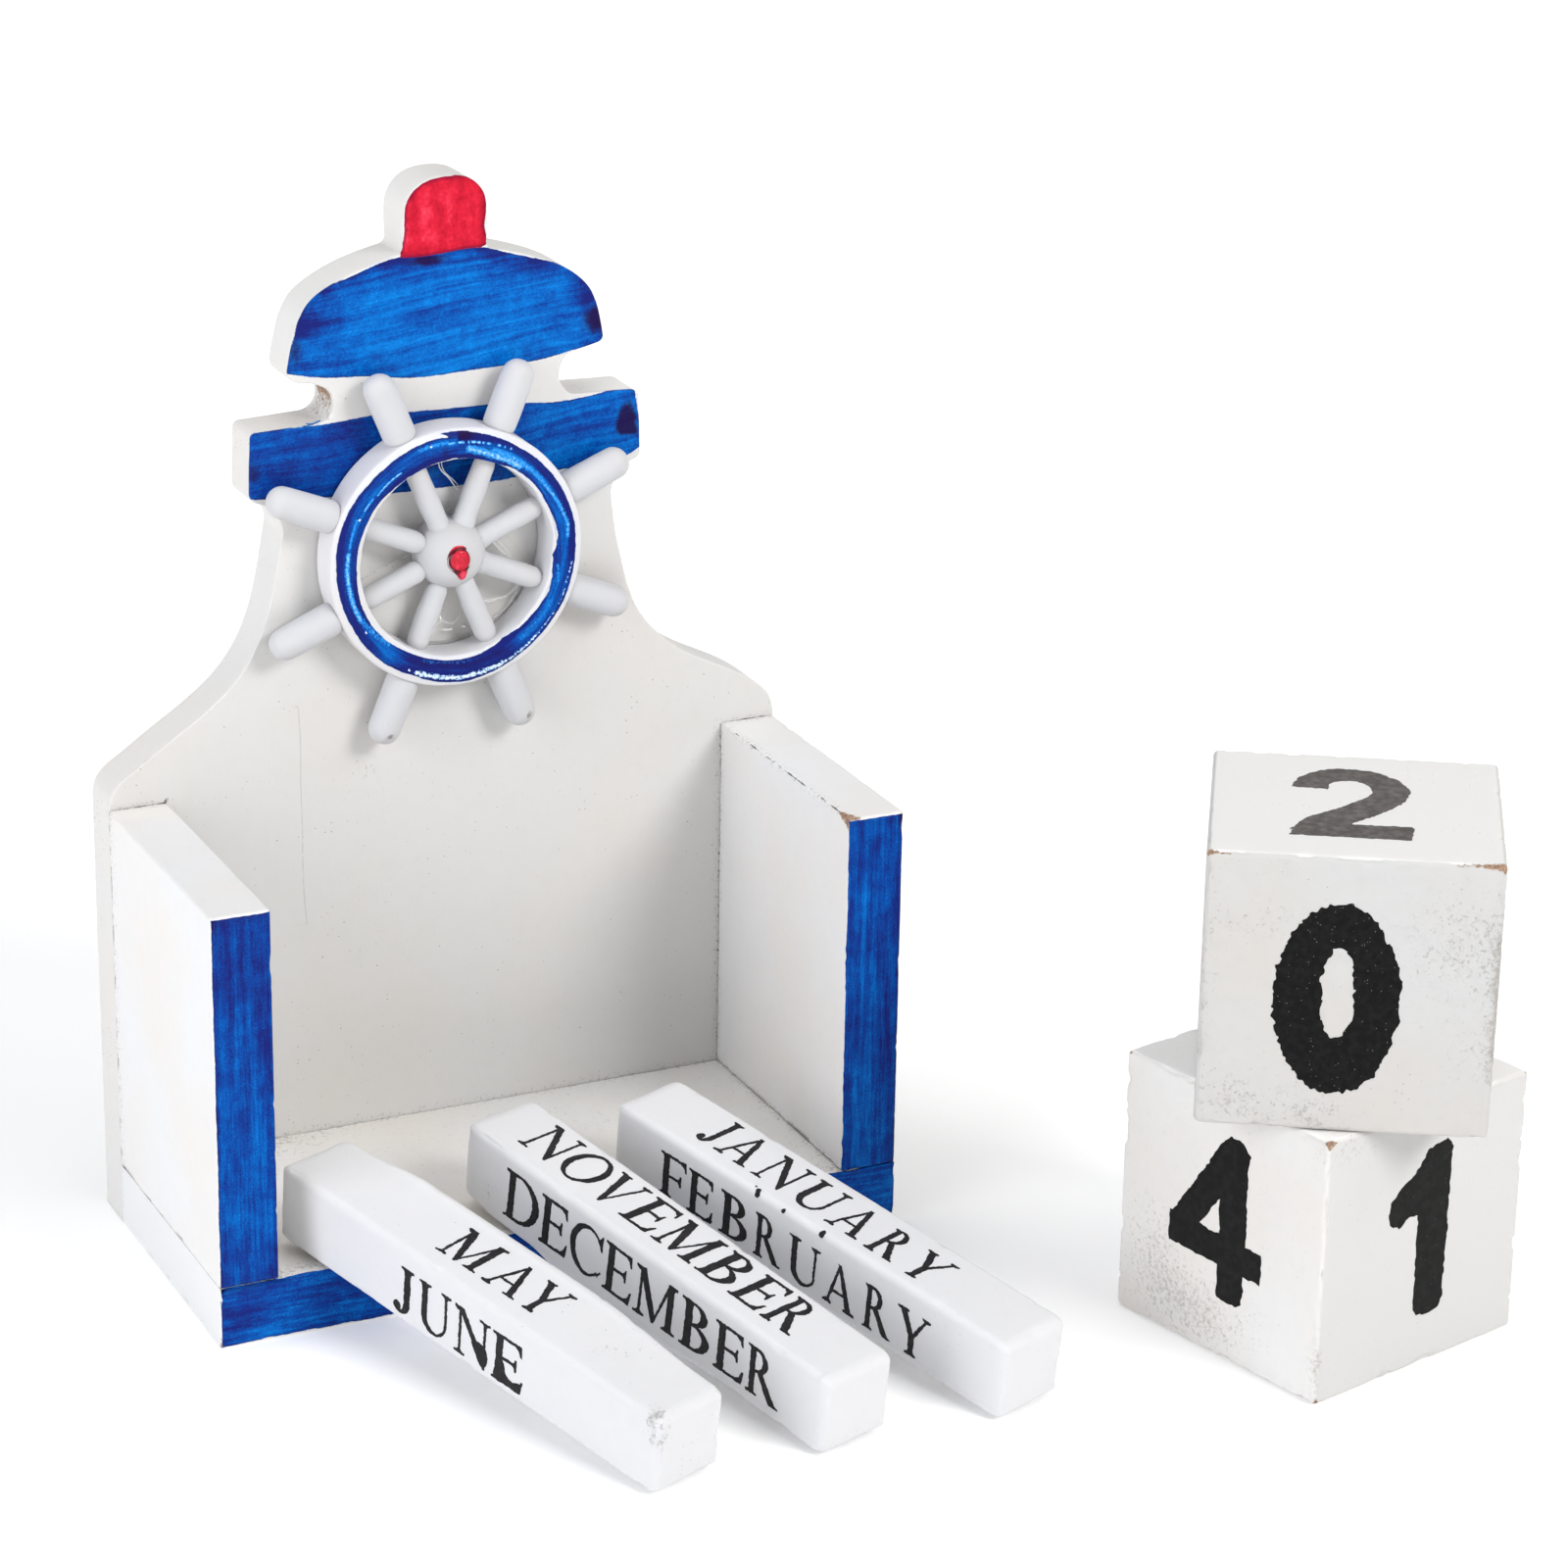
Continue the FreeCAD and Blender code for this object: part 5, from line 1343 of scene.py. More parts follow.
FLECK = [
    (0.68, 0.50, [(248, 16.85), (259, 17.0), (272, 17.2), (285, 17.2), (292, 17.15)]),
    (0.58, 0.32, [(285, 17.2), (296, 17.15), (305, 17.05), (314, 16.95)]),
    (0.46, 0.20, [(314, 16.95), (322, 16.95), (329, 17.1), (334, 17.1), (342, 16.85), (348, 16.95), (354, 17.05)]),
    (0.30, 0.60, [(262, 16.9), (276, 17.1)]),
]


def ring_dist(deg, rad, pts):
    """Distance in mm along the rim's face from a line given as (degrees, radius)."""
    k = math.radians(1) * 16.0
    line = np.array([(a * k, r) for a, r in pts])
    best = np.full(len(deg), 1e3)
    for turn in (-360, 0, 360):
        best = np.minimum(best, seg_dist(np.column_stack([(deg + turn) * k, rad]), line))
    return best


def build_rim():
    n = 440
    V, F, ri_, th = lathe(rim_profile(), n, closed=True)
    F = [tuple(f) for f in F]
    rad = np.hypot(V[:, 0], V[:, 1])
    deg = (np.degrees(th) + 180) % 360 - 180
    deg_u = np.where(deg < 90, deg + 360, deg)          # 90 to 450, the way the brush went round
    cyc = np.column_stack([np.cos(th) * 2.4, np.sin(th) * 2.4, ri_ * 0.05])
    cyc2 = np.column_stack([np.cos(th) * 9, np.sin(th) * 9, rad * 0.6])
    # cast shape: slightly uneven, inward only
    dep = 0.06 * fbm(cyc, 3, 3) + 0.03 * fbm(cyc2, 6, 2)
    sgn = np.where(rad > 17.9, -1.0, np.where(rad < 14.3, 1.0, 0.0))
    rin = np.interp(deg_u, [a for a, _ in RING_IN], [r for _, r in RING_IN])
    rout = np.interp(deg_u, [a for a, _ in RING_OUT], [r for _, r in RING_OUT])
    topm = V[:, 2] > RIM_DEPTH - 0.95
    V[:, 0] += np.cos(th) * dep * sgn
    V[:, 1] += np.sin(th) * dep * sgn
    front = topm & (rad > 14.0) & (rad < 18.2)
    low = 0.02 + 0.10 * fbm(np.column_stack([np.cos(th) * 4, np.sin(th) * 4, rad * 0.5]), 9, 3)
    # paint ridges along the stroke
    low -= 0.05 * (fbm(np.column_stack([np.cos(th) * 5, np.sin(th) * 5, rad * 2.6]), 29, 3) - 0.6) * front
    V[:, 2] -= np.where(topm, np.maximum(low, 0.005), 0)
    # the inner edge is ragged with moulding flash, most at the upper right
    flash = 0.34 * fbm(np.column_stack([np.cos(th) * 9, np.sin(th) * 9, V[:, 2] * 0.3]), 19, 3)
    flash = flash + 0.30 * np.exp(-((deg - 8) / 7) ** 2) + 0.25 * np.exp(-((deg + 26) / 8) ** 2)
    inn = (rad < 14.5) & (V[:, 2] > 1.0)
    V[:, 0] += np.cos(th) * np.where(inn, flash * 0.6, 0)
    V[:, 1] += np.sin(th) * np.where(inn, flash * 0.6, 0)
    sd = np.minimum(rad - np.maximum(rin, 13.2), rout - rad)
    kk = math.radians(1) * 16.0
    wedge = np.array([(457.5 * kk, 18.15), (453 * kk, 17.25), (447.5 * kk, 16.6), (440 * kk, 17.2), (440 * kk, 17.85), (449 * kk, 18.2)])
    for turn in (0, 360):
        q = np.column_stack([(deg + turn) * kk, rad])
        nearby = (deg + turn > 425) & (deg + turn < 465)
        if nearby.any():
            sd[nearby] = np.maximum(sd[nearby], sd_poly(q[nearby], wedge))
    sd = np.where(topm, sd, -2.0)
    painted_highlight = np.zeros(len(V))
    for a, w, pts in PAINTED_HIGHLIGHTS:
        painted_highlight = np.maximum(painted_highlight, a * np.exp(-(ring_dist(deg, rad, pts) / w) ** 2))
    # a dashed white line near the outer edge, part of the same painted highlight
    highlight_dash = ring_dist(deg, rad, [(94, 16.5), (84, 16.5), (75, 16.5), (61, 16.75)])
    painted_highlight = np.maximum(painted_highlight, 1.05 * np.exp(-(highlight_dash / 0.20) ** 2) * sstep(vnoise(np.column_stack([deg * 0.9, np.zeros(len(V)), np.full(len(V), 3.3)]), 15), 0.35, 0.6))
    fleck = np.zeros(len(V))
    for a, w, pts in FLECK:
        fleck = np.maximum(fleck, a * np.exp(-(ring_dist(deg, rad, pts) / w) ** 2))
    for a, r in ((244, 16.9), (213, 16.25), (153, 16.0), (103, 16.75)):
        fleck = np.maximum(fleck, 0.95 * np.exp(-(ring_dist(deg, rad, [(a, r), (a + 0.3, r)]) / 0.16) ** 2))
    dark = sstep(rad, 15.9, 16.7) * sstep(deg_u, 340, 362)
    bottom = sstep(deg_u, 228, 246) * sstep(deg_u, 308, 292)
    tone = -0.09 - 0.24 * sstep(np.abs(deg_u - 188), 46, 14) - 0.34 * dark - 0.40 * bottom - 0.26 * sstep(np.abs(rad - 16.0), 0.8, 1.5)
    tone = tone - 0.22 * sstep(deg_u, 150, 100) * sstep(rad, 16.2, 15.2) * (deg_u < 200) - 0.12 * (deg_u > 440)
    pool = 0.50 * bottom * np.exp(-((rad - 15.4) / 0.9) ** 2) + 0.55 * np.exp(-((deg_u - 96) / 3.5) ** 2) * (rad < 16.3) + 0.60 * np.exp(-((deg_u - 446) / 5) ** 2) * sstep(rad, 16.6, 17.2)
    pool += 0.34 * dark * sstep(deg_u, 360, 420)
    return make_obj("wheel_rim_painted", V, [f[::-1] for f in F], m_rim, "holder",
                    attrs={"sdb": sd, "tone": tone, "pool": pool, "fleck": fleck, "painted_highlight": painted_highlight}, matrix=WM, replaces=("wheel_rim",))


def flip_if_needed(V, F):
    """Turns all faces round if the closed mesh's volume comes out negative."""
    V = np.asarray(V, float)
    vol = 0.0
    for f in F:
        a = V[f[0]]
        for i in range(1, len(f) - 1):
            vol += np.dot(a, np.cross(V[f[i]], V[f[i + 1]]))
    return F if vol > 0 else [tuple(f)[::-1] for f in F]


build_rim()


def spindle_mesh(i):
    """Turned spoke and handle along +X at mid-depth of the rim. Each length has rounded ends, so a fine
    line is left where it meets the hub and the rim."""
    xs, rs = [], []
    for x in np.concatenate([np.linspace(SPOKE_START, 6.6, 20), np.linspace(7.0, 11.6, 9), np.linspace(11.9, 14.3, 16), np.linspace(14.8, HANDLE_SEAT - 0.3, 6)]):
        body = SPOKE_R + 0.04 + 0.05 * math.sin((x - 4.5) / 9.4 * math.pi) + 0.025 * math.sin(x * 1.3 + i * 1.7)
        end_h = 1.0 - (0.34 if 2 < i < 6 else 0.0) * max(0.0, (5.9 - x) / 1.5) ** 2 + (0.12 * math.exp(-((x - 4.6) / 0.60) ** 2) if i in (0, 1, 7) else 0.0)
        end_r = 1.0 - 0.30 * max(0.0, (x - 12.7) / 1.5) ** 2 if x < 14.4 else 0.85
        xs.append(x)
        rs.append(body * end_h * end_r)
    # the handle: a blunt turned grip, a little fuller behind its round end
    L0 = HANDLE_SEAT
    for x, r in ((L0 - 0.05, 1.55), (L0, 1.95), (L0 + 0.12, 2.12), (L0 + 0.35, 2.26), (L0 + 0.7, 2.35)):
        xs.append(x)
        rs.append(r)
    for x in np.linspace(L0 + 1.2, HANDLE_TIP - 2.25, 12):
        t = (x - L0) / (HANDLE_TIP - L0)
        xs.append(x)
        rs.append(2.37 + 0.035 * math.sin(math.pi * min(1, t * 1.1)) - 0.10 * t)
    r_end = rs[-1]
    for a in np.radians(np.linspace(0, 90, 15)[1:]):
        xs.append(HANDLE_TIP - 2.25 + 2.23 * math.sin(a))
        rs.append(max(0.0, 0.10 + (r_end - 0.10) * math.cos(a) ** 0.92))
    n = 44
    prof = [(0.0, xs[0])] + list(zip(rs, xs)) + [(0.0, xs[-1] + 0.002)]
    th = np.linspace(0, 2 * math.pi, n, endpoint=False)
    V, ring_start = [], []
    for r, x in prof:
        ring_start.append(len(V))
        if r < 1e-9:
            V.append((x, 0, 0))
        else:
            for t in th:
                V.append((x, r * math.cos(t), r * math.sin(t)))
    F = []
    for k in range(len(prof) - 1):
        a, b = ring_start[k], ring_start[k + 1]
        ca, cb = prof[k][0] < 1e-9, prof[k + 1][0] < 1e-9
        for j in range(n):
            jj = (j + 1) % n
            if ca:
                F.append((a, b + jj, b + j))
            elif cb:
                F.append((a + j, a + jj, b))
            else:
                F.append((a + j, a + jj, b + jj, b + j))
    V = np.array(V, float)
    rad = np.hypot(V[:, 1], V[:, 2])
    d = 0.09 * fbm(V / 2.6 + i * 7.7, 50 + i, 3) * sstep(rad, 0.2, 1.0)
    V[:, 1] *= 1 - d / np.maximum(rad, 0.5)
    V[:, 2] *= 1 - d / np.maximum(rad, 0.5)
    V[:, 2] += RIM_DEPTH / 2.0
    F = flip_if_needed(V, F)
    dirt = np.zeros(len(V))
    if i in (5, 6):
        tip = np.array([HANDLE_TIP - 1.7, 0.3 if i == 5 else 0.5, RIM_DEPTH / 2 + 2.2])
        dirt = 0.85 * np.exp(-(np.linalg.norm(V - tip, axis=1) / 0.6) ** 2)
        dirt += 0.45 * np.exp(-(np.linalg.norm(V - tip - np.array([-1.6, -0.9, 0.2]), axis=1) / 0.4) ** 2)
    if i in (3, 4):                                     # scuffs where the handle meets the rim
        spot = np.array([HANDLE_SEAT + 0.15, 2.2 if i == 3 else -2.2, RIM_DEPTH / 2 + 0.3])
        dirt += 0.55 * np.exp(-(np.linalg.norm(V - spot, axis=1) / 0.45) ** 2)
    rot = Matrix.Rotation(math.radians(22.5 + 45.0 * i), 4, "Z")
    make_obj("wheel_spindle_%d_painted" % (i + 1), V, F, m_spin, "holder", attrs={"dirt": dirt},
             matrix=WM @ rot, replaces=("wheel_spindle_%d" % (i + 1),))


for i in range(8):
    spindle_mesh(i)


def dome_z(r):
    """Height of the hub's front over its radius."""
    t = np.clip((np.asarray(r, float) - 1.4) / (HUB_R - 0.12 - 1.4), 0, 1)
    return 2.9 + (HUB_DEPTH - 0.02 - 2.9) * np.power(np.clip(1 - t ** 1.9, 0, 1), 0.62)


def build_hub():
    prof = [(0.0, 0.0), (2.0, 0.0), (HUB_R - 0.6, 0.0), (HUB_R - 0.3, 0.25), (HUB_R - 0.12, 0.6)]
    prof += [(HUB_R - 0.12, z) for z in np.linspace(0.9, 2.6, 6)]
    for t in np.linspace(0, 1, 22):
        r = 1.4 + (HUB_R - 0.12 - 1.4) * math.sin(math.radians(90 * (1 - t))) ** 0.9
        prof.append((r, float(dome_z(r))))
    prof += [(1.0, HUB_DEPTH - 0.02), (0.5, HUB_DEPTH - 0.02), (0.0, HUB_DEPTH - 0.02)]
    n = 112
    th = np.linspace(0, 2 * math.pi, n, endpoint=False)
    V, st = [], []
    for r, z in prof:
        st.append(len(V))
        if r < 1e-9:
            V.append((0, 0, z))
        else:
            V += [(r * math.cos(t), r * math.sin(t), z) for t in th]
    F = []
    for k in range(len(prof) - 1):
        a, b = st[k], st[k + 1]
        ca, cb = prof[k][0] < 1e-9, prof[k + 1][0] < 1e-9
        for j in range(n):
            jj = (j + 1) % n
            if ca:
                F.append((a, b + j, b + jj))
            elif cb:
                F.append((a + j, a + jj, b))
            else:
                F.append((a + j, a + jj, b + jj, b + j))
    V = np.array(V, float)
    rad = np.hypot(V[:, 0], V[:, 1])
    d = 0.12 * fbm(V / 2.4, 77, 3) * sstep(rad, 1.0, 2.5) * sstep(V[:, 2], 0.0, 0.8)
    f = 1 - d / np.maximum(rad, 1)
    V[:, 0] *= f
    V[:, 1] *= f
    dirt = 0.6 * np.exp(-(np.hypot(V[:, 0] - 4.7, V[:, 1] + 0.1) / 0.28) ** 2) * (V[:, 2] > 2)
    make_obj("wheel_hub_painted", V, flip_if_needed(V, F), m_hub, "holder", attrs={"dirt": dirt}, matrix=WM, replaces=("wheel_hub",))


build_hub()


def red_gloss():
    k = Mat("red_gloss_paint")
    p = k.pos((3, 1, 7))
    n = k.noise(p, 0.9, 4, 0.6)
    streak = k.noise(k.vec(p, (0.9, 0.35, 1.0)), 2.6, 3, 0.6, 0.4)
    tone = k.add(k.mul(k.sub(n, 0.5), 0.9), k.mul(k.sub(streak, 0.5), 0.8), 0.46, k.attr("tone"))
    c = k.ramp(tone, [(0.10, (0.30, 0.002, 0.010)), (0.45, (0.56, 0.008, 0.030)), (0.80, (0.74, 0.045, 0.095)), (1.0, (0.86, 0.17, 0.24))])
    c = k.mix(k.smooth(k.attr("moat"), 0.10, 0.70), c, (0.085, 0.001, 0.007))
    k.set(Base_Color=c, Roughness=k.add(0.12, k.mul(n, 0.12)), Normal=k.bump(k.add(k.mul(n, 0.7), k.mul(streak, 0.7), k.mul(k.noise(p, 3.5, 2, 0.5), 0.3)), 0.55, 0.07))
    k.b.inputs["IOR"].default_value = 1.50
    k.b.inputs["Specular IOR Level"].default_value = 0.22
    k.b.inputs["Coat Weight"].default_value = 0.12
    k.b.inputs["Coat Roughness"].default_value = 0.06
    return k.m


# outline of the red paint round the button: (degrees, radius)
POOL = [(0, 1.62), (22, 1.56), (45, 1.66), (66, 1.98), (80, 2.06), (100, 2.12), (118, 2.10), (135, 2.02), (152, 1.96), (180, 1.90), (203, 1.93), (225, 1.92),
        (246, 2.00), (262, 2.34), (269, 2.80), (276, 3.16), (284, 3.26), (290, 2.98), (297, 2.42), (305, 2.00), (325, 1.86), (345, 1.70)]


def build_button():
    """The round head at the hub's centre, and the red paint that pooled round it and ran down the dome."""
    n = 96
    th = np.linspace(0, 2 * math.pi, n, endpoint=False)
    tab = np.array(POOL + [(360, POOL[0][1])], float)
    ro = np.interp(np.degrees(th), tab[:, 0], tab[:, 1]) - 0.04
    rings = np.concatenate([np.linspace(0.0, 0.9, 24), 0.9 + 0.1 * np.sin(np.radians(np.linspace(0, 90, 9)[1:]))])
    cx, cy, rd = -0.04, -0.04, 1.52                     # the head itself

    def surf(x, y, q):
        r = math.hypot(x, y)
        d = math.hypot(x - cx, y - cy)
        edge = math.sqrt(max(0.0, 1 - q ** 8))
        coat = 0.15 * edge                              # the paint's own thickness
        tail = 0.20 * edge * math.exp(-((x - 0.62) / 0.55) ** 2) * min(1.0, max(0.0, (-y - 1.7) / 0.5))
        head = 0.52 * math.sqrt(max(0.0, 1 - (d / rd) ** 6)) + 0.05 * (1 - (d / rd) ** 2) if d < rd else 0.0
        groove = -0.10 * math.exp(-((d - rd - 0.14) / 0.12) ** 2)
        return float(dome_z(r)) - 0.03 + max(head, coat + tail + groove)
    V, moat, tone = [(0.0, 0.0, surf(0, 0, 0))], [0.0], [-0.04]
    for q in rings[1:]:
        for j, t in enumerate(th):
            r = ro[j] * q
            x, y = r * math.cos(t), r * math.sin(t)
            V.append((x, y, surf(x, y, q)))
            d = math.hypot(x - cx, y - cy)
            up = math.exp(-((math.degrees(t) - 95) / 42.0) ** 2)
            down = math.exp(-((math.degrees(t) - 283) / 16.0) ** 2)
            mm = math.exp(-(max(0.0, abs(d - rd - 0.14) - 0.10) / 0.16) ** 2) * (1 - 0.42 * up) * (1 - 0.80 * down)
            outside = 1.0 if d > rd + 0.2 else 0.0
            moat.append(max(mm, 0.62 * outside * (1 - up) * (1 - down)))
            tone.append(-0.04 if d < rd else 0.10 * up * outside + 0.26 * down * outside)
    m = len(rings) - 1
    last = 1 + (m - 1) * n
    F = []
    for j in range(n):
        F.append((0, 1 + j, 1 + (j + 1) % n))
    for k in range(m - 1):
        a, b = 1 + k * n, 1 + (k + 1) * n
        for j in range(n):
            jj = (j + 1) % n
            F.append((a + j, b + j, b + jj, a + jj))
    # underside: down into the hub, closed by a peg
    base = len(V)
    for j, t in enumerate(th):
        r = ro[j] * 0.97
        V.append((r * math.cos(t), r * math.sin(t), float(dome_z(ro[j])) - 0.35))
    for j, t in enumerate(th):
        V.append((1.2 * math.cos(t), 1.2 * math.sin(t), HUB_DEPTH - 2.0))
    V.append((0.0, 0.0, HUB_DEPTH - 2.0))
    moat += [1.0] * (len(V) - len(moat))
    tone += [0.0] * (len(V) - len(tone))
    for j in range(n):
        jj = (j + 1) % n
        F.append((last + j, base + j, base + jj, last + jj))
        F.append((base + j, base + n + j, base + n + jj, base + jj))
        F.append((base + n + j, len(V) - 1, base + n + jj))
    make_obj("wheel_center_button_glossy", V, flip_if_needed(V, F), red_gloss(), "holder", attrs={"moat": moat, "tone": tone}, matrix=WM, replaces=("wheel_center_button",))


build_button()


# ------------------------------------------------------------------ hot glue
def glue_material():
    """Clear glue: what lies under it shows through, its bumps and edges catch the light, and its milky places show
    white, some of them painted glints.
    """
    k = Mat("clear_hot_glue")
    p = k.pos((5, 5, 5))
    n = k.noise(p, 0.55, 3, 0.55, 0.3)
    fine = k.noise(p, 1.9, 3, 0.55)
    bub = k.smooth(k.cells(p, 0.9)["Distance"], 0.12, 0.05)
    k.set(Base_Color=k.mix(k.smooth(n, 0.35, 0.7), (0.86, 0.86, 0.86), (0.92, 0.92, 0.91)), Roughness=k.add(0.07, k.mul(n, 0.10)),
          Normal=k.bump(k.add(n, k.mul(fine, 0.35), k.mul(bub, 0.3)), 0.8, 0.16))
    k.b.inputs["IOR"].default_value = 1.47
    k.b.inputs["Specular IOR Level"].default_value = 1.0
    k.b.inputs["Coat Weight"].default_value = 1.0
    k.b.inputs["Coat Roughness"].default_value = 0.05
    lw = k.t.nodes.new("ShaderNodeLayerWeight")
    lw.inputs["Blend"].default_value = 0.5
    # milkiness of thick glue, which at two white spots and along the strings is painted glint
    share = k.add(0.025, k.mul(k.smooth(lw.outputs["Facing"], 0.80, 1.0), 0.16), k.mul(k.attr("milk_and_painted_glint"), k.add(0.45, k.mul(fine, 0.8))), k.mul(bub, 0.05))
    tr = k.t.nodes.new("ShaderNodeBsdfTransparent")
    tr.inputs["Color"].default_value = (0.994, 0.994, 0.992, 1.0)
    mx = k.t.nodes.new("ShaderNodeMixShader")
    k.put(mx.inputs[0], share)
    k.t.links.new(tr.outputs[0], mx.inputs[1])
    k.t.links.new(k.b.outputs[0], mx.inputs[2])
    k.t.links.new(mx.outputs[0], k.out.inputs["Surface"])
    return k.m


m_glue = glue_material()
GLUE = [(90, 6.3), (60, 6.8), (35, 7.1), (12, 8.6), (-12, 12.2), (-32, 14.9), (-52, 15.4),
        (-72, 15.1), (-92, 14.9), (-107, 14.0), (-121, 10.6), (-138, 7.4), (-160, 6.2),
        (180, 6.0), (150, 6.1), (120, 6.0)]
BUMPS = [(-88, 10.3, 2.6, 1.15), (-58, 9.9, 2.9, 1.35), (-40, 11.2, 1.9, 0.9), (-110, 8.6, 2.0, 0.9)]
# ridges in the glue: (half width, height, milkiness, points across the board from the wheel's axis)
RIDGES = [
    (0.30, 0.26, 0.75, [(-2.6, -13.1), (-0.5, -13.6), (2.1, -13.7), (3.8, -13.4)]),
    (0.24, 0.30, 0.60, [(-1.2, -9.2), (-0.9, -10.0), (-1.4, -11.1), (-2.1, -12.3)]),
    (0.28, 0.26, 0.35, [(-0.9, -10.2), (0.9, -10.9), (2.2, -9.9), (3.2, -9.1)]),
    (0.26, 0.34, 0.75, [(5.6, -8.15), (7.4, -8.4), (9.05, -8.1), (10.2, -7.45), (11.0, -6.75)]),
    (0.30, 0.34, 0.60, [(6.9, -11.35), (8.7, -10.45), (10.0, -9.0), (11.2, -7.4)]),
    (0.30, 0.25, 0.40, [(7.4, -12.05), (8.4, -12.0), (9.4, -10.9)]),
    (0.35, 0.22, 0.25, [(3.9, -12.9), (5.6, -12.9), (6.9, -12.4)]),
    # the last two are white spots: painted glints
    (0.17, 0.20, 1.60, [(-0.3, -11.9), (0.3, -11.85), (0.9, -11.9)]),
    (0.17, 0.20, 1.60, [(2.8, -11.9), (3.0, -11.85), (3.1, -11.9)]),
]
# fine strings of glue: (radius, milkiness, points as x, y across the board and z out from it)
STRINGS = [
    (0.075, 0.85, [(-0.55, 12.9, 0.25), (-0.5, 11.5, 0.5), (0.55, 10.2, 0.6), (1.7, 8.6, 0.5), (2.2, 7.9, 0.3)]),
    (0.060, 0.70, [(-0.15, 12.9, 0.25), (-0.1, 11.4, 0.55), (1.4, 9.6, 0.7), (2.5, 8.2, 0.4)]),
    (0.080, 0.80, [(0.2, 5.0, 0.5), (0.75, 4.5, 1.0), (1.7, 3.5, 1.2), (2.2, 3.1, 1.0)]),
    (0.070, 0.60, [(0.5, 4.9, 0.6), (1.1, 5.8, 0.3)]),
    (0.085, 0.90, [(6.6, 0.5, 0.9), (7.1, 0.0, 0.9), (8.3, -1.45, 0.9), (9.7, -2.45, 0.9), (10.1, -2.7, 0.9)]),
    (0.085, 0.90, [(7.3, 0.7, 0.9), (8.0, -0.1, 0.9), (8.95, -1.3, 0.9), (9.7, -2.35, 0.9)]),
    (0.070, 0.60, [(4.2, 4.4, 0.4), (4.9, 3.4, 0.9), (4.3, 2.8, 1.0)]),
    (0.070, 0.70, [(-2.9, 0.6, 0.5), (-4.8, -0.35, 0.35), (-8.4, -1.75, 0.2), (-12.0, -3.2, 0.15)]),
]


def build_glue():
    xy = np.array([(r * math.cos(math.radians(t)), r * math.sin(math.radians(t))) for t, r in GLUE])
    ring = catmull(xy, 0.5, closed=True)
    if np.sum(ring[:, 0] * np.roll(ring[:, 1], -1) - np.roll(ring[:, 0], -1) * ring[:, 1]) < 0:
        ring = ring[::-1]
    pts, tris = fill_loop(ring, 0.26)
    s = np.maximum(0, sd_poly(pts, ring))
    rr = np.hypot(pts[:, 0], pts[:, 1])
    h = -WHEEL_GAP + 0.62 * np.sqrt(np.clip(1 - (1 - np.minimum(1, s / 2.0)) ** 2, 0, 1))
    h += 0.22 * (fbm(np.column_stack([pts / 2.2, np.zeros(len(pts))]), 5, 3) - 0.6) * sstep(s, 0, 1)
    for t, r, rad, up in BUMPS:
        c = np.array([r * math.cos(math.radians(t)), r * math.sin(math.radians(t))])
        d = np.linalg.norm(pts - c, axis=1)
        big = (rad * rad + up * up) / (2 * up)
        cap = up - big + np.sqrt(np.maximum(0, big * big - d * d))
        h = np.where(d < rad, np.maximum(h, np.minimum(cap, up)), h)
    milk_and_painted_glint = np.zeros(len(pts))
    for w, up, mk, line in RIDGES:
        d = seg_dist(pts, catmull(np.array(line), 0.4))
        h += up * np.exp(-(d / w) ** 2)
        milk_and_painted_glint = np.maximum(milk_and_painted_glint, mk * np.exp(-(d / (w * 0.75)) ** 2))
    # thin under the rim, the spokes' shadow side and the hub
    h = np.where(rr > RIM_R_IN - 0.4, np.minimum(h, -0.02), h)
    h = np.minimum(h, RIM_DEPTH * 0.24 + 0.05)
    n = len(pts)
    nr = len(ring)
    V = [(x, y, z) for (x, y), z in zip(pts, h)] + [(x, y, -WHEEL_GAP + 0.02) for x, y in pts]
    F = [tuple(t) for t in tris] + [tuple(i + n for i in t[::-1]) for t in tris]
    for i in range(nr):
        j = (i + 1) % nr
        F.append((i, i + n, j + n, j))
    V = np.array(V)
    V[:nr, 2] = -WHEEL_GAP + 0.10
    F = flip_if_needed(V, F)
    milk = np.concatenate([milk_and_painted_glint, np.zeros(n)])
    # the strings are closed little tubes that dip into the puddle, the board or the wheel at both ends
    for rad_s, mk, line in STRINGS:
        c = catmull(np.array(line), 0.35)
        tang = np.gradient(c, axis=0)
        tang /= np.linalg.norm(tang, axis=1, keepdims=True)
        side = np.cross(tang, np.array([0.0, 0.0, 1.0]))
        side /= np.linalg.norm(side, axis=1, keepdims=True)
        upv = np.cross(side, tang)
        m, b = 8, len(V)
        # the strings made thicker and whiter: their whiteness is partly painted highlight
        rad_s, mk = rad_s * 1.25, min(1.3, mk * 1.35)
        tube = [c[k] + rad_s * (math.cos(2 * math.pi * q / m) * side[k] + math.sin(2 * math.pi * q / m) * upv[k]) for k in range(len(c)) for q in range(m)]
        f = [(k * m + q, k * m + (q + 1) % m, (k + 1) * m + (q + 1) % m, (k + 1) * m + q) for k in range(len(c) - 1) for q in range(m)]
        f += [tuple(range(m - 1, -1, -1)), tuple((len(c) - 1) * m + q for q in range(m))]
        f = flip_if_needed(np.array(tube), f)
        V = np.concatenate([V, np.array(tube)])
        F += [tuple(b + q for q in g) for g in f]
        milk = np.concatenate([milk, np.full(len(tube), mk)])
    make_obj("hot_glue_clear", V, F, m_glue, "holder", attrs={"milk_and_painted_glint": milk}, matrix=WM, replaces=("hot_glue_pad",))


build_glue()


# ---------------------------------------------------------------- month bars
BARS = [
    ("month_bar_left", -33.25, 11.43, 19.55),
    ("month_bar_middle", -5.6, 13.24, 16.42),
    ("month_bar_right", 15.83, 11.6, 19.4),
]


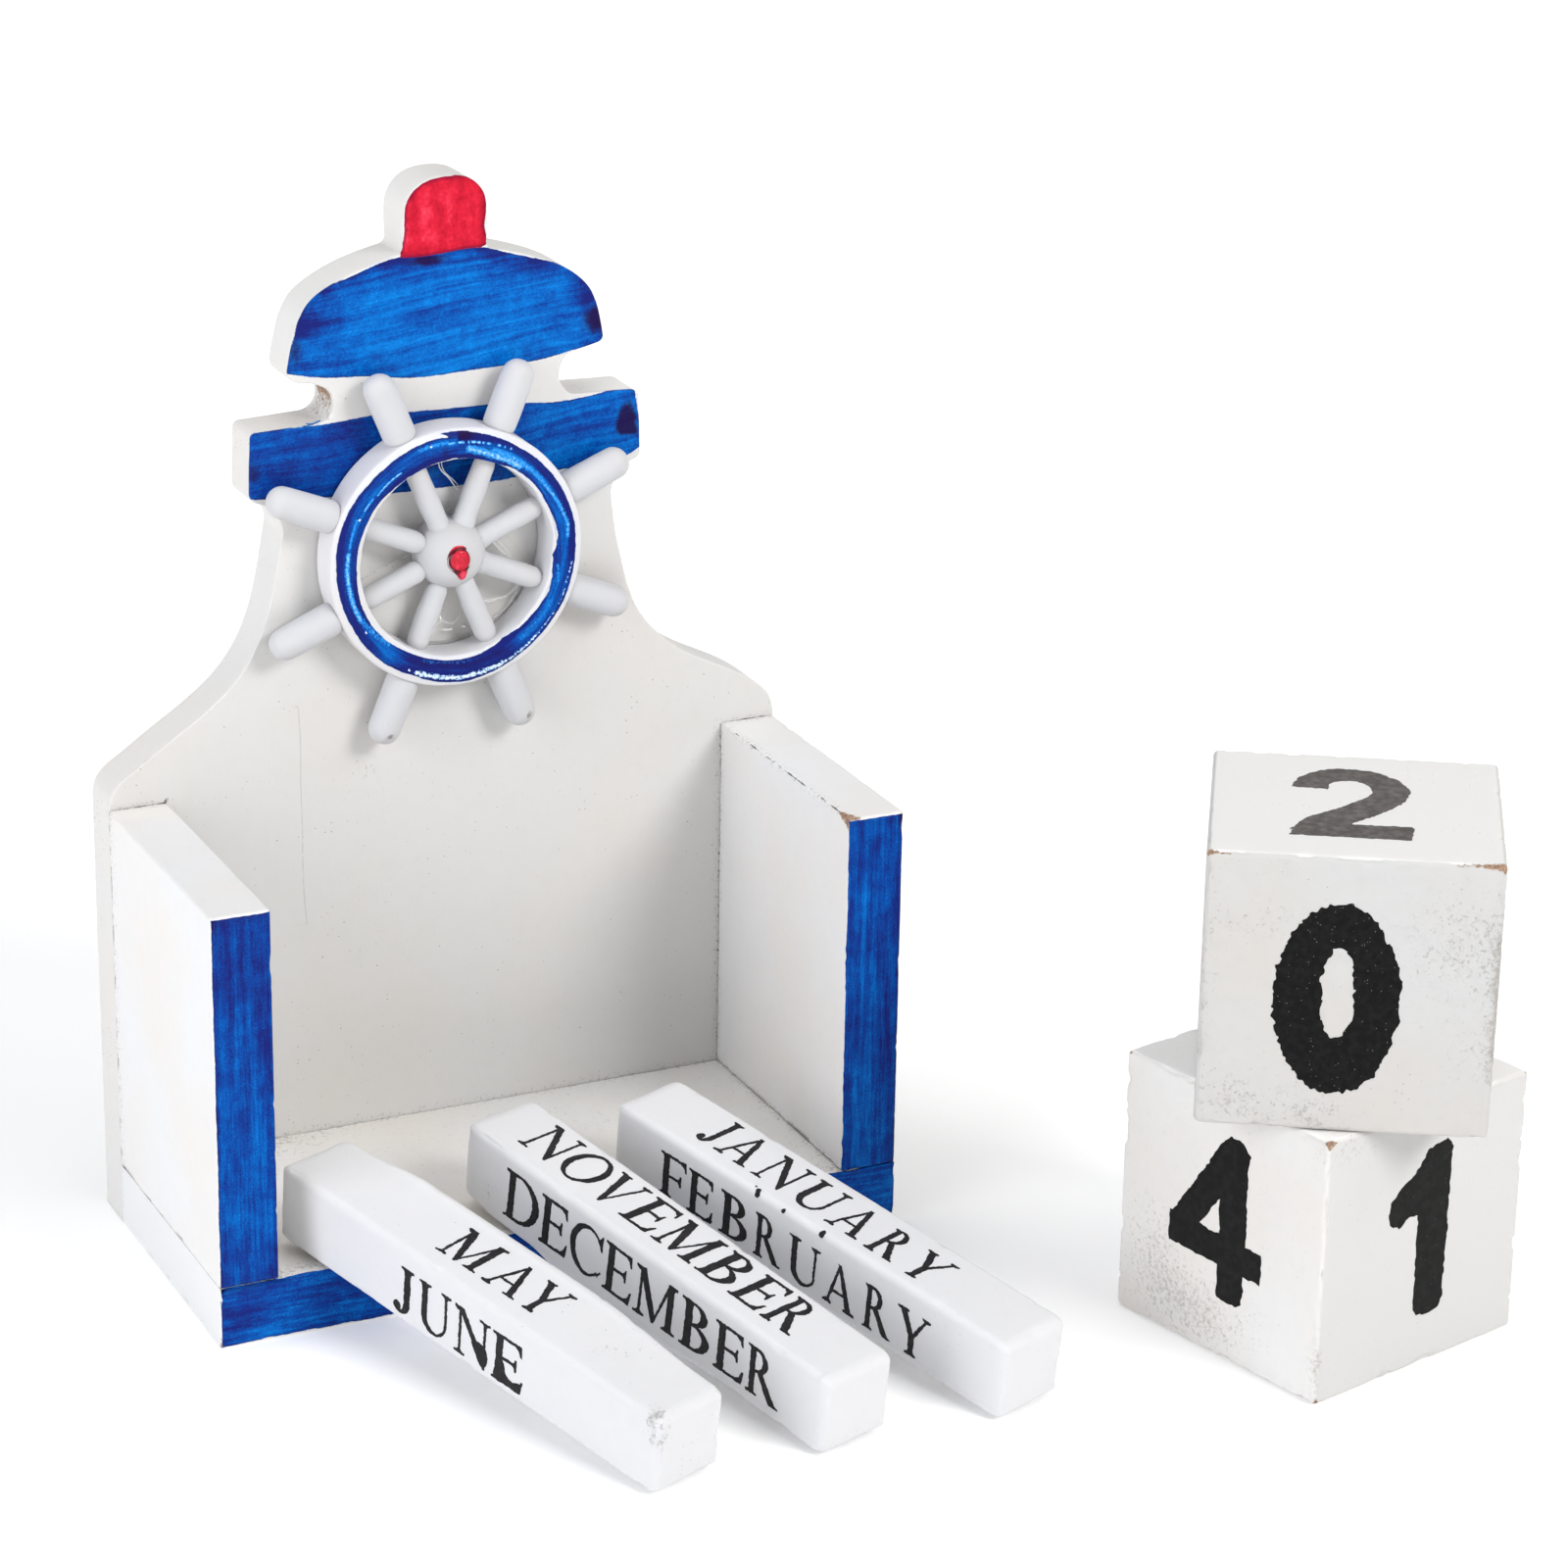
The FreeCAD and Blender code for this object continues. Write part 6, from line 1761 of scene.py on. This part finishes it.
def bar_matrix(x_rear, v_rear, yaw):
    yr = math.radians(yaw)
    reach = BAR_L * math.cos(yr) + 0.5 * BAR_A * math.sin(yr) - v_rear
    slope = math.asin(BASE_T / reach)
    return Matrix.Translation(Vector((0, Y_FRONT, BASE_T + FIT_GAP)) * MM) @ Matrix.Rotation(slope, 4, "X") \
        @ Matrix.Translation(Vector((x_rear, v_rear, 0)) * MM) @ Matrix.Rotation(yr, 4, "Z")


def bar_depth(seed, bi=2):
    """How deep the paint lies below the bar's sharp box. The two left bars are hand sawn and a little
    fuller along one edge of their rear half."""
    def f(P, N):
        d = 0.035 + 0.055 * fbm(P / np.array([6.0, 19.0, 6.0]), seed, 3) + 0.012 * fbm(P / 1.8, seed + 7, 2)
        run = -P[:, 1]
        across = np.clip((P[:, 0] + BAR_A / 2) / BAR_A, 0, 1)
        if bi == 0:
            w = sstep(run, 3, 17) * sstep(run, 72, 50)
            d = d - w * (1.00 * np.maximum(N[:, 2], 0) * across + 0.85 * np.maximum(N[:, 0], 0) * np.clip(P[:, 2] / BAR_A, 0, 1))
        elif bi == 1:
            low = np.clip(1 - P[:, 2] / BAR_A, 0, 1)
            d = d - sstep(run, 0, 8) * sstep(run, 58, 36) * 0.75 * np.maximum(-N[:, 0], 0) * (0.2 + 0.8 * low)
            d = d - sstep(run, 15.2, 21) * sstep(run, 58, 36) * 0.85 * np.maximum(-N[:, 2], 0) * (1 - across)
        return d
    return f


# text on the four long faces: (letter, from, to) along the bar from its rear end, then baseline
# and cap top as (at the first letter, at the last one)
def spread(word, u0, u1, gap=0.55):
    """Letters set side by side from u0 to u1 with their natural widths."""
    wid = {"A": 0.95, "B": 0.62, "C": 0.90, "D": 0.85, "E": 0.70, "F": 0.66, "G": 0.94, "H": 0.95, "I": 0.32, "J": 0.42, "L": 0.68, "M": 1.08, "N": 0.92, "O": 0.98, "P": 0.60, "R": 0.84, "S": 0.60, "T": 0.84, "U": 0.86, "V": 0.92, "Y": 0.90}
    w = [wid[c] for c in word]
    k = (u1 - u0 - gap * (len(word) - 1)) / sum(w)
    out, u = [], u0
    for c, x in zip(word, w):
        out.append((c, u, u + x * k))
        u += x * k + gap
    return out


TEXT = {
    "month_bar_left": {
        "top": ([("M", 28.4, 35.9), ("A", 37.3, 43.6), ("Y", 43.6, 49.1)], (3.15, 3.15), (9.4, 9.35)),
        "left": ([("J", 24.2, 27.95), ("U", 29.1, 35.3), ("N", 36.2, 43.0), ("E", 43.6, 49.6)], (1.6, 1.5), (8.85, 8.7)),
        "bottom": (spread("JULY", 26.0, 48.0, 1.1), (2.4, 2.4), (9.5, 9.5)),
        "right": (spread("AUGUST", 18.5, 55.0, 0.9), (2.3, 2.3), (9.4, 9.4))},
    "month_bar_middle": {
        "top": ([("N", 7.9, 14.5), ("O", 15.2, 22.0), ("V", 22.1, 28.3), ("E", 29.4, 35.2), ("M", 36.0, 43.9), ("B", 44.9, 50.5), ("E", 51.6, 57.2), ("R", 57.9, 63.7)], (2.85, 2.95), (9.85, 10.0)),
        "left": ([("D", 9.95, 17.1), ("E", 17.55, 23.45), ("C", 23.95, 30.55), ("E", 31.1, 36.9), ("M", 37.5, 45.7), ("B", 46.6, 52.15), ("E", 53.2, 59.0), ("R", 59.6, 65.8)], (2.3, 2.1), (9.6, 9.4)),
        "bottom": (spread("SEPTEMBER", 7.0, 66.5, 0.9), (2.4, 2.4), (9.4, 9.4)),
        "right": (spread("OCTOBER", 12.0, 62.0, 1.0), (2.2, 2.3), (9.3, 9.3))},
    "month_bar_right": {
        "top": ([("J", 12.9, 15.75), ("A", 16.7, 22.8), ("N", 24.1, 30.2), ("U", 31.4, 37.4), ("A", 38.6, 44.6), ("R", 46.2, 51.2), ("Y", 52.3, 57.9)], (2.9, 2.1), (9.9, 8.6)),
        "left": ([("F", 9.7, 14.8), ("E", 15.3, 20.4), ("B", 21.7, 27.0), ("R", 28.5, 33.6), ("U", 35.0, 40.8), ("A", 41.9, 47.7), ("R", 49.4, 54.5), ("Y", 55.4, 61.3)], (2.2, 1.55), (8.9, 8.35)),
        "bottom": (spread("MARCH", 20.0, 54.0, 1.1), (2.4, 2.4), (9.4, 9.4)),
        "right": (spread("APRIL", 22.0, 52.0, 1.1), (2.4, 2.3), (9.4, 9.4))},
}
FACES = {"top": ((-BAR_A / 2, 0, BAR_A), (1, 0, 0), (0, 0, 1)), "left": ((-BAR_A / 2, 0, 0), (0, 0, 1), (-1, 0, 0)),
         "bottom": ((BAR_A / 2, 0, 0), (-1, 0, 0), (0, 0, -1)), "right": ((BAR_A / 2, 0, BAR_A), (0, 0, -1), (1, 0, 0))}


def warp2(seed, amp1, len1, amp2, len2):
    def f(d):
        p = np.column_stack([d / len1, np.zeros(len(d)) + seed * 3.7])
        q = np.column_stack([d / len2, np.zeros(len(d)) + seed * 5.1])
        o = np.column_stack([vnoise(p, seed) - 0.5, vnoise(p, seed + 40) - 0.5]) * 2 * amp1
        o += np.column_stack([vnoise(q, seed + 80) - 0.5, vnoise(q, seed + 120) - 0.5]) * 2 * amp2
        return d + o
    return f


def fat(poly, k):
    """Grows a polygon outwards by about k, for ink that has bled a little."""
    p = np.array(poly, float)
    if np.sum(p[:, 0] * np.roll(p[:, 1], -1) - np.roll(p[:, 0], -1) * p[:, 1]) < 0:
        p = p[::-1]
    e = np.roll(p, -1, 0) - p
    L = np.linalg.norm(e, axis=1, keepdims=True)
    e = e / np.maximum(L, 1e-9)
    n = np.column_stack([e[:, 1], -e[:, 0]])
    m = n + np.roll(n, 1, 0)
    ln = np.linalg.norm(m, axis=1, keepdims=True)
    m = m / np.maximum(ln, 0.35)
    return p + m * k


BLOBS = {
    ("month_bar_left", "left"): [
        [(39.3, 5.0), (40.6, 5.5), (42.2, 5.2), (42.9, 4.2), (43.0, 3.0), (42.6, 1.9), (41.9, 1.4), (41.1, 1.8), (40.3, 3.0)],
        [(44.2, 5.3), (45.0, 5.6), (45.9, 4.6), (46.2, 3.4), (47.4, 2.6), (48.8, 2.9), (49.6, 3.1), (49.5, 1.7), (48.6, 1.15), (46.9, 1.5), (44.6, 1.1), (43.6, 1.6), (43.7, 3.2)]],
}
DOTS = {("month_bar_right", "left"): [(28.2, 11.1, 0.42), (33.2, 11.1, 0.34), (40.5, 11.15, 0.46), (20.2, 2.6, 0.2)],
        ("month_bar_right", "top"): [(28.0, 0.62, 0.36), (27.2, 0.95, 0.18), (40.6, 0.55, 0.32)]}


def build_bar(bi, name, x_rear, v_rear, yaw):
    lo, hi = (-BAR_A / 2, -BAR_L, 0), (BAR_A / 2, 0, BAR_A)
    P, pos, nrm, quads = rbox(lo, hi, ((1.15, 1.15), (2.1, 2.5), (1.05, 1.25)), 0.72, 7)
    e1, c1 = box_dist(P, lo, hi)
    dep = bar_depth(30 + bi * 5, bi)
    kn = sstep(fbm(P / 2.4, 90 + bi, 3), 0.58, 0.80) * np.exp(-(e1 / 1.2) ** 2)
    pos = pos - nrm * (dep(P, nrm) + 0.22 * kn)[:, None]
    wear = 0.18 * kn + 0.08 * np.exp(-(e1 / 0.6) ** 2)
    dirt = np.zeros(len(P))

    def spot(cx, cy, cz, s, a, arr):
        arr += a * np.exp(-(((P[:, 0] - cx) ** 2 + (P[:, 1] - cy) ** 2 + (P[:, 2] - cz) ** 2) / s ** 2))
    if bi == 0:
        spot(-BAR_A / 2 + 0.6, -BAR_L + 1.0, BAR_A - 0.5, 1.4, 0.50, wear)
        spot(-BAR_A / 2 + 0.8, -BAR_L + 1.5, BAR_A - 0.4, 2.0, 0.62, dirt)
        spot(-BAR_A / 2 + 0.5, -BAR_L + 0.5, BAR_A - 3.5, 1.8, 0.48, dirt)
        spot(-BAR_A / 2 + 0.2, -BAR_L, 1.2, 1.0, 0.30, wear)
        spot(1.0, -60.0, BAR_A, 5.0, 0.30, dirt)
        spot(0.0, -10.0, BAR_A, 6.0, 0.16, dirt)
    elif bi == 1:
        spot(BAR_A / 2, -BAR_L, BAR_A - 1.0, 1.2, 0.25, dirt)
        spot(0, -BAR_L, 0.5, 2.5, 0.28, dirt)
        spot(BAR_A / 2, -12.0, BAR_A, 1.2, 0.25, dirt)
        spot(BAR_A / 2, -2.0, BAR_A, 1.3, 0.30, dirt)
        spot(-BAR_A / 2, -6.5, 3.8, 2.2, 0.40, dirt)
        spot(-BAR_A / 2 + 0.5, -1.0, BAR_A - 1.0, 1.5, 0.34, dirt)
    else:
        spot(-BAR_A / 2 + 0.4, -BAR_L + 0.4, BAR_A - 1.4, 1.1, 0.52, wear)
        spot(-BAR_A / 2 + 1.2, -BAR_L + 2.2, BAR_A - 1.0, 1.4, 0.34, dirt)
    M = bar_matrix(x_rear, v_rear, yaw)
    make_obj(name + "_painted", pos, quads, m_bars[bi], name, attrs={"wear": wear, "dirt": dirt}, matrix=M, replaces=(name,))
    ink = Ink()
    for face, (letters, base, cap) in TEXT[name].items():
        org, up, nor = FACES[face]
        u_first, u_last = letters[0][1], letters[-1][2]
        for li, (ch, u0, u1) in enumerate(letters):
            polys = [np.array(q, float) for q in glyph(ch)]
            allp = np.concatenate(polys)
            x0, x1 = allp[:, 0].min(), allp[:, 0].max()
            t = ((u0 + u1) / 2 - u_first) / (u_last - u_first)
            b, c = base[0] + (base[1] - base[0]) * t, cap[0] + (cap[1] - cap[0]) * t
            tilt = (vnoise(np.array([[li * 1.7, bi * 3.1 + hash_face(face), 0.5]]), 8)[0] - 0.5) * 0.35
            out = []
            for q in polys:
                u = u0 + (q[:, 0] - x0) / (x1 - x0) * (u1 - u0)
                v = b + q[:, 1] * (c - b) + tilt * ((q[:, 0] - x0) / (x1 - x0) - 0.5)
                out.append(fat(np.column_stack([u, v]), 0.045))
            pv, tris, edges = union_fill(out, 0.16, warp2(bi * 11 + li + 1, 0.055, 0.9, 0.075, 0.34))
            ink.put(pv, tris, edges, org, (0, -1, 0), up, nor, dep)
        for q in BLOBS.get((name, face), []):
            q = np.array(q)
            mid = q.mean(0)
            c = catmull(mid + (q - mid) * 0.84, 0.18, closed=True)
            pv, tris, edges = union_fill([c], 0.16, warp2(5, 0.05, 0.9, 0.08, 0.3))
            ink.put(pv, tris, edges, org, (0, -1, 0), up, nor, dep, over=0.036)
        for cx, cy, r in DOTS.get((name, face), []):
            c = np.array(earc(cx, cy, r, r * 0.85, 0, 345, 16))
            pv, tris, edges = union_fill([c], 0.10, warp2(9, 0.05, 0.5, 0.06, 0.22))
            ink.put(pv, tris, edges, org, (0, -1, 0), up, nor, lambda p, n, d=dep, cc=cy: d(p, n) + edge_drop(p, BAR_A / 2, 0, BAR_A, 1.15), over=0.05)
    make_obj(name + "_lettering", ink.v, ink.f, ink_bar, name, matrix=M, smooth=False)


def hash_face(f):
    return {"top": 0.0, "left": 1.3, "bottom": 2.9, "right": 4.1}[f]


def edge_drop(p, hx, zlo, zhi, r):
    """How far a rounded long edge lies below the flat faces there."""
    ax = np.maximum(0, np.abs(p[:, 0]) - (hx - r))
    az = np.maximum(0, np.maximum(p[:, 2] - (zhi - r), (zlo + r) - p[:, 2]))
    m = np.minimum(ax, az)
    return r - np.sqrt(np.maximum(0, r * r - m * m))


for bi, (nm_, xr, vr, yw) in enumerate(BARS):
    build_bar(bi, nm_, xr, vr, yw)


# ---------------------------------------------------------------- day cubes
def cube_depth(seed, amp=1.0):
    def f(P, N):
        return 0.045 + amp * (0.075 * fbm(P / 13.0, seed, 3) + 0.040 * fbm(P / 2.0, seed + 5, 3))
    return f


CF = CUBE / 2
CFACES = {"front": ((-CF, -CF, 0), (0, 0, 1), (0, -1, 0)), "left": ((-CF, CF, 0), (0, 0, 1), (-1, 0, 0)),
          "back": ((CF, CF, 0), (0, 0, 1), (0, 1, 0)), "right": ((CF, -CF, 0), (0, 0, 1), (1, 0, 0)),
          "top": ((-CF, -CF, CUBE), (0, 1, 0), (0, 0, 1)), "bottom": ((-CF, CF, 0), (0, -1, 0), (0, 0, -1))}


def build_cube(name, body, cx, cy, z0, yaw, mat, digits, seed, ink_mat, rough):
    lo, hi = (-CF, -CF, 0), (CF, CF, CUBE)
    r = 0.85
    P, pos, nrm, quads = rbox(lo, hi, ((r, r), (r, r), (r, r)), 0.62, 4)
    e1, c1 = box_dist(P, lo, hi)
    dep = cube_depth(seed, 1.0)
    kn = sstep(fbm(P / 2.1, seed + 9, 4), 0.54, 0.80) * np.exp(-(e1 / 0.8) ** 2)
    pos = pos - nrm * (dep(P, nrm) + 0.50 * kn)[:, None]
    wear = 0.26 * kn + 0.10 * np.exp(-(e1 / 0.5) ** 2) + 0.16 * np.exp(-(c1 / 1.4) ** 2)
    dirt = np.zeros(len(P))

    def spot(cx_, cy_, cz_, s, a, arr, st=(1, 1, 1)):
        arr += a * np.exp(-((((P[:, 0] - cx_) / st[0]) ** 2 + ((P[:, 1] - cy_) / st[1]) ** 2 + ((P[:, 2] - cz_) / st[2]) ** 2) / s ** 2))
    if body == "day_cube_upper":
        spot(-CF, -CF, CUBE, 1.6, 0.45, wear)
        spot(-CF + 3.5, -CF, CUBE, 1.6, 0.42, wear, (2.2, 1, 0.6))
        spot(CF - 3.0, -CF, CUBE, 2.0, 0.62, wear, (2.4, 1, 0.6))
        spot(CF, -CF, CUBE, 1.5, 0.40, wear)
        spot(0.0, CF, CUBE, 1.4, 0.60, wear, (2.0, 1, 1))
        spot(-2, -CF, CUBE, 1.2, 0.30, wear, (5, 1, 0.5))
        spot(CF, -CF, 8, 1.0, 0.22, wear, (1, 1, 7))
        spot(-CF, -CF, 20, 1.0, 0.20, wear, (1, 1, 9))
        spot(CF - 5, -CF, 27, 8.0, 0.40, dirt)
        spot(-CF, -CF, 20, 2.0, 0.40, dirt, (1, 1, 7))
        spot(CF, -CF, 18, 1.6, 0.46, dirt, (1, 1, 9))
        spot(-CF + 8, -CF, 29, 4.5, 0.30, dirt, (1.6, 1, 1))
        spot(-4, -CF, 1.0, 6.0, 0.42, dirt)
        spot(-CF + 5, -CF, 4.0, 5.0, 0.40, dirt)
        spot(CF - 3, -CF, 12, 6.0, 0.24, dirt)
    else:
        spot(-CF, -CF, CUBE, 1.5, 0.62, wear)
        spot(-CF + 1, -CF, CUBE, 1.0, 0.30, wear, (2, 1, 1))
        spot(-CF, CF, CUBE, 1.5, 0.55, wear)
        spot(CF, -CF, CUBE, 1.4, 0.45, wear)
        spot(-CF, -CF, 0.4, 1.6, 0.45, wear)
        spot(-CF, -CF, 12, 0.9, 0.18, wear, (1, 1, 10))
        spot(CF, -CF, 20, 0.9, 0.25, wear, (1, 1, 12))
        spot(-CF, 4, 5.0, 8.0, 0.46, dirt, (1, 2.0, 0.8))
        spot(-CF, -CF, 6, 1.6, 0.46, dirt, (1, 1, 5))
        spot(0, -CF, CUBE, 4.0, 0.40, dirt, (1.6, 1, 1))
        spot(-CF, 12, 14, 7.0, 0.34, dirt)
        spot(-CF + 3, -CF, CUBE - 2, 5.0, 0.36, dirt, (2, 1, 0.7))
    M = Matrix.Translation(Vector((cx, cy, z0)) * MM) @ Matrix.Rotation(math.radians(yaw), 4, "Z")
    # tint attribute: painted light on both cubes' upward faces, and painted shade on the lower cube's front
    make_obj(name + "_painted", pos, quads, mat, body, attrs={"wear": wear, "dirt": dirt, "tint_and_painted_light": sstep(nrm[:, 2], 0.80, 0.98) if body == "day_cube_upper" else sstep(nrm[:, 2], 0.80, 0.98) - 0.95 * sstep(-nrm[:, 1], 0.70, 0.95)}, matrix=M, replaces=(name,))
    ink, worn = Ink(), Ink()
    for face, ch in digits.items():
        org, up, nor = CFACES[face]
        right = np.cross(up, nor)
        fine = (0.10, 0.16) if face == "top" else rough
        pv, tris, edges = union_fill([np.array(q) for q in digit(ch)], 0.20, warp2(seed + ord(ch), fine[0], 1.6, fine[1], 0.55), cell=1.4)
        dest = worn if face == "top" and body == "day_cube_upper" else ink
        dest.put(pv, tris, edges, org, right, up, nor, dep, over=0.03, under=0.10)
    make_obj(name + "_numerals", ink.v, ink.f, ink_mat, body, matrix=M, smooth=False)
    if worn.v:
        make_obj(name + "_numeral_top", worn.v, worn.f, ink_cube_top, body, matrix=M, smooth=False)


build_cube("day_cube_lower", "day_cube_lower", 88.89, -91.69 + Y_BOARD, 0.0, 14.3, m_cube_lo,
           {"left": "4", "front": "1", "back": "2", "right": "5", "top": "0", "bottom": "3"}, 101, ink_cube_lo, (0.16, 0.16))
build_cube("day_cube_upper", "day_cube_upper", 87.99, -96.19 + Y_BOARD, CUBE + 0.02, -31.5, m_cube_up_shaded,
           {"front": "0", "top": "2", "left": "6", "back": "7", "right": "8", "bottom": "1"}, 131, ink_cube, (0.20, 0.30))


# ------------------------------------------------------- floor, light, camera
def build_stage():
    k = Mat("studio_floor_white")
    p = k.pos()
    n = k.noise(p, 0.01, 3, 0.5)
    xyz = k.xyz(p)
    away = k.math("SQRT", k.add(k.mul(xyz[0], xyz[0]), k.mul(xyz[1], xyz[1])))
    glow = k.ramp(k.mul(away, 1.0 / 3000.0), [(0.0, (0.17,) * 3), (0.05, (0.19,) * 3), (0.15, (0.32,) * 3), (0.33, (0.55,) * 3), (1.0, (0.98,) * 3)])
    k.set(Base_Color=k.mix(n, (0.90, 0.90, 0.90), (0.92, 0.92, 0.92)), Roughness=0.9, Normal=k.bump(k.noise(p, 0.8, 2, 0.5), 0.05, 0.02), Emission_Color=glow)
    k.b.inputs["Specular IOR Level"].default_value = 0.1
    k.b.inputs["Emission Strength"].default_value = SWEEP
    me = bpy.data.meshes.new("studio_floor")
    s = 6.0
    me.from_pydata([(-s, -s, -0.00005), (s, -s, -0.00005), (s, s, -0.00005), (-s, s, -0.00005)], [], [(0, 1, 2, 3)])
    me.materials.append(k.m)
    o = bpy.data.objects.new("studio_floor", me)
    bpy.context.scene.collection.objects.link(o)


# strengths of the studio: the sweep's own brightness, the open surroundings, and the soft boxes
SWEEP = 1.0
WORLD_LIGHT = 0.275
LIGHTS = [
    ("key_a", (0.55, -1.10, 0.85), 1.3, 0.50, 9.4, (1.0, 0.995, 0.985)),
    ("key_b", (0.88, -0.48, 0.85), 1.3, 0.60, 2.1, (1.0, 0.995, 0.985)),
    ("left_a", (-0.98, -0.25, 0.40), 1.6, 1.3, 17.0, (0.935, 0.955, 1.0)),
    ("top_a", (0.0, 0.10, 1.0), 1.6, 1.3, 9.0, (1.0, 1.0, 1.0)),
]
build_stage()

world = bpy.data.worlds.new("studio_world")
bpy.context.scene.world = world
world.use_nodes = True
wt = world.node_tree
bg = wt.nodes.get("Background") or wt.nodes.new("ShaderNodeBackground")
tc_ = wt.nodes.new("ShaderNodeTexCoord")
sp_ = wt.nodes.new("ShaderNodeSeparateXYZ")
wt.links.new(tc_.outputs["Generated"], sp_.inputs[0])
cr_ = wt.nodes.new("ShaderNodeValToRGB")
wt.links.new(sp_.outputs["Z"], cr_.inputs[0])
ce_ = cr_.color_ramp.elements
ce_[0].position, ce_[0].color = 0.035, (1.0, 1.0, 1.0, 1.0)
ce_[1].position, ce_[1].color = 0.12, (WORLD_LIGHT * 0.985, WORLD_LIGHT * 0.990, WORLD_LIGHT, 1.0)
wt.links.new(cr_.outputs[0], bg.inputs[0])
bg.inputs[1].default_value = 1.0


def area(name, direction, distance, size, energy, color=(1, 1, 1), target=(0.02, -0.03, 0.05)):
    L = bpy.data.lights.new(name, "AREA")
    L.shape = "DISK"
    L.size = size
    L.energy = energy
    L.color = color
    o = bpy.data.objects.new(name, L)
    bpy.context.scene.collection.objects.link(o)
    d = Vector(direction).normalized()
    o.location = Vector(target) + d * distance
    o.rotation_mode = "QUATERNION"
    o.rotation_quaternion = (-d).to_track_quat("-Z", "Y")
    return o


for light in LIGHTS:
    if light[4] > 0:
        area(*light)

cam_data = bpy.data.cameras.new("camera")
cam_data.sensor_fit = "AUTO"
cam_data.sensor_width = 36.0
cam_data.lens = 4853.26 * 36.0 / 1600.0
cam_data.clip_start = 0.01
cam_data.clip_end = 50.0
cam = bpy.data.objects.new("camera", cam_data)
bpy.context.scene.collection.objects.link(cam)
az, el, rho = (math.radians(v) for v in (25.6566223, 20.6348154, 0.97807423))
d = Vector((math.sin(az) * math.cos(el), math.cos(az) * math.cos(el), -math.sin(el)))
r = Vector((math.cos(az), -math.sin(az), 0))
u = r.cross(d)
r2 = r * math.cos(rho) + u * math.sin(rho)
u2 = -r * math.sin(rho) + u * math.cos(rho)
C = Vector((-0.228525, -0.566466, 0.294663))
m = Matrix.Identity(4)
for i, col_ in enumerate((r2, u2, -d)):
    for j in range(3):
        m[j][i] = col_[j]
m.translation = C
cam.matrix_world = m
bpy.context.scene.camera = cam
bpy.context.scene.view_settings.view_transform = "Standard"
bpy.context.scene.view_settings.look = "None"
